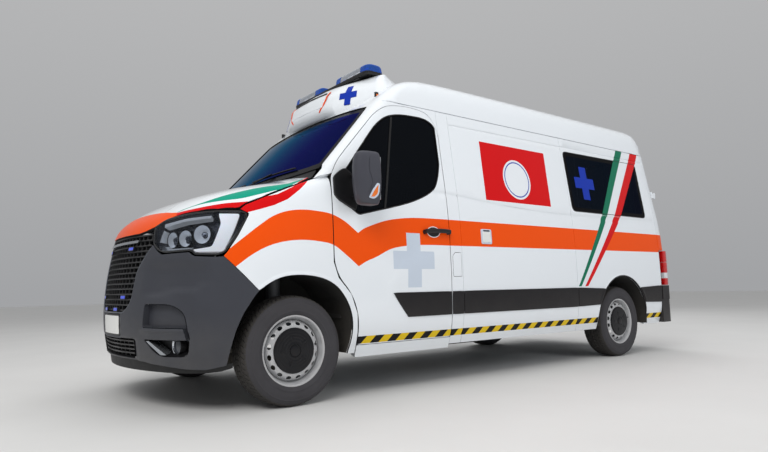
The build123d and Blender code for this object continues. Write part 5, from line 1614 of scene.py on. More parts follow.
# fog lamps
M_CLEAR = glass("clear_lens", (0.05, 0.055, 0.065), see=0.92, rough=0.03)
for name, mir, k in SIDES:
    Pc, Nc = front_fan.at(np.array([(690.0 * k, 396.0)]))
    c, nrm = Pc[0], Nc[0]
    fwd = np.array([nrm[0] * 0.35, -1.0, -0.03])
    fwd /= np.linalg.norm(fwd)
    seat = lathe_data([(0, -20), (30, -20), (44, -6), (47, 2), (52, 4), (52, -34), (0, -34)][::-1], (0, 0, 0), 40, 1, 0, mats=[1, 1, 1, 1, 0, 0][::-1] + [0] * 0)
    yaw = math.degrees(math.atan2(fwd[0], -fwd[1]))
    base_p = c - nrm * 44
    # the lathe's axis is +s, so its face is turned forwards
    s1 = turn(seat, (0, 0, 1), 180)
    s1 = turn(s1, (0, 0, 1), yaw)
    s1 = shift(s1, base_p)
    emit("fog_lamp_" + name, [s1], [M_BLACK, M_CHROME], slot="lamp")
    lens = lathe_data([(0, 5), (20, 4), (36, 1), (47, -3)], (0, 0, 0), 40, 1, 0)
    l1 = turn(turn(lens, (0, 0, 1), 180), (0, 0, 1), yaw)
    l1 = shift(l1, base_p)
    emit("fog_lens_" + name, [l1], [M_CLEAR], slot="glass")

# ------------------------------------------------------------------ grille
g_top = [(496, 1012), (494, 1060), (478, 1118), (400, 1104), (320, 1098), (160, 1097), (0, 1097)]
g_half = [tuple(p) for p in front_uv(GRILLE_LOW)] + [tuple(p) for p in front_uv(g_top)]
grille_out = sym(g_half)
gp = []
# dark grey plate behind the openings: painted shade of the space behind the grille
Pg, Fg, Mg, Ng = panel_mesh(Deep(front_fan, 46), inset(grille_out, -10), grid=60, gap=0, edge=0, thick=6)
gp.append((Pg, Fg, [2] * len(Fg), Ng))
gin = inset(grille_out, 4)
rows = np.arange(612, 1090, 34.0)


def row_span(z):
    """Where a level line crosses the grille opening."""
    xs = []
    Q = np.roll(gin, -1, 0)
    for a, b in zip(gin, Q):
        if (a[1] > z) != (b[1] > z):
            xs.append(a[0] + (z - a[1]) / (b[1] - a[1]) * (b[0] - a[0]))
    return (min(xs), max(xs)) if len(xs) >= 2 else None


for r, z in enumerate(rows):
    sp = row_span(z + 4)
    if not sp:
        continue
    a, b = sp
    n_seg = max(2, int((b - a) / 26))
    us = np.linspace(a, b, n_seg + 1)
    wave = 3.2 * np.cos(us / 26.0 * math.pi + (r % 2) * math.pi)
    lo = np.stack([us, z + wave * 0 - 0], 1)
    hi = np.stack([us, z + 9 + wave], 1)
    gp.append(prism_data(front_fan, np.vstack([lo, hi[::-1]]), 8, 40, 0))
    # ribs between the bars, staggered row by row
    if r < len(rows) - 1:
        for u in np.arange(a + (26 if r % 2 else 6), b - 8, 52.0):
            sp2 = row_span(z + 30)
            if sp2 and sp2[0] + 4 < u < sp2[1] - 10:
                gp.append(prism_data(front_fan, [(u, z + 8), (u + 7, z + 8), (u + 7, z + 35), (u, z + 35)], 12, 40, 0))
emit("grille_mesh", gp, [M_BLACK, M_CHROME, M_DARK_AND_SHADE], replaces=("grille",), slot="dark_plastic")
# bright edging round the lower part, and the bar across the top
low = front_uv([(496, 1004), (430, 924), (386, 852), (374, 772), (358, 694), (322, 644), (244, 604), (150, 601), (0, 601)])
low = curve(low, 5)
edging = rim_tube(Deep(front_fan, 3.6), np.vstack([low, low[::-1][1:] * [-1, 1]]), 5.5, 2, 0, closed=False)
emit("grille_edging", [edging], [M_EDGE], slot="cast_metal")
bar = [sheet_data(front_fan, rounded([(-330, 1047), (330, 1047), (338, 1064), (-338, 1064)], 5, 3), -2, 14, 0)]
emit("grille_bar", bar, [M_SILVER], slot="cast_metal")
M_BLUEL = mat("blue_lens", lin((24, 60, 190)), rough=0.12, coat=1.0, tone=0.15, cells=0.35, cells_scale=220.0, emission=lin((20, 60, 220)), strength=0.35)
st = []
for u, z in ((250, 1012), (-250, 1012), (238, 700), (-238, 700), (120, 622), (-120, 622)):
    st.append(prism_data(front_fan, rounded(rect(u - 38, z - 15, u + 38, z + 15), 8, 4), 0, 30, 1))
    st.append(prism_data(front_fan, rounded(rect(u - 31, z - 9, u + 31, z + 9), 5, 4), -1.5, 1, 0))
emit("grille_strobes", st, [M_BLUEL, M_BLACK], slot="lamp")

# ------------------------------------------------------------------ headlights
BEZEL = [(483, -725, 1142), (559, -671, 1190), (696, -593, 1212), (844, -480, 1222), (925, -352, 1222), (948, -312, 1205), (956, -313, 1177), (962, -380, 1051), (948, -448, 955), (927, -489, 937), (832, -595, 943), (807, -612, 968), (607, -722, 963), (515, -747, 1026)]
bez = back_front(np.array(BEZEL, float))
bez = rounded(bez, [20, 30, 60, 60, 26, 14, 20, 40, 14, 20, 10, 10, 40, 20], 5)
DRL_OUT = [(868, -465, 1203), (934, -352, 1200), (940, -400, 1080), (938, -460, 962), (829, -595, 963), (812, -606, 980)]
DRL_IN = [(850, -573, 985), (897, -519, 994), (904, -496, 1052), (899, -463, 1140), (880, -468, 1184)]
drl = back_front(np.array(DRL_OUT + DRL_IN, float))
drl = rounded(drl, [6, 16, 30, 16, 10, 8, 14, 16, 30, 16, 8], 4)
M_DRL = mat("running_lamp_white", lin((236, 240, 244)), rough=0.22, coat=0.8, tone=0.03, subsurface=0.2, cells=0.12, cells_scale=260.0, emission=(1, 1, 1), strength=0.42)
M_LAMPD = mat("lamp_housing_dark", lin((26, 30, 42)), rough=0.22, coat=0.6, tone=0.2, cells=0.04, cells_scale=700.0)
# reflector silver with a faint glow, used for the bowls, the top strip and the slats: painted reflection and highlights
# inside the lamp
M_BOWL_GLOW = mat("lamp_reflector_painted_glow", lin((206, 212, 220)), rough=0.24, metal=0.55, tone=0.06, cells=0.05, cells_scale=260.0, rough_var=0.06, emission=(0.8, 0.85, 0.9), strength=0.16)
M_AMBER = mat("amber_lens", lin((226, 110, 10)), rough=0.15, coat=1.0, tone=0.12, cells=0.4, cells_scale=240.0)
for name, mir, k in SIDES:
    parts = []
    inner = inset(bez, 15)
    P, f, m, n = panel_mesh(front_fan, bez, holes=[inner], grid=40, gap=2.5, edge=3.0, thick=22)
    parts.append((P, f, [0] * len(f), n))
    parts.append(well_data(front_fan, inner, 12, 88, 26, 1, 1))
    # running lamp
    P, f, m, n = panel_mesh(Deep(front_fan, 9), drl, grid=40, gap=0.5, edge=3.0, thick=30)
    parts.append((P, f, [2] * len(f), n))
    # bright strip along the top
    top = back_front(np.array([(545, -676, 1160), (690, -592, 1186), (820, -490, 1196), (818, -492, 1178), (690, -594, 1166), (560, -680, 1136)], float))
    parts.append(prism_data(front_fan, divide(top, 40), 20, 60, 3))
    # light bowls
    for (x, z, r1, yaw) in ((600, 1048, 48, 18), (700, 1052, 50, 28), (800, 1072, 56, 38)):
        c = front_pt([(x, z)])[0] + [0, 66, 0]
        bowl = lathe_data([(0, -42), (16, -40), (r1 * 0.62, -28), (r1 * 0.86, -12), (r1, 4), (r1 + 5, 6), (r1 + 5, -10), (r1 + 3, -30)], (0, 0, 0), 40, 1, 3, mats=[3, 3, 3, 3, 0, 0, 0])
        eye = lathe_data([(0, -6), (12, -8), (17, -16), (17, -34)], (0, 0, 0), 24, 1, 4)
        for q in (bowl, eye):
            q = turn(turn(q, (0, 0, 1), 180), (0, 0, 1), yaw)
            parts.append(shift(q, c))
    # slats between the bowls
    for i in range(5):
        a = front_uv([(560 + i * 14, 990)])[0]
        parts.append(prism_data(front_fan, [(a[0], 984), (a[0] + 4, 984), (a[0] + 4, 1010), (a[0], 1010)], 40, 80, 3))
    parts.append(prism_data(front_fan, divide(back_front(np.array([(575, -724, 984), (800, -612, 984), (800, -612, 994), (575, -724, 994)], float)), 40), 34, 80, 3))
    parts.append(prism_data(front_fan, divide(back_front(np.array([(548, -735, 1040), (562, -728, 1040), (575, -720, 1110), (560, -725, 1118)], float)), 40), 24, 70, 5))
    if mir:
        parts = [flip(q) for q in parts]
    emit("headlamp_" + name, parts, [M_GLOSSB, M_LAMPD, M_DRL, M_BOWL_GLOW, M_CLEAR, M_BOWL_GLOW], replaces=("headlights",) if k > 0 else (), slot="lamp")
    skin("headlamp_lens_" + name, front_fan, inset(bez, 12), [M_CLEAR], mirror=mir, grid=45, gap=0, edge=0)

# ------------------------------------------------------------------ scuttle panel, wipers
def screen_pt(pts):
    """Points on the windscreen from (x, v)."""
    pts = np.atleast_2d(np.asarray(pts, float))
    n0 = 500.0
    O = np.stack([pts[:, 0], -n0 * S47 + pts[:, 1] * C47, n0 * C47 + pts[:, 1] * S47], 1)
    return cast(F_cab, O, np.tile([0, -S47, C47], (len(pts), 1)), 700)


xs_ = np.linspace(-885, 885, 41)
low_v = spline([-900, -600, 0, 600, 900], [1290, 1215, 1175, 1215, 1290])
c_up = screen_pt(np.stack([xs_, low_v(xs_) - 4], 1))
arc_s = np.interp(np.abs(xs_), [0, 220, 420, 600, 760, 882], [5, 15, 42, 80, 122, 162]) + 6
c_lo = down_on(F_front, np.stack([xs_ * 0.995, arc_s], 1))


def cowl_f(u, t):
    t = np.clip(t / 100.0, 0, 1)
    A = np.stack([np.interp(u, xs_, c_lo[:, i]) for i in range(3)], 1)
    B = np.stack([np.interp(u, xs_, c_up[:, i]) for i in range(3)], 1)
    Q = A * (1 - t)[:, None] + B * t[:, None]
    Q[:, 2] -= 16 * np.sin(np.clip(t, 0, 1) * math.pi) + 6
    return Q


slots = []
for u in np.arange(-700, 701, 100.0):
    for d in (-30, -10, 10, 30):
        slots.append(rounded([(u + d, 30), (u + d + 9, 30), (u + d + 9, 66), (u + d, 66)], 3, 3))
panel("scuttle_skin", Warp(cowl_f), divide(rect(-882, 2, 882, 98), 30), [M_BLACK], replaces=("cowl",), slot="dark_plastic", holes=slots, grid=40, gap=0.5, edge=1.0, thick=6)
wp = []
for x0, x1, v1 in ((-60, 610, 1268), (-760, -140, 1236)):
    c = screen_pt([(x0, float(low_v(x0)) - 30)])[0] + [0, -6, 12]
    wp.append(shift(lathe_data([(0, 22), (12, 22), (17, 14), (18, 0), (18, -14), (0, -14)], (0, 0, 0), 24, 2, 0), c))
    arm_uv = np.array([(x0 + (x1 - x0) * t * 0.55, float(low_v(x0)) - 24 + (v1 - float(low_v(x0)) + 44) * t) for t in np.linspace(0, 1, 9)])
    Pa = screen_pt(arm_uv) + np.array([0, -S47, C47]) * 20
    wp.append(tube_data(Pa, 6.0, 8, 0, scale=np.linspace(1.5, 0.8, 9)))
    mid = arm_uv[-1]
    bl = np.array([(mid[0] + d, mid[1] + d * (v1 - float(low_v(x0)) + 30) / (x1 - x0) * 0.5) for d in np.linspace(-300, 300, 17)])
    Pb = screen_pt(bl) + np.array([0, -S47, C47]) * 11
    wp.append(tube_data(Pb, 5.0, 8, 0, scale=[0.6] + [1] * 15 + [0.6]))
    Pb2 = screen_pt(bl) + np.array([0, -S47, C47]) * 4
    wp.append(tube_data(Pb2, 2.6, 6, 1))
emit("wipers", wp, [M_BLACK, M_RUBBER], slot="dark_plastic")


def slab_data(dom, outline, d0, d1, mat=0, edge=1.5, grid=40, holes=(), inner=None):
    """Sheet that follows a surface, between depths d0 and d1, with rolled edges."""
    P, f, m, n = panel_mesh(Deep(dom, d0), outline, holes=holes, grid=grid, gap=0, edge=edge, thick=d1 - d0)
    return P, f, [mat] * len(f), n


# ------------------------------------------------------------------ cab frame round the windscreen and over the doors
screen_fan = Fan(F_cab, 650.0, 250.0, place_screen)


def scr_uv(pts):
    return back_screen(screen_pt(pts))


def sidescr_uv(pts):
    P, _ = side_dom.at(np.atleast_2d(np.asarray(pts, float)))
    return back_screen(P)


GL_SIDE = [(0, 2016), (400, 2016), (700, 2014), (800, 2008), (812, 1980), (834, 1850), (860, 1650), (884, 1450), (898, 1330), (898, 1292)]
open_uv = scr_uv([(x + (4 if x > 0 else 0), v + 6 if v > 2000 else v) for x, v in GL_SIDE])
DO_R = np.roll(DOOR_O, -int(np.argmin(np.abs(DOOR_O[:, 0] - 1318) + np.abs(DOOR_O[:, 1] - 1940) * 0.02 + (DOOR_O[:, 1] < 1900) * 999)), axis=0)
door_edge = DO_R[(DO_R[:, 1] > 1500)]
door_edge = door_edge[np.argsort(door_edge[:, 0] - np.where(door_edge[:, 0] > 1300, door_edge[:, 1] - 2100, 0) * 1e-3)] if door_edge[0, 0] < 600 else door_edge[::-1]
door_edge = [(262, 1496)] + [tuple(p) for p in door_edge if 262 < p[0] < 1317.5] + [(1320, 1980)]
top_edge = [(1322, 2127), (1200, 2127), (1050, 2127), (900, 2127), (800, 2127), (735, 2127)]
foot = sidescr_uv([(232, 1541), (160, 1462)])
front_top = []
for x in np.linspace(800, 0, 11):
    p = screen_top(x)
    front_top.append(p - [0, 0, 3])
ft = back_screen(np.array(front_top))
outer_l = np.vstack([foot[1:], sidescr_uv(door_edge), sidescr_uv(top_edge), ft])
ring_f = np.vstack([open_uv[:-1], foot[:1], outer_l])
left_r = [ring_f[0]]
for p in ring_f[1:]:
    if np.linalg.norm(p - left_r[-1]) > 3:
        left_r.append(p)
left_r = np.array(left_r)
for kk in (1, -1):
    o = left_r * [kk, 1]
    # each half is closed on the centre line
    panel("cab_shell_" + ("left" if kk > 0 else "right"), screen_fan, ccw(o), SIDE_MATS, replaces=("cab_frame",) if kk > 0 else (), grid=42, gap=0.5, edge=1.5, thick=42, rim=None, inner=TR_)

# ------------------------------------------------------------------ windscreen
glass_o = scr_uv([(x, v) for x, v in GL_SIDE] + [(880, 1284), (760, 1250), (600, 1219), (420, 1196), (220, 1182), (0, 1178)])
glass_o = sym(glass_o)
frit = inset(glass_o, 30)
low_y = frit[:, 1].copy()
frit[:, 1] = np.where(low_y < 1400, low_y + 40, np.where(low_y > 1900, low_y - 25, low_y))
P, f, m, n = panel_mesh(Deep(screen_fan, 4), glass_o, regions=[(frit, 1)], grid=60, gap=3, edge=0, skin_only=True)
make("windscreen_glass", P, f, [M_FRIT, M_SCREEN_PAINTED_SKY], m, n, replaces=("windscreen",), slot="glass")
emit("windscreen_seal", [rim_tube(screen_fan, glass_o, 4.5, 1.5)], [M_RUBBER], slot="dark_plastic")
# interior mirror and sensor housing
c = screen_pt([(0, 1930)])[0]
emit("cab_mirror", [box_data(c + [-110, 60, -90], c + [110, 82, -30], 9, 0), tube_data([c + [0, 8, -6], c + [0, 40, -40], c + [0, 66, -60]], 9, 10, 0)], [M_BLACK], slot="interior_plastic")
emit("screen_sensor", [box_data(c + [-60, 10, -16], c + [60, 60, 6], 8, 0)], [M_BLACK], slot="interior_plastic")

# ------------------------------------------------------------------ side windows
M_GLASSF = M_FRIT
for name, mir, k in SIDES:
    P, f, m, n = panel_mesh(Deep(side_dom, 7), DWIN, regions=[(inset(DWIN, 16), 1)], grid=50, gap=-6, edge=0, skin_only=True)
    make("door_glass_" + name, P, f, [M_FRIT, M_GLASS], m, n, body=f"front_door_{name}_body", replaces=(f"door_window_{name}",), slot="glass", mirror=mir)
    parts = [rim_tube(side_dom, inset(DWIN, 1), 5.0, 3)]
    # divider bar of the quarter window
    bar = np.array([(700, 1285), (718, 1289), (868, 2008), (850, 2002)])
    parts.append(slab_data(side_dom, bar, 1, 12, 0, grid=60))
    if mir:
        parts = [flip(q) for q in parts]
    emit("door_glass_seal_" + name, parts, [M_RUBBER], body=f"front_door_{name}_body", slot="dark_plastic")


def flush_window(name, outline, mir, node_=None):
    o = rounded(outline, 55, 6)
    P, f, m, n = panel_mesh(Deep(side_dom, 2), o, regions=[(rounded(inset(ccw(outline), 42), 40, 6), 1)], grid=70, gap=6, edge=0, skin_only=True)
    make(name + "_glass", P, f, [M_FRIT, M_PRIV], m, n, replaces=node_ or (), slot="glass", mirror=mir)
    parts = [rim_tube(side_dom, inset(o, 3.5), 4.5, 2.5)]
    # sliding half: a bar down its middle
    a, b = inset(ccw(outline), 60)[0], inset(ccw(outline), 60)[2]
    x0, z0, x1, z1 = outline[0][0] + 60, outline[0][1] + 60, outline[1][0] - 60, outline[2][1] - 60
    xm = (x0 + x1) / 2
    parts.append(slab_data(side_dom, rect(xm - 9, z0 - 14, xm + 9, z1 + 14), 3, 12, 0, grid=80))
    if mir:
        parts = [flip(q) for q in parts]
    emit(name + "_seal", parts, [M_RUBBER], slot="dark_plastic")


flush_window("side_window_left", WIN_REAR, False, ("side_windows",))
flush_window("side_window_right", WIN_REAR, True)
flush_window("slide_window_right", WIN_SLIDE, True)
# blue cross set on each rear side window
for name, mir, k in SIDES:
    q = slab_data(Deep(side_dom, 1), cross_outline((3222, 1700), 310, 330, 108), -1.0, 0.4, 0, edge=0.3, grid=60)
    if mir:
        q = flip(q)
    emit("window_cross_" + name, [q], [M_BLUEF], slot="paint")

# ------------------------------------------------------------------ side mouldings
for name, mir, k in SIDES:
    segs_ = [("door", f"front_door_{name}_body", [(744, 690), (885, 515), (1312, 515), (1312, 690)]), ("pillar", "body", [(1324, 515), (1441, 515), (1441, 690), (1324, 690)])]
    if k > 0:
        segs_ += [("mid", "body", [(1446, 515), (2914, 515), (2914, 690), (1446, 690)])]
    else:
        segs_ += [("mid", "body", [(1450, 515), (2758, 515), (2758, 690), (1450, 690)])]
    a0 = 2920 if k > 0 else 2772
    arc = [(ARCH_REAR_C[0] + (ARCH_REAR_R + 8.5) * math.cos(t), ARCH_REAR_C[1] + (ARCH_REAR_R + 8.5) * math.sin(t)) for t in np.linspace(math.pi, 0, 61)]
    la = [p for p in arc if 515 <= p[1] <= 690 and p[0] < ARCH_REAR_C[0]]
    ra = [p for p in arc if 515 <= p[1] <= 690 and p[0] > ARCH_REAR_C[0]]
    segs_.append(("rear", "body", [(a0, 515)] + la + [(a0, 690)]))
    segs_.append(("tail", "body", [p for p in ra[::-1]] + [(4409, 690), (4409, 515)]))
    for seg, body, o in segs_:
        q = slab_data(side_dom, ccw(np.array(o)), -9, 3, 0, edge=5.0, grid=60)
        q2 = None
        if mir:
            q = flip(q)
        emit(f"moulding_{seg}_{name}", [q], [M_MOULD], body=body, slot="dark_plastic")

# ------------------------------------------------------------------ outer door handles
for name, mir, k in SIDES:
    rec_ = circle((1154, 1136), 62, 32, 34)
    # a white cup with a dark grey oval on it: the oval paints the shade inside the cup behind the handle
    parts = [slab_data(Deep(side_dom, 0), circle((1154, 1134), 66, 36, 42), -1.0, 0.6, 1, edge=0.5, grid=30), slab_data(side_dom, circle((1154, 1134), 60, 36, 36), -1.6, -0.8, 2, edge=0.4, grid=30)]
    path_uv = np.array([(1052, 1130), (1064, 1134), (1100, 1137), (1180, 1140), (1260, 1140), (1302, 1138), (1312, 1136)])
    Ph, Nh = side_dom.at(curve(path_uv, 5))
    h = np.interp(np.linspace(0, 1, len(Ph)), [0, 0.08, 0.5, 0.92, 1], [4, 26, 34, 26, 4])
    Ph = Ph + Nh * h[:, None]
    frames = []
    for i in range(len(Ph)):
        frames.append((Ph[i], np.array([0, 0, 1.0]), Nh[i]))
    oval = np.array([(17 * math.cos(a), 8 * math.sin(a)) for a in np.linspace(0, 2 * math.pi, 16, endpoint=False)])
    parts.append(sweep_data(oval, frames, 0))
    parts.append(slab_data(side_dom, circle((1300, 1137), 17, 24, 20), -12, 0, 0, edge=2, grid=30))
    parts.append(slab_data(side_dom, circle((1062, 1133), 14, 24, 16), -10, 0, 0, edge=2, grid=30))
    if mir:
        parts = [flip(q) for q in parts]
    emit("door_handle_" + name, parts, [M_BLACK, M_WHITE, M_DARK_AND_SHADE], body=f"front_door_{name}_body", slot="dark_plastic")
# handle of the sliding door
parts = [slab_data(side_dom, circle((1560, 1134), 66, 36, 42), -1.0, 0.6, 1, edge=0.5, grid=30)]
Ph, Nh = side_dom.at(curve(np.array([(1480, 1130), (1495, 1134), (1540, 1138), (1640, 1140), (1715, 1138), (1730, 1136)]), 5))
h = np.interp(np.linspace(0, 1, len(Ph)), [0, 0.08, 0.5, 0.92, 1], [4, 26, 34, 26, 4])
parts.append(sweep_data(oval, [(p + nn * hh, np.array([0, 0, 1.0]), nn) for p, nn, hh in zip(Ph, Nh, h)], 0))
emit("slide_handle", [flip(q) for q in parts], [M_BLACK, M_WHITE], slot="dark_plastic")
# rail of the sliding door
rail = slab_data(side_dom, rect(2772, 1262, 4340, 1290), -1.5, 10, 0, edge=1.5, grid=80)
groove = slab_data(side_dom, rect(2780, 1272, 4330, 1280), -2.4, -1, 1, edge=0.4, grid=80)
emit("slide_rail", [flip(rail), flip(groove)], [M_DARK_AND_SHADE, M_BLACK], slot="dark_plastic")
# capped inlet behind the left door
parts = [slab_data(side_dom, rounded(rect(1665, 1058, 1787, 1180), 14, 5), -6, 2, 0, edge=4, grid=40), slab_data(side_dom, rounded(rect(1680, 1072, 1772, 1158), 10, 5), -9, -5, 1, edge=3, grid=40), slab_data(side_dom, rounded(rect(1690, 1161, 1762, 1171), 4, 4), -10, -5, 2, edge=2, grid=40)]
emit("inlet_cover", parts, [M_GREYF, M_LINER, M_BLACK], slot="dark_plastic")

# ------------------------------------------------------------------ door mirrors
for name, mir, k in SIDES:
    plan_ = rounded([(1090, 398), (1124, 344), (1190, 338), (1227, 398), (1230, 512), (1216, 530), (1092, 528)], [26, 40, 46, 50, 16, 14, 14], 6)
    cpl = np.array([1165.0, 445.0])
    rings = []
    levels = [(1277, 0.58), (1281, 0.70), (1292, 0.79), (1320, 0.875), (1360, 0.94), (1410, 0.985), (1460, 1.0), (1530, 0.985), (1590, 0.93), (1614, 0.87), (1628, 0.78), (1635, 0.64)]
    frames = []
    for z, sc_ in levels:
        lean = (1637 - z) * 0.0
        frames.append((np.array([cpl[0] - (1 - sc_) * 14, cpl[1] + (1 - sc_) * 30, z]), np.array([sc_, 0, 0]), np.array([0, sc_, 0])))
    shell_ = sweep_data(ccw(plan_) - cpl, frames, 0, sharp=60)
    parts = [shell_]
    for z0 in (1325, 1485):
        pa = curve([(1010, 440, z0 + 14), (1050, 432, z0 + 17), (1110, 425, z0 + 17)], 5)
        ell = np.array([(25 * math.cos(a), 15 * math.sin(a)) for a in np.linspace(0, 2 * math.pi, 16, endpoint=False)])
        parts.append(sweep_data(ell, [(p, np.array([0, 1.0, 0]), np.array([0, 0, 1.0])) for p in pa], 4))
    # glasses
    g1 = box_data((1108, 522, 1398), (1212, 529, 1600), 2, 1)
    g2 = box_data((1112, 522, 1312), (1206, 529, 1384), 2, 1)
    parts += [g1, g2]
    # indicator
    ind = rounded([(420, 1316), (462, 1308), (500, 1340), (506, 1412), (484, 1420), (440, 1362)], [10, 18, 20, 10, 8, 18], 5)

    def out_face(u, v):
        """Outer face of the mirror housing, from (s, z)."""
        sc_ = np.interp(v, [l[0] for l in levels], [l[1] for l in levels])
        x = 1231.0 - np.maximum(0, (410 - u)) ** 2 * 0.010 - (1 - sc_) * 70
        return np.stack([x, u, v], 1)

    parts.append(slab_data(Warp(out_face), ind, -0.4, 8, 2, edge=1.5, grid=16))
    parts.append(slab_data(Warp(out_face), inset(ind, 13), -0.9, 1, 3, edge=0.6, grid=16))
    # sail on the door corner
    sail = rounded([(282, 1476), (280, 1352), (312, 1318), (445, 1250), (476, 1330), (478, 1478), (384, 1556), (322, 1516)], [16, 24, 30, 16, 30, 30, 40, 30], 5)
    parts.append(slab_data(side_dom, sail, -14, 2, 4, edge=7, grid=30))
    # crease that runs down the outer face
    cr_ = [(428, 1582), (424, 1500), (446, 1440), (440, 1390), (420, 1350)]
    cv = curve(np.array(cr_, float), 5)
    parts.append(tube_data(np.stack([out_face(cv[:, 0], cv[:, 1])[:, 0] - 1.2, cv[:, 0], cv[:, 1]], 1), 2.2, 8, 0))
    if mir:
        parts = [flip(q) for q in parts]
    emit("mirror_unit_" + name, parts, [M_MIRROR, M_CHROME, M_GREYF, M_AMBER, M_BLACK], body=f"front_door_{name}_body", replaces=(f"mirror_{name}",), slot="dark_plastic")

# ------------------------------------------------------------------ visor over the windscreen
VIS_LV = [(2116, 690, 330, 806, 800), (2140, 662, 325, 800, 830), (2168, 644, 320, 792, 850), (2200, 640, 316, 784, 866), (2304, 666, 305, 752, 900), (2358, 712, 295, 728, 920), (2400, 770, 280, 708, 945), (2430, 828, 260, 690, 970), (2441, 872, 240, 676, 990), (2445, 930, 220, 650, 1010)]
VZ = [l[0] for l in VIS_LV]


def vis_at(z):
    """Front station, front half width, rear half width and the station of the shoulder corner at a height."""
    return [np.interp(z, VZ, [l[i] for l in VIS_LV]) for i in (1, 2, 3, 4)]


def vis_ring(z, extra=0.0):
    sf, wf, wr, sc_ = vis_at(z)
    back = 1185 - max(0, z - 2400) * 1.2
    cut = 105.0 * float(ease(np.array(z), 2270, 2420))
    half = [(0, sf), (wf * 0.5, sf + 5), (wf, sf + 20), (wr, sc_), (wr + 4 - cut * 0.55, (sc_ + back) / 2), (wr - cut, back)]
    o = half + [(-x, y) for x, y in half[::-1][:-1]]
    o = [(x, y) for x, y in o]
    return rounded(np.array(o), [0.6, 0.6, 70, 60, 10, 20, 20, 10, 60, 70, 0.6][:len(o)], 7)


rings_ = [vis_ring(z) for z in np.concatenate([np.linspace(2116, 2168, 4), np.linspace(2200, 2400, 7), [2412, 2422, 2430, 2436, 2441, 2444, 2445]])]
zz_ = np.concatenate([np.linspace(2116, 2168, 4), np.linspace(2200, 2400, 7), [2412, 2422, 2430, 2436, 2441, 2444, 2445]])
bm = bmesh.new()
vr = [[bm.verts.new((p[0], p[1], z)) for p in r] for r, z in zip(rings_, zz_)]
m_ = min(len(r) for r in vr)
for r0, r1 in zip(vr[:-1], vr[1:]):
    for i in range(m_):
        bm.faces.new((r0[i], r0[(i + 1) % m_], r1[(i + 1) % m_], r1[i]))
bm.faces.new(vr[-1])
bm.faces.new(list(reversed(vr[0])))
parts = [bm_data(bm, 0, 42)]


def vis_front(u, v):
    """Front face of the visor from (x, z)."""
    sf, wf, _, _ = vis_at(v)
    return np.stack([u, sf + np.clip((np.abs(u) / wf), 0, 1) ** 1.6 * 20 - 0.5, v], 1)


def vis_side(u, v):
    """Slanting side face: u from 0 at the front corner to 1000 at the shoulder, v the height."""
    sf, wf, wr, sc_ = vis_at(v)
    t = u / 1000.0
    return np.stack([wf + (wr - wf) * t, sf + 20 + (sc_ - sf - 20) * t, v], 1)


vf = Warp(vis_front)
vs = Warp(vis_side)
# blank sign panel, and an orange arc at each end
parts.append(slab_data(vf, rounded(rect(-262, 2212, 262, 2322), 12, 4), -2.0, 2, 0, edge=1.5, grid=40))
parts.append(slab_data(vf, rounded(rect(-258, 2331, 258, 2341), 3, 3), -7, 2, 2, edge=1.5, grid=60))
for k in (1, -1):
    t = np.linspace(-1, 1, 17)
    arc_o = [(k * x, z) for x, z in curve([(305, 2344), (302, 2290), (276, 2226), (226, 2172)], 6)]
    arc_i = [(k * x, z) for x, z in curve([(285, 2344), (282, 2290), (257, 2232), (214, 2178)], 6)[::-1]]
    parts.append(slab_data(vf, ccw(np.array(arc_o + arc_i)), -1.6, 0.6, 3, edge=0.4, grid=40))
    cr = cross_outline((0, 0), 158, 176, 56)
    cr = np.stack([196 + cr[:, 0], 2272 + cr[:, 1]], 1)
    P, f, m, n = panel_mesh(Warp(lambda u, v: vis_side(u * 1000 / 495.0, v)), cr, grid=30, gap=0, edge=0.4, thick=5)
    P = P + np.array([0.62, -0.75, 0.16]) * 3.2
    q = (P, f, [4] * len(f), n)
    parts.append(q if k > 0 else flip(q))
emit("visor_shell", parts, [M_WHITE, M_LINER, M_BLACK, M_ORANGE, M_BLUEF], replaces=("roof_visor",), slot="paint")
# marker bracket on each shoulder behind the visor
for name, mir, k in SIDES:
    Pm, Nm = side_dom.at(np.array([(842.0, 2216.0)]))
    c = Pm[0]
    q = [box_data(c + [-16, -17, -24], c + [4, 14, 20], 5, 0), box_data(c + [-2, -11, -17], c + [9, 8, 2], 3.5, 1)]
    if mir:
        q = [flip(t) for t in q]
    emit("marker_bracket_" + name, q, [M_BLACK, M_AMBER], slot="dark_plastic")

# ------------------------------------------------------------------ lightbar
M_LBCLEAR = glass("lightbar_clear", (0.42, 0.45, 0.50), see=0.55, rough=0.08, through=(0.80, 0.84, 0.90))
M_LBBLUE = glass("lightbar_blue", (0.02, 0.10, 0.46), see=0.50, rough=0.06, through=(0.12, 0.28, 0.95))
lb = []
base_o = rounded([(-598, 868), (598, 868), (598, 1058), (-598, 1058)], [60, 60, 60, 60], 7)
base_o = ccw(base_o)
cen = np.array([0.0, 963.0])
fr = [(np.array([0, 963.0, z]), np.array([a, 0, 0]), np.array([0, b, 0])) for z, a, b in ((2450, 0.985, 0.94), (2453, 0.99, 0.96), (2462, 1.0, 1.0), (2474, 1.0, 1.0), (2477, 0.995, 0.985))]
lb.append(sweep_data(base_o - cen, fr, 0))
fr = [(np.array([0, 963.0, z]), np.array([a, 0, 0]), np.array([0, b, 0])) for z, a, b in ((2476, 0.99, 0.96), (2480, 0.992, 0.97), (2520, 0.982, 0.90), (2534, 0.97, 0.80), (2541, 0.94, 0.62), (2543.5, 0.88, 0.40))]


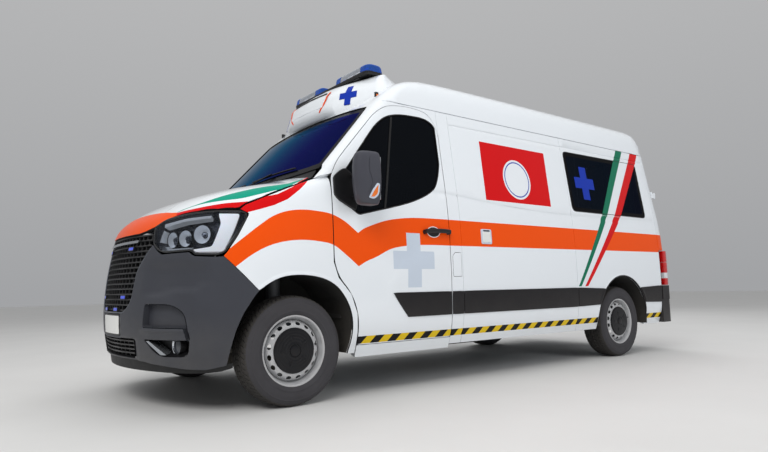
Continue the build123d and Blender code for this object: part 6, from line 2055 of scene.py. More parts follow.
# two pods, each clear over its middle and blue at its ends
lens_parts = []
pod = rounded([(112, 868), (598, 868), (598, 1058), (112, 1058)], [40, 60, 60, 40], 6)
pod = divide(ccw(pod), 30)
for a, b, m_ in ((112, 206, 2), (210, 504, 1), (508, 598, 2)):
    o = np.stack([np.clip(pod[:, 0], a, b), pod[:, 1] - 963], 1)
    keep = [o[0]]
    for p in o[1:]:
        if np.linalg.norm(p - keep[-1]) > 1.0:
            keep.append(p)
    if np.linalg.norm(keep[0] - keep[-1]) < 1.0:
        keep.pop()
    kp = np.array(keep)
    cx = (112 + 598) / 2
    fr3 = [(np.array([cx, 963.0, z]), np.array([a_, 0, 0]), np.array([0, b_, 0])) for z, a_, b_ in ((2476, 0.99, 0.96), (2480, 0.992, 0.97), (2520, 0.975, 0.90), (2534, 0.955, 0.80), (2541, 0.92, 0.62), (2543.5, 0.86, 0.40))]
    q = sweep_data(kp - [cx, 0], fr3, m_, sharp=50)
    lens_parts += [q, flip(q)]
emit("lightbar_base", lb, [M_BLACK], replaces=("lightbar",), slot="dark_plastic")
emit("lightbar_lens", lens_parts, [M_BLACK, M_LBCLEAR, M_LBBLUE], slot="lamp")
li = []
for i, x in enumerate((-540, -430, -320, -205, 205, 320, 430, 540)):
    li.append(box_data((x - 46, 905, 2480), (x + 46, 1020, 2486), 2, 0))
    for s in (912, 1014):
        li.append(box_data((x - 42, s - 8, 2486), (x + 42, s + 8, 2516), 3, 1))
        for j in (-28, -9, 9, 28):
            li.append(lathe_data([(0, -2), (6, -2), (7.5, 2), (7.5, 6), (0, 6)], (x + j, s - (10 if s < 960 else -10), 2501), 14, 1, 3 if abs(x) in (320, 430) else 2))
emit("lightbar_modules", li, [M_DARK_AND_SHADE, M_CHROME, M_BLUEL, M_DRL], slot="lamp")
for x in (-430, 430):
    emit("lightbar_foot_" + ("left" if x > 0 else "right"), [box_data((x - 40, 880, 2440), (x + 40, 1046, 2452), 4, 0)], [M_BLACK], slot="dark_plastic")


# ------------------------------------------------------------------ wheels
M_TYRE = mat("tyre_rubber", lin((60, 59, 62)), rough=0.78, spec=0.35, tone=0.16, tone_scale=7.0, grain=0.14, grain_scale=700.0, grain2=0.05, grain2_scale=60.0, rough_var=0.1)
M_TREAD = mat("tyre_tread", lin((60, 58, 56)), rough=0.86, spec=0.3, tone=0.22, tone_scale=14.0, grain=0.2, grain_scale=500.0, rough_var=0.08)
M_RIM = mat("wheel_silver", lin((186, 187, 189)), rough=0.36, metal=0.45, tone=0.07, tone_scale=18.0, grain=0.03, grain_scale=700.0, wear=0.15, wear_color=lin((120, 96, 78)))
M_CAP = mat("hub_cap_black", lin((12, 12, 16)), rough=0.34, coat=0.1, spec=0.3, tone=0.18, tone_scale=20.0, grain=0.05, grain_scale=900.0)
WHEELS = (("front_left", 875.0, 0.0, 1), ("front_right", -875.0, 0.0, -1), ("rear_left", 865.0, 3682.0, 1), ("rear_right", -865.0, 3682.0, -1))


def tread_blocks(mat_=0):
    """Five rows of blocks round the tyre, as one data set about the x axis."""
    rows_ = [(-14, 14, 0.0, 60, 0.86), (19, 46, 0.35, 60, 0.84), (-46, -19, 0.35, 60, 0.84), (51, 97, 0.7, 64, 0.80), (-97, -51, 0.7, 64, 0.80)]
    crown = lambda a: np.interp(abs(a), [0, 60, 92, 99], [344.6, 343.8, 337.6, 332.5])
    P, F, N = [], [], []
    for a0, a1, off, n, fill in rows_:
        st = np.linspace(a0, a1, 4)
        for i in range(n):
            t0 = (i + off) * 2 * math.pi / n
            w = 2 * math.pi / n * fill
            lean_ = 0.035 * (1 if (a0 + a1) > 0 else -1) * (1 if abs(a0 + a1) > 1 else 0)
            ring_ = []
            for j, a in enumerate(st):
                sk = lean_ * (j - 1.5) / 1.5
                r = float(crown(a))
                if abs(a) > 93:
                    r -= 2.0
                for t in (t0 + sk, t0 + sk + w * 0.5, t0 + sk + w):
                    ring_.append((a, t, r))
            b = len(P)
            for a, t, r in ring_:
                P.append((a, r * math.cos(t), r * math.sin(t)))
            for a, t, r in ring_:
                P.append((a, (r - 9) * math.cos(t), (r - 9) * math.sin(t)))
            m = 12
            for j in range(3):
                for q in range(2):
                    i0 = b + j * 3 + q
                    F.append((i0, i0 + 1, i0 + 4, i0 + 3))
            edge = [0, 1, 2, 5, 8, 11, 10, 9, 6, 3]
            for q in range(len(edge)):
                e0, e1 = edge[q], edge[(q + 1) % len(edge)]
                F.append((b + e0, b + m + e0, b + m + e1, b + e1))
    bm = bmesh.new()
    vs_ = [bm.verts.new(p) for p in P]
    for f in F:
        bm.faces.new([vs_[i] for i in f])
    # outward normals: the first face of each block looks away from the axis
    bm.normal_update()
    P2, F2, N2, M2 = [], [], [], []
    for f in bm.faces:
        c = f.calc_center_median()
        n_ = f.normal.copy()
        idx = list(range(len(P2), len(P2) + len(f.verts)))
        vv = [tuple(v.co) for v in f.verts]
        P2 += vv
        N2 += [tuple(n_)] * len(vv)
        F2.append(tuple(idx))
        M2.append(mat_)
    bm.free()
    P2, N2 = np.array(P2), np.array(N2)
    # turn any block face that looks inwards
    out_ = []
    for f in F2:
        c = P2[list(f)].mean(0)
        n_ = N2[f[0]]
        rad = np.array([0, c[1], c[2]])
        rad /= np.linalg.norm(rad)
        top = abs(n_ @ rad) > 0.8
        if top and n_ @ rad < 0:
            N2[list(f)] = -n_
            f = tuple(reversed(f))
        out_.append(f)
    return P2, out_, M2, N2


BLOCKS = tread_blocks(1)
TY = [(214, 84), (219, 92), (223, 99), (229, 103.5), (240, 107.5), (245, 110.2), (248, 110.8), (251, 109.6), (262, 111.0), (276, 112.0), (285, 112.2), (296, 110.8), (300, 109.8), (302, 110.4), (305, 110.2), (308, 107.8), (318, 104.2), (327, 98.8), (333, 93), (335.5, 84)]
groove = []
for a in (48.5, 16.5, -16.5, -48.5):
    groove += [(335.5, a + 2.5), (333.6, a + 1.6), (333.6, a - 1.6), (335.5, a - 2.5)]
TYP = TY + groove + [(r, -a) for r, a in TY[::-1]]
tyre_one = lathe_data(TYP, (0, 0, 0), 96, 0, 0, flat=32)
ribs_ = []
RIMP = [(206, -96), (214, -98), (221, -96.5), (222, -91), (217, -88), (203, -85), (200, -60), (186, -20), (186, 20), (198, 44), (203, 80), (212, 89), (221, 91), (224, 94.5), (221, 97.6), (214, 97.8), (210, 95), (206, 86), (201, 74), (197, 60), (193.5, 50), (191, 45), (187, 43)]
rim_b = lathe_data(RIMP, (0, 0, 0), 96, 0, 0, flat=40)
rim_back = lathe_data([(206, -96), (200, -84), (196, -60), (183, -20), (183, 20), (187, 43)][::-1], (0, 0, 0), 72, 0, 0, flat=40)
DISC_R = [0, 84, 118, 134, 142, 160, 176, 184, 190, 192]
DISC_A = [58, 58, 82, 88, 89, 86, 79, 67, 51, 46]


class Polar:
    """Wheel disc: (u, v) is the plane of the wheel, the height comes from the radius."""
    def at(self, uv):
        uv = np.asarray(uv, float)
        r = np.hypot(uv[:, 0], uv[:, 1])
        rs = np.linspace(0, 200, 201)
        hs = np.interp(rs, DISC_R, DISC_A)
        hs = np.convolve(np.pad(hs, 6, mode="edge"), np.ones(13) / 13, "valid")
        a = np.interp(r, rs, hs)
        d = (np.interp(r + 1, rs, hs) - np.interp(r - 1, rs, hs)) / 2
        P = np.stack([a, uv[:, 0], uv[:, 1]], 1)
        N = np.stack([np.ones(len(r)), -d * uv[:, 0] / np.maximum(r, 1e-6), -d * uv[:, 1] / np.maximum(r, 1e-6)], 1)
        N /= np.linalg.norm(N, axis=1, keepdims=True)
        return P, N


hole_list = []
for i in range(16):
    t = (i + 0.5) * 2 * math.pi / 16
    c_, s_ = math.cos(t), math.sin(t)
    o = circle((0, 0), 11.5, 18, 18.0)
    o = np.stack([170 * c_ + o[:, 0] * c_ - o[:, 1] * s_, 170 * s_ + o[:, 0] * s_ + o[:, 1] * c_], 1)
    hole_list.append(o)
hole_list.append(circle((0, 0), 104, 40))
disc_one = panel_mesh(Polar(), circle((0, 0), 190, 72), holes=hole_list, grid=22, gap=0, edge=1.2, thick=4)
CAPP = [(104, 50), (141, 60), (143, 67), (142, 72), (138.5, 76.5), (132, 78.5), (122, 79.6), (118, 79.0), (116, 79.9), (100, 81.0), (98, 80.4), (96, 81.3), (80, 82.2), (78, 81.6), (76, 82.5), (60, 83.0), (58, 82.4), (56, 83.2), (42, 83.6), (40, 80.5), (36, 80.2), (34, 84.0), (28, 85.2), (14, 86.0), (0, 86.2)]
CAPP = [(r, a + 22.0) for r, a in CAPP]
cap_one = lathe_data(CAPP, (0, 0, 0), 72, 0, 0, flat=24)
lugs = []
for i in range(5):
    t = math.radians(18 + i * 72)
    q = box_data((100, -7, 62), (106.6, 7, 100), 2.5, 0)
    lugs.append(turn(q, (1, 0, 0), math.degrees(t)))
    q = box_data((100, 12, 66), (105.6, 18, 94), 2.0, 0)
    lugs.append(turn(q, (1, 0, 0), math.degrees(t)))
valve = tube_data([(72, 150, 30), (94, 153, 30), (104, 154, 30)], 4.2, 8, 0)
weight = box_data((88, -22, 206), (94, 22, 212), 2, 0)


def facing(part, k):
    return part if k > 0 else flip(part)


for name, x, s, k in WHEELS:
    c = (x, s, 345.0)
    body = "wheel_" + name
    emit("tyre_carcass_" + name, [shift(facing(q, k), c) for q in (tyre_one, BLOCKS)], [M_TYRE, M_TREAD], body=body, replaces=("tyre_" + name,), slot="tyre")
    emit("wheel_rim_" + name, [shift(facing(q, k), c) for q in (rim_b, rim_back, disc_one)], [M_RIM], body=body, replaces=("rim_" + name,), slot="wheel_steel")
    emit("hub_cap_" + name, [shift(facing(q, k), c) for q in [cap_one] + lugs + [valve]], [M_CAP], body=body, slot="dark_plastic")

# ------------------------------------------------------------------ wheel arch liners
M_ARCH = mat("arch_liner", lin((26, 26, 27)), rough=0.85, tone=0.2, tone_scale=12.0, grain=0.3, grain_scale=160.0, dust=0.5, dust_top=0.9, dust_color=(0.10, 0.09, 0.075))
for name, mir, k in SIDES:
    th = np.linspace(math.radians(-6), math.radians(188), 29)
    # front: follows the opening, set in behind the wing
    path = np.array([(p[0] * 0.985, p[1]) for p in divide(curve(ARCH_FRONT, 3), 40, closed=False)])
    cen_ = np.array([-40.0, 380.0])
    d_ = path - cen_
    ln = np.linalg.norm(d_, axis=1, keepdims=True)
    path = cen_ + d_ / ln * (ln + 5)
    V, F = [], []
    for i, p in enumerate(path):
        xo = float(front_side.at(np.array([(p[0], p[1])]))[0][0, 0]) - (15.5 if p[0] > -255 else 17.0)
        wob = 3.0 * math.sin(i * 1.3)
        V += [(xo, p[0], p[1]), (xo - 60, p[0] + d_[i][0] / ln[i][0] * (2 + wob), p[1] + d_[i][1] / ln[i][0] * (2 + wob)), (560, p[0] + d_[i][0] / ln[i][0] * 6, p[1] + d_[i][1] / ln[i][0] * 6)]
    for i in range(len(path) - 1):
        for j in range(2):
            F.append((i * 3 + j, i * 3 + j + 1, (i + 1) * 3 + j + 1, (i + 1) * 3 + j))
    # apron on the engine side, down to the drive shaft's height
    hi_ = [i for i in range(len(path)) if V[i * 3 + 2][2] > 530]
    low_ = {}
    for i in hi_:
        low_[i] = len(V)
        V.append((558, V[i * 3 + 2][1], 520.0))
    for a_, b_ in zip(hi_[:-1], hi_[1:]):
        F.append((a_ * 3 + 2, low_[a_], low_[b_], b_ * 3 + 2))
    bm = bmesh.new()
    vs_ = [bm.verts.new(v) for v in V]
    for f in F:
        bm.faces.new([vs_[i] for i in f])
    q = bm_data(bm, 0, 40)
    if mir:
        q = flip(q)
    emit("arch_liner_front_" + name, [q], [M_ARCH], slot="underbody")
    # rear
    V, F = [], []
    for i, t in enumerate(th):
        r = ARCH_REAR_R - 1.5
        p = (ARCH_REAR_C[0] - r * math.cos(t), ARCH_REAR_C[1] + r * math.sin(t))
        V += [(1022, p[0], p[1]), (960, p[0], p[1] + 0.5), (700, p[0], p[1] + 1.5)]
    for i in range(len(th) - 1):
        for j in range(2):
            F.append((i * 3 + j, i * 3 + j + 1, (i + 1) * 3 + j + 1, (i + 1) * 3 + j))
    bm = bmesh.new()
    vs_ = [bm.verts.new(v) for v in V]
    for f in F:
        bm.faces.new([vs_[i] for i in f])
    q = bm_data(bm, 0, 40)
    # black lip round the edge of the rear arch
    t2 = np.linspace(math.radians(4), math.radians(176), 41)
    lip_o = [(ARCH_REAR_C[0] - (ARCH_REAR_R + 8) * math.cos(t), ARCH_REAR_C[1] + (ARCH_REAR_R + 8) * math.sin(t)) for t in t2]
    lip_i = [(ARCH_REAR_C[0] - (ARCH_REAR_R - 4) * math.cos(t), ARCH_REAR_C[1] + (ARCH_REAR_R - 4) * math.sin(t)) for t in t2[::-1]]
    lip_ = slab_data(side_dom, ccw(np.array(lip_o + lip_i)), -3, 10, 1, edge=2.5, grid=60)
    if mir:
        q, lip_ = flip(q), flip(lip_)
    emit("arch_liner_rear_" + name, [q, lip_], [M_ARCH, M_MOULD], slot="underbody")


# ------------------------------------------------------------------ tail lamps
M_REDL = mat("red_lens", lin((176, 6, 10)), rough=0.10, coat=1.0, tone=0.12, cells=0.5, cells_scale=170.0, emission=lin((150, 0, 0)), strength=0.10)
M_CLRL = mat("reversing_lens", lin((206, 208, 212)), rough=0.14, coat=1.0, tone=0.06, cells=0.5, cells_scale=170.0)
lamp_plan = ccw(rounded([(931, 4558), (975, 4487), (1042, 4486), (1045, 4545), (1016, 4598), (931, 4612)], [10, 22, 14, 40, 40, 10], 6))
lc = lamp_plan.mean(0)
BANDS = [(692, 764, 1), (766, 822, 3), (824, 936, 1), (938, 1058, 1)]
for name, mir, k in SIDES:
    parts = []
    for z0, z1, m_ in BANDS:
        lv_ = [(z0, 0.955), (z0 + 3, 0.985), (z0 + 8, 1.0), (z1 - 8, 1.0), (z1 - 3, 0.985), (z1, 0.955)]
        fr_ = []
        for z, sc_ in lv_:
            tp = 1.0 - 0.05 * ease(np.array(z), 960, 1058)
            fr_.append((np.array([lc[0], lc[1], z]), np.array([sc_ * float(tp), 0, 0]), np.array([0, sc_ * float(tp), 0])))
        parts.append(sweep_data(lamp_plan - lc, fr_, m_, sharp=50))
    # black base on the inboard side
    parts.append(box_data((928, 4556, 692), (940, 4606, 1056), 4, 0))
    if mir:
        parts = [flip(q) for q in parts]
    emit("tail_lamp_" + name, parts, [M_BLACK, M_REDL, M_AMBER, M_CLRL], replaces=("tail_lights",) if k > 0 else (), slot="red_lens")

# ------------------------------------------------------------------ rear door fittings
for name, mir, k in SIDES:
    body = f"rear_door_{name}_body"
    win = rounded([(140, 1400), (762, 1400), (712, 2060), (640, 2150), (140, 2150)], [60, 60, 60, 60, 60], 6)
    P, f, m, n = panel_mesh(Deep(rear_dom, 3), win, regions=[(inset(win, 36), 1)], grid=70, gap=4, edge=0, skin_only=True)
    make("rear_glass_" + name, P, f, [M_FRIT, M_PRIV], m, n, body=body, replaces=(f"rear_window_{name}",), slot="glass", mirror=mir)
    parts = [rim_tube(rear_dom, inset(win, 2), 4.5, 2)]
    # pressed frame in the lower half, drawn as a thin dark grey rod: painted shade of the pressing
    for o, d in ((rounded(rect(90, 640, 800, 985), 40, 6), 2.6),):
        ring_o = o
        parts.append(rim_tube(rear_dom, ring_o, 3.2, 1.2, 2))
    # three outer hinges
    for z in (615.0, 1150.0, 1690.0):
        sx = float(rear_plane(z)) + 22
        parts.append(box_data((842, sx - 8, z - 26), (896, sx + 4, z + 26), 5, 1))
        parts.append(lathe_data([(0, -34), (9, -34), (11, -31), (11, 31), (9, 34), (0, 34)], (905, 4632, z), 20, 2, 1))
        for dz in (-14, 14):
            parts.append(lathe_data([(0, 2), (7, 2), (8, 0), (8, -3), (0, -3)][::-1], (862, sx + 5, z + dz), 6, 1, 1))
    # door check buffer by the middle, and a handle on its plate
    if k > 0:
        parts.append(slab_data(rear_dom, rect(4, 1240, 60, 1320), -18, 0, 0, edge=5, grid=30))
        parts.append(slab_data(rear_dom, rounded(rect(26, 1060, 96, 1196), 16, 5), -8, 1, 0, edge=4, grid=30))
        h_ = curve([(60, 4610, 1080), (60, 4634, 1092), (60, 4636, 1130), (60, 4634, 1168), (60, 4610, 1180)], 6)
        parts.append(tube_data(h_, 9, 12, 0))
    if mir:
        parts = [flip(q) for q in parts]
    emit("rear_door_fittings_" + name, parts, [M_BLACK, M_WHITE, M_DARK_AND_SHADE], body=body, slot="dark_plastic")
# arms on the posts that carry the hinge pins
for name, mir, k in SIDES:
    parts = []
    for z in (615.0, 1150.0, 1690.0):
        sb = 4580 - max(0.0, z + 35 - 1200) * 85 / 1080
        parts.append(box_data((892, sb - 8, z - 26), (918, 4642, z + 26), 7, 0, 3))
        parts.append(box_data((894, sb - 12, z - 38), (936, sb + 6, z + 38), 5, 0, 3))
        parts.append(lathe_data([(0, -34), (9, -34), (11, -31), (11, 31), (9, 34), (0, 34)][::1], (905, 4632, z), 18, 2, 0))
    if mir:
        parts = [flip(q) for q in parts]
    emit("hinge_arms_" + name, parts, [M_WHITE], slot="paint")
# blank registration plate and its lamp, on the left door
P_ = [slab_data(rear_dom, rounded(rect(150, 770, 690, 900), 10, 4), -5, 1, 0, edge=2, grid=50), slab_data(rear_dom, rounded(rect(160, 780, 680, 890), 8, 4), -8, -4, 1, edge=1.2, grid=50), slab_data(rear_dom, rounded(rect(330, 908, 510, 936), 8, 4), -16, 0, 0, edge=5, grid=30)]
emit("blank_plate_rear", P_, [M_BLACK, M_PLATE], body="rear_door_left_body", slot="dark_plastic")
# high brake lamp and blue lamps over the doors
q = [slab_data(rear_dom, rounded(rect(-150, 2362, 150, 2392), 12, 5), -12, 4, 0, edge=4, grid=40)]
emit("high_brake_lamp", q, [M_REDL], slot="red_lens")
for name, mir, k in SIDES:
    q = [slab_data(rear_dom, rounded(rect(420, 2362, 560, 2404), 14, 5), -6, 2, 1, edge=3, grid=30), slab_data(rear_dom, rounded(rect(430, 2370, 550, 2396), 10, 5), -14, -4, 0, edge=4, grid=30)]
    if mir:
        q = [flip(t) for t in q]
    emit("rear_blue_lamp_" + name, q, [M_BLUEL, M_BLACK], slot="lamp")

# ------------------------------------------------------------------ rear bumper
st_ = []
for i in range(12):
    y0 = 4622 + i * 6.6
    st_.append(box_data((-640, y0, 541.0), (640, y0 + 3.4, 544.5), 1.2, 0, 1))
st_.append(box_data((-650, 4616, 538), (650, 4703 - 3, 542.4), 1.6, 0, 1))
emit("step_pad", st_, [M_MOULD], slot="dark_plastic")
for name, mir, k in SIDES:
    q = [shift(box_data((-62, -3, -16), (62, 5, 16), 3, 0), (800, 4690.5, 440))]
    q[0] = turn(q[0], (0, 0, 1), -8.5, (800, 4690.5, 440))
    if mir:
        q = [flip(t) for t in q]
    emit("rear_reflector_" + name, q, [M_REDL], slot="red_lens")
for i, x in enumerate((-560, -200, 200, 560)):
    emit(f"park_sensor_{i}", [lathe_data([(0, 5), (8, 4.6), (10.5, 3), (11, 0), (11, -4), (0, -4)], (x, 4703 - 0.023 * abs(x) * 0.9, 420), 24, 1, 0)], [M_BLACK], slot="dark_plastic")

# ------------------------------------------------------------------ stripes that cross the rear side windows
for name, mir, k in SIDES:
    parts = []
    for (a, b, c_, d, m_) in ((3428, 3517, 3823, 3941, 0), (3517, 3643, 3941, 4099, 1), (3643, 3755, 4099, 4241, 2)):
        o = ccw(np.array([(a - 6, 1392), (b - 6, 1392), (d + 8, 2016), (c_ + 8, 2016)]))
        P, f, m, n = panel_mesh(Deep(side_dom, -0.8), o, grid=80, gap=0.0, edge=0.3, thick=1.2)
        q = (P, f, [m_] * len(f), n)
        parts.append(flip(q) if mir else q)
    emit("window_stripes_" + name, parts, [M_GREEND, M_WHITE, M_RED], slot="paint")


# ------------------------------------------------------------------ seats: cloth over foam
def fabric(name, color, scale=260.0, color2=None):
    """Woven upholstery: crossed threads, tone, sheen."""
    m = bpy.data.materials.new(name)
    nt, bs, out = nodes_of(m)
    L = nt.links.new
    tc = node(nt, "ShaderNodeTexCoord")
    w = []
    for d in ("X", "Z", "Y"):
        t = node(nt, "ShaderNodeTexWave", wave_type="BANDS", bands_direction=d)
        t.inputs["Scale"].default_value = scale
        t.inputs["Distortion"].default_value = 0.6
        t.inputs["Detail"].default_value = 1.0
        L(tc.outputs["Object"], t.inputs["Vector"])
        w.append(t)
    a = node(nt, "ShaderNodeMath", operation="MULTIPLY")
    L(w[0].outputs["Fac"], a.inputs[0])
    L(w[1].outputs["Fac"], a.inputs[1])
    b = node(nt, "ShaderNodeMath", operation="ADD")
    L(a.outputs[0], b.inputs[0])
    L(w[2].outputs["Fac"], b.inputs[1])
    n1 = node(nt, "ShaderNodeTexNoise")
    n1.inputs["Scale"].default_value = 14.0
    n1.inputs["Detail"].default_value = 8.0
    L(tc.outputs["Object"], n1.inputs["Vector"])
    mx = node(nt, "ShaderNodeMix", data_type="RGBA")
    c2 = color2 or tuple(min(1, c * 1.7 + 0.01) for c in color)
    mx.inputs[6].default_value = (*[c * 0.72 for c in color], 1)
    mx.inputs[7].default_value = (*c2, 1)
    k = node(nt, "ShaderNodeMath", operation="MULTIPLY")
    L(b.outputs[0], k.inputs[0])
    L(n1.outputs[0], k.inputs[1])
    L(k.outputs[0], mx.inputs[0])
    L(mx.outputs[2], bs.inputs["Base Color"])
    mr = node(nt, "ShaderNodeMapRange")
    mr.inputs["To Min"].default_value = 0.78
    mr.inputs["To Max"].default_value = 0.95
    L(n1.outputs[0], mr.inputs[0])
    L(mr.outputs[0], bs.inputs["Roughness"])
    bs.inputs["Sheen Weight"].default_value = 0.25
    bs.inputs["Sheen Roughness"].default_value = 0.4
    bp = node(nt, "ShaderNodeBump")
    bp.inputs["Strength"].default_value = 0.35
    bp.inputs["Distance"].default_value = 0.0015
    L(b.outputs[0], bp.inputs["Height"])
    bp2 = node(nt, "ShaderNodeBump")
    bp2.inputs["Strength"].default_value = 0.25
    bp2.inputs["Distance"].default_value = 0.004
    L(n1.outputs[0], bp2.inputs["Height"])
    L(bp.outputs[0], bp2.inputs["Normal"])
    L(bp2.outputs[0], bs.inputs["Normal"])
    m.diffuse_color = (*color, 1)
    return m


M_CLOTH = fabric("seat_cloth_grey", lin((62, 64, 70)))
M_CLOTHB = fabric("seat_cloth_dark", lin((38, 39, 43)), 320.0)
M_VINYL = mat("vinyl_blue", lin((44, 66, 104)), rough=0.48, coat=0.15, tone=0.08, tone_scale=14.0, cells=0.22, cells_scale=600.0, grain=0.08, grain_scale=900.0, wear=0.15)


def pad(name, lo, hi, mats, tilt=0.0, pivot=None, crown=18.0, channels=(), cols=(), body="body", replaces=(), pull=0.06, round_=34.0, lift=6.0):
    """Cushion: a rounded block swollen by cloth under pressure, then sewn channels pressed in. Sizes in mm before the tilt about x."""
    lo, hi = np.asarray(lo, float), np.asarray(hi, float)
    c, d = (lo + hi) / 2, (hi - lo) / 2
    grow = np.array([lift, lift, lift])
    dd = d - grow
    bm = bmesh.new()
    bmesh.ops.create_cube(bm, size=2.0)
    bmesh.ops.subdivide_edges(bm, edges=list(bm.edges), cuts=15, use_grid_fill=True)
    thin = int(np.argmin(d))
    for v in bm.verts:
        q = np.array(v.co)
        # sides pull in between the corners
        other = [i for i in range(3) if i != thin]
        f = 1 - pull * (1 - (q[other[0]] ** 2) * 1.0) * abs(q[other[1]]) ** 3
        g = 1 - pull * (1 - (q[other[1]] ** 2) * 1.0) * abs(q[other[0]]) ** 3
        p = q * dd
        p[other[1]] *= f
        p[other[0]] *= g
        # crown on the broad faces
        k = (1 - abs(q[other[0]]) ** 4) * (1 - abs(q[other[1]]) ** 4)
        p[thin] = q[thin] * (dd[thin] - crown * 0.45 * (1 - k))
        # rounded edges
        r = min(round_, dd.min() * 0.9)
        inner = np.clip(p, -(dd - r), dd - r)
        e = p - inner
        le = np.linalg.norm(e)
        if le > r:
            p = inner + e / le * r
        v.co = Vector((p / 1000).tolist())
    me = bpy.data.meshes.new(name)
    bm.to_mesh(me)
    bm.free()
    ob = bpy.data.objects.new(name, me)
    bpy.context.scene.collection.objects.link(ob)
    bpy.context.view_layer.objects.active = ob
    rm = ob.modifiers.new("r", "REMESH")
    rm.mode = "VOXEL"
    rm.voxel_size = 0.0105
    dg = bpy.context.evaluated_depsgraph_get()
    me2 = bpy.data.meshes.new_from_object(ob.evaluated_get(dg))
    ob.modifiers.clear()
    ob.data = me2
    start = np.zeros(len(me2.vertices) * 3)
    me2.vertices.foreach_get("co", start)
    start = start.reshape(-1, 3)
    cl = ob.modifiers.new("c", "CLOTH")
    cs = cl.settings
    cs.quality = 4
    cs.mass = 0.3
    cs.tension_stiffness = 18
    cs.compression_stiffness = 18
    cs.shear_stiffness = 6
    cs.bending_stiffness = 1.2
    cs.use_pressure = True
    cs.uniform_pressure_force = 4.0
    cs.effector_weights.gravity = 0.0
    cl.collision_settings.use_collision = False
    cl.collision_settings.use_self_collision = False
    sc = bpy.context.scene
    for fr in range(1, 21):
        sc.frame_set(fr)
    dg = bpy.context.evaluated_depsgraph_get()
    me3 = bpy.data.meshes.new_from_object(ob.evaluated_get(dg))
    ob.modifiers.clear()
    ob.data = me3
    sc.frame_set(1)
    co = np.zeros(len(me3.vertices) * 3)
    me3.vertices.foreach_get("co", co)
    co = co.reshape(-1, 3)
    mv = co - start
    ln = np.linalg.norm(mv, axis=1, keepdims=True)
    cap = 0.012
    co = start + mv * np.minimum(1, cap / np.maximum(ln, 1e-9))
    P = co * 1000
    P = np.clip(P, -d, d)
    # sewn channels: pressed lines across the broad faces
    other = [i for i in range(3) if i != thin]
    for ax, vals in ((other[0], cols), (other[1], channels)):
        for t in vals:
            w = np.exp(-((P[:, ax] - t * d[ax]) / 7.0) ** 2)
            P[:, thin] *= 1 - 0.13 * w * (np.abs(P[:, thin]) > d[thin] * 0.3)
    # seam welt all round, at two levels
    q = P / d
    for lev in (-0.62, 0.62):
        w = np.exp(-((q[:, thin] - lev) * d[thin] / 4.0) ** 2)
        rim_ = np.maximum(np.abs(q[:, other[0]]), np.abs(q[:, other[1]])) > 0.86
        for ax in other:
            P[:, ax] -= np.sign(P[:, ax]) * 3.5 * w * rim_ * (np.abs(q[:, ax]) > 0.86)
    if tilt:
        R = np.array(Matrix.Rotation(math.radians(tilt), 3, "X"))
        pv = np.asarray(pivot if pivot is not None else c, float) - c
        P = (P - pv) @ R.T + pv
    P = P + c
    me3.vertices.foreach_set("co", to_m(P).ravel())
    me3.update()
    sb = ob.modifiers.new("s", "SUBSURF")
    sb.levels = sb.render_levels = 1
    dg = bpy.context.evaluated_depsgraph_get()
    me4 = bpy.data.meshes.new_from_object(ob.evaluated_get(dg))
    ob.modifiers.clear()
    ob.data = me4
    ob.name = name
    me4.materials.clear()
    for m in mats:
        me4.materials.append(m)
    # middle panel in the lighter cloth
    n = len(me4.polygons)
    cc = np.zeros(n * 3)
    me4.polygons.foreach_get("center", cc)
    cc = cc.reshape(-1, 3)
    ctr = to_m(np.array([c]))[0]
    if len(mats) > 1:
        idx = (np.abs(cc[:, 0] - ctr[0]) > d[0] / 1000 * 0.62).astype(np.int32)
        me4.polygons.foreach_set("material_index", idx)
    me4.polygons.foreach_set("use_smooth", np.ones(n, bool))
    me4.update()
    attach(ob, body)
    if replaces:
        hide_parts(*replaces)
    PIECES.append(ob)
    return ob


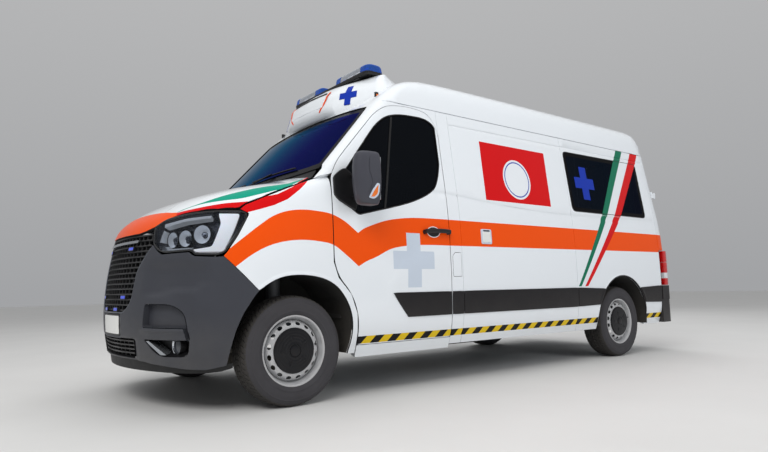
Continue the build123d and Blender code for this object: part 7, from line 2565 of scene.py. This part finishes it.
def seat_set(tag, x0, x1, nodes_=(), n=1, cloth=None, s_off=0.0):
    cloth = cloth or [M_CLOTH, M_CLOTHB]
    w = (x1 - x0) / n
    for i in range(n):
        a, b = x0 + i * w + 6, x0 + (i + 1) * w - 6
        t = f"{tag}{i}" if n > 1 else tag
        pad(t + "_cushion", (a, 764, 838), (b, 1222, 946), cloth, tilt=1.5, channels=(-0.45, 0.05, 0.5), cols=(-0.6, 0.6), replaces=nodes_ if i == 0 else (), crown=22)
        pad(t + "_backrest", (a + 8, 1222, 962), (b - 8, 1318, 1488), cloth, tilt=-10.0, pivot=((a + b) / 2, 1262, 970), channels=(-0.4, 0.1, 0.55), cols=(-0.6, 0.6), crown=20)
        m_ = (a + b) / 2
        pad(t + "_headrest", (m_ - 116, 1366, 1528), (m_ + 116, 1434, 1684), [cloth[-1]], crown=14, lift=5.0, round_=28.0)
        parts = [tube_data([(m_ + k * 52, 1384, 1560), (m_ + k * 52, 1374, 1470)], 5.5, 10, 0) for k in (-1, 1)]
        parts += [box_data((a + 30, 790, 556), (a + 62, 1240, 836), 5, 1), box_data((b - 62, 790, 556), (b - 30, 1240, 836), 5, 1), box_data((a + 20, 784, 770), (b - 20, 1236, 836), 8, 1), box_data((a + 66, 820, 600), (b - 66, 832, 764), 4, 1), box_data((a + 66, 1216, 600), (b - 66, 1228, 764), 4, 1)]
        # seat back shell
        sh = box_data((a + 16, 1322, 950), (b - 16, 1330, 1470), 5, 1)
        parts.append(turn(sh, (1, 0, 0), -12.0, (0, 1290, 960)))
        parts.append(tube_data(curve([(b - 2, 900, 860), (b - 2, 1000, 852), (b - 2, 1080, 866)], 5), 6, 8, 1))
        emit(t + "_frame", parts, [M_CHROME, M_TRIM], slot="interior_plastic")
        # belt buckle and stalk
        emit(t + "_buckle", [tube_data(curve([(a + 4, 1240, 850), (a + 2, 1236, 900), (a + 4, 1226, 960)], 4), 5, 8, 0), box_data((a - 8, 1212, 950), (a + 12, 1238, 1010), 5, 0), box_data((a - 5, 1217, 1009), (a + 9, 1233, 1014), 2, 1)], [M_BLACK, M_RED], slot="interior_plastic")


seat_set("driver", 186, 654, ("driver_seat",))
seat_set("passenger", -784, 104, ("passenger_seat",), n=2)
# attendant's folding seat in the load space
pad("attendant_cushion", (-794, 3156, 932), (-346, 3520, 1040), [M_VINYL], tilt=2.0, channels=(-0.3, 0.35), replaces=("attendant_seat",), crown=20)
pad("attendant_backrest", (-790, 3524, 1052), (-350, 3612, 1606), [M_VINYL], tilt=-8.0, pivot=(-570, 3560, 1052), channels=(-0.5, 0.0, 0.5), crown=18)
emit("attendant_frame", [box_data((-700, 3230, 866), (-370, 3540, 934), 8, 0), box_data((-560, 3300, 556), (-440, 3480, 868), 10, 0), box_data((-640, 3240, 553), (-372, 3550, 575), 6, 0), turn(box_data((-780, 3622, 1030), (-360, 3632, 1590), 6, 0), (1, 0, 0), -8.5, (0, 3590, 1040))], [M_TRIML], slot="interior_plastic")

# ------------------------------------------------------------------ steering wheel
SW_O = np.array([420.0, 805.0, 1190.0])
SW_A = np.array([0.0, math.sin(math.radians(35)), math.cos(math.radians(35))])
SW_U = np.array([1.0, 0, 0])
SW_V = np.cross(SW_A, SW_U)


def sw(p):
    """From wheel coordinates (across, up, along the axis)."""
    p = np.atleast_2d(np.asarray(p, float))
    return SW_O + p[:, :1] * SW_U + p[:, 1:2] * SW_V + p[:, 2:3] * SW_A


t = np.linspace(0, 2 * math.pi, 65)
ring_p = sw(np.stack([181 * np.cos(t), 181 * np.sin(t), np.full(65, 15.0)], 1))
parts = [tube_data(ring_p, 13.6, 14, 0, caps=False)]
for a in (205, 335, 90 + 180):
    r = math.radians(a)
    p = np.array([(rr * math.cos(r), rr * math.sin(r), z) for rr, z in ((40, 8), (80, 9), (130, 12), (175, 15))])
    pc = sw(p)
    side_v = sw([(-math.sin(r), math.cos(r), 0)])[0] - SW_O
    ell = np.array([(17 * math.cos(b), 7 * math.sin(b)) for b in np.linspace(0, 2 * math.pi, 14, endpoint=False)])
    parts.append(sweep_data(ell, [(q, side_v, SW_A) for q in pc], 1))
hub_o = rounded([(-70, -62), (70, -62), (82, 24), (56, 52), (-56, 52), (-82, 24)], [30, 30, 30, 30, 30, 30], 6)
hub_o = ccw(hub_o)
parts.append(sweep_data(hub_o, [(SW_O + SW_A * z, SW_U * k, SW_V * k) for z, k in ((0.5, 0.8), (4, 0.9), (16, 1.0), (24, 0.97), (28.5, 0.88), (29.5, 0.6))], 1, sharp=50))
parts.append(sweep_data(circle((0, 0), 11.5, 20), [(SW_O + SW_A * z, SW_U, SW_V) for z in (-49, 1)], 1))
emit("wheel_for_driver", parts, [M_BLACK, M_TRIM], body="steering_wheel_body", replaces=("steering_wheel",), slot="interior_plastic")

# ------------------------------------------------------------------ dashboard detail on the CAD shell
DP = [(300, 1330), (430, 1395), (560, 1330), (600, 1200), (590, 900), (520, 880), (470, 1090), (300, 1262)]
parts = []
# instrument hood
hood = curve([(505, 1352), (520, 1405), (580, 1418), (612, 1392), (606, 1352), (560, 1326)], 5)
bm = bmesh.new()
hv = []
for x, k in ((250, 0.6), (262, 0.9), (290, 1.0), (550, 1.0), (578, 0.9), (590, 0.6)):
    c_ = hood.mean(0)
    hv.append([bm.verts.new((x, c_[0] + (p[0] - c_[0]) * k, c_[1] + (p[1] - c_[1]) * k - 14)) for p in hood])
for r0, r1 in zip(hv[:-1], hv[1:]):
    for i in range(len(r0)):
        j = (i + 1) % len(r0)
        bm.faces.new((r0[i], r0[j], r1[j], r1[i]))
bm.faces.new(hv[0])
bm.faces.new(list(reversed(hv[-1])))
parts.append(bm_data(bm, 0, 45))
# screen, vents, switches and shelf
parts.append(box_data((-110, 566, 1205), (130, 604, 1325), 8, 1))
parts.append(box_data((-100, 600, 1215), (120, 606, 1316), 3, 2))
for x in (-760, -240, 240, 760):
    parts.append(box_data((x - 70, 575, 1222), (x + 70, 603, 1290), 10, 1))
    for i in range(5):
        parts.append(box_data((x - 60, 600, 1231 + i * 11), (x + 60, 606, 1235 + i * 11), 1.2, 0))
parts.append(box_data((-700, 588, 1010), (-240, 602, 1180), 10, 0))
parts.append(box_data((-520, 600, 1160), (-420, 608, 1172), 3, 1))
for i in range(4):
    parts.append(box_data((-90 + i * 52, 594, 1150), (-50 + i * 52, 606, 1186), 4, 1))
for i in range(3):
    c_ = (-70 + i * 80, 600, 1095)
    parts.append(turn(lathe_data([(0, 14), (17, 13), (20, 8), (22, 0), (22, -4), (0, -4)], c_, 28, 1, 1), (0, 0, 1), 0, c_))
# gear lever
parts.append(box_data((-60, 560, 900), (110, 660, 1040), 16, 0))
parts.append(tube_data(curve([(30, 640, 1030), (28, 672, 1070), (24, 690, 1110)], 5), 8, 10, 1))
parts.append(shift(lathe_data([(0, 34), (12, 32), (22, 20), (24, 6), (16, -10), (0, -14)], (0, 0, 0), 24, 2, 1), (24, 694, 1118)))
emit("dashboard_fittings", parts, [M_TRIM, M_BLACK, M_GLOSSB], slot="interior_plastic")
for x in (255, 520):
    emit(f"column_stalk_{x}", [tube_data(curve([(420 + (-40 if x < 400 else 40), 765, 1150), (x + (20 if x < 400 else 0), 770, 1160), (x, 772, 1168)], 4), 6, 8, 0)], [M_BLACK], slot="interior_plastic")

# ------------------------------------------------------------------ door cards
for name, mir, k in SIDES:
    body = f"front_door_{name}_body"
    din = Deep(side_dom, 50)
    parts = [slab_data(din, rounded([(500, 640), (1270, 440), (1280, 1010), (1270, 1330), (420, 1180), (400, 760)], [40, 60, 60, 60, 60, 60], 5), 0, 10, 0, edge=4, grid=60)]
    parts.append(slab_data(Deep(side_dom, 60), rounded([(620, 940), (1240, 960), (1240, 1030), (620, 1010)], 20, 5), 0, 52, 1, edge=6, grid=60))
    parts.append(slab_data(Deep(side_dom, 60), rounded([(560, 560), (1200, 470), (1210, 640), (560, 700)], 26, 5), 0, 40, 0, edge=6, grid=60))
    parts.append(slab_data(Deep(side_dom, 60), rounded(rect(560, 1080, 680, 1130), 10, 4), 0, 22, 2, edge=4, grid=40))
    if mir:
        parts = [flip(q) for q in parts]
    emit("door_card_" + name, parts, [M_TRIM, M_TRIML, M_CHROME], body=body, slot="interior_plastic")

# ------------------------------------------------------------------ load space fittings
M_LINO = mat("floor_lino", lin((120, 130, 138)), rough=0.42, tone=0.10, tone_scale=90.0, tone_detail=3.0, cells=0.10, cells_scale=420.0, coat=0.2, rough_var=0.12)
M_STEEL = mat("brushed_steel", lin((170, 172, 174)), rough=0.30, metal=1.0, tone=0.06, stretch=(1, 1, 30), grain=0.05, grain_scale=300.0, wear=0.1)
M_CAST = mat("cast_metal_part", lin((92, 94, 97)), rough=0.55, metal=0.75, tone=0.18, tone_scale=12.0, grain=0.22, grain_scale=380.0, wear=0.35, dust=0.4, dust_top=0.7)
M_UNDER = mat("underbody_coat", lin((46, 46, 47)), rough=0.8, tone=0.18, tone_scale=8.0, grain=0.28, grain_scale=220.0, dust=0.5, dust_top=0.6)
M_CUP = mat("cupboard_laminate", lin((208, 214, 218)), rough=0.30, coat=0.3, tone=0.03, tone_scale=6.0, cells=0.03, cells_scale=900.0, rough_var=0.08)
M_CEIL = mat("ceiling_lamp", lin((244, 246, 250)), rough=0.35, tone=0.02, cells=0.1, cells_scale=300.0, emission=(1, 1, 1), strength=0.4)
parts = []
for i, s in enumerate((1800.0, 2300.0, 2800.0)):
    # shelves, drawers and their pulls in each bay of the cupboard
    for z0, z1 in ((620, 850), (860, 1090), (1100, 1312)):
        parts.append(box_data((540, s - 222, z0), (556, s + 222, z1), 4, 0))
        parts.append(box_data((532, s - 50, z1 - 40), (541, s + 50, z1 - 26), 3, 1))
parts.append(box_data((528, 1516, 1372), (868, 3084, 1386), 5, 2))
emit("cupboard_drawers", parts, [M_CUP, M_STEEL, M_TRIML], slot="interior_plastic")
parts = [tube_data(curve([(-90, 1640, 2344), (-90, 1660, 2318), (-90, 1700, 2312), (-90, 3900, 2312), (-90, 3940, 2318), (-90, 3960, 2344)], 4), 13, 12, 0)]
for s in (1650, 2400, 3150, 3950):
    parts.append(tube_data([(-90, s, 2312), (-90, s, 2400)], 9, 10, 0))
emit("ceiling_rail", parts, [M_STEEL], slot="cast_metal")
for i, s in enumerate((1900, 2700, 3500)):
    for k in (1, -1):
        emit(f"ceiling_lamp_{i}_{'left' if k > 0 else 'right'}", [box_data((k * 330 - 70, s - 260, 2396), (k * 330 + 70, s + 260, 2414), 7, 0), box_data((k * 330 - 56, s - 244, 2391), (k * 330 + 56, s + 244, 2398), 3, 1)], [M_TRIML, M_CEIL], slot="interior_plastic")
# stretcher guides on the floor
for k in (1, -1):
    emit("stretcher_guide_" + ("left" if k > 0 else "right"), [box_data((k * 190 - 24, 1560, 551), (k * 190 + 24, 1900, 557), 2, 0), box_data((k * 190 - 30, 3560, 551), (k * 190 + 30, 4440, 560), 2, 0), box_data((k * 190 - 30, 3560, 558), (k * 190 - 24, 4440, 584), 2, 0)], [M_STEEL], slot="cast_metal")
# partition window frame
pw = rounded(rect(-352, 1378, 352, 1822), 40, 6)
pw_in = rounded(rect(-326, 1404, 326, 1796), 24, 6)


def part_plane(s):
    return Warp(lambda u, v: np.stack([u, np.full(np.shape(u), float(s)), v], 1))


P, f, m, n = panel_mesh(part_plane(1443), pw, holes=[pw_in], grid=60, gap=0, edge=3, thick=9)
emit("partition_window_frame", [(P, f, [0] * len(f), n)], [M_BLACK], slot="interior_plastic")
P, f, m, n = panel_mesh(part_plane(1467), rect(-322, 1408, 322, 1792), grid=120, gap=0, edge=1, thick=4)
emit("partition_pane", [(P, f, [0] * len(f), n)], [M_GLASS], slot="glass")

# ------------------------------------------------------------------ engine bay
parts = []
parts.append(box_data((-270, -430, 335), (270, 30, 700), 26, 0, 3))
parts.append(box_data((-250, -400, 700), (250, 10, 800), 18, 0, 3))
parts.append(box_data((-235, -385, 800), (235, -20, 872), 22, 1, 3))
for i in range(6):
    parts.append(box_data((-215 + i * 74, -370, 868), (-190 + i * 74, -40, 884), 5, 1))
parts.append(shift(lathe_data([(0, 26), (30, 24), (36, 18), (38, 0), (0, 0)], (0, 0, 0), 32, 2, 1), (150, -80, 872)))
parts.append(tube_data(curve([(-230, -330, 850), (-300, -300, 900), (-340, -200, 905), (-345, -60, 860), (-330, 40, 780)], 8), 34, 16, 2))
parts.append(tube_data(curve([(240, -330, 760), (310, -360, 800), (345, -300, 830), (350, -200, 800)], 8), 26, 14, 2))
parts.append(box_data((288, -190, 640), (398, 78, 850), 10, 1))
parts.append(box_data((292, -186, 850), (394, 74, 866), 5, 3))
for dx in (-30, 30):
    parts.append(shift(lathe_data([(0, 12), (9, 12), (9, 0), (0, 0)], (0, 0, 0), 16, 2, 4), (343 + dx, -150, 866)))
parts.append(box_data((-398, -450, 640), (-290, -330, 800), 12, 1))
parts.append(shift(lathe_data([(0, 16), (24, 15), (28, 8), (28, 0), (0, 0)], (0, 0, 0), 28, 2, 1), (-340, -390, 800)))
for i in range(9):
    parts.append(box_data((-396, -466, 350 + i * 34), (396, -452, 364 + i * 34), 2, 4))
parts.append(box_data((-398, -468, 334), (398, -448, 346), 3, 0))
parts.append(box_data((-398, -468, 650), (398, -448, 664), 3, 0))
parts.append(shift(lathe_data([(0, -14), (70, -14), (74, -8), (70, 0), (74, 8), (70, 14), (0, 14)][::-1], (0, 0, 0), 40, 1, 4), (0, -440, 480)))
parts.append(shift(lathe_data([(0, -12), (44, -12), (48, -6), (44, 0), (48, 6), (44, 12), (0, 12)][::-1], (0, 0, 0), 36, 1, 4), (150, -440, 620)))
M_TANKW = mat("header_tank", lin((196, 196, 186)), rough=0.4, tone=0.08, subsurface=0.2, grain=0.05, wear=0.05)
emit("engine_unit", parts, [M_CAST, M_BLACK, M_RUBBER, M_TANKW, M_STEEL], replaces=("engine",), slot="cast_metal")

# ------------------------------------------------------------------ materials of the frame's own parts that stay
KEEP = {"floor": M_LINO, "wheel_housings": M_CUP, "firewall": M_UNDER, "dashboard": M_TRIM, "partition": M_LINER, "cabinet": M_CUP, "front_subframe": M_UNDER, "front_struts": M_CAST, "knuckle_left": M_CAST, "knuckle_right": M_CAST,
        "rear_axle": M_CAST, "fuel_tank": M_UNDER, "rear_bumper": M_MOULD, "grille": M_BLACK}
done = set()
for nm, mt in KEEP.items():
    o = bpy.data.objects.get(nm)
    if o is None:
        continue
    if not o.material_slots:
        o.data.materials.append(mt)
    for sl in o.material_slots:
        sl.material = mt
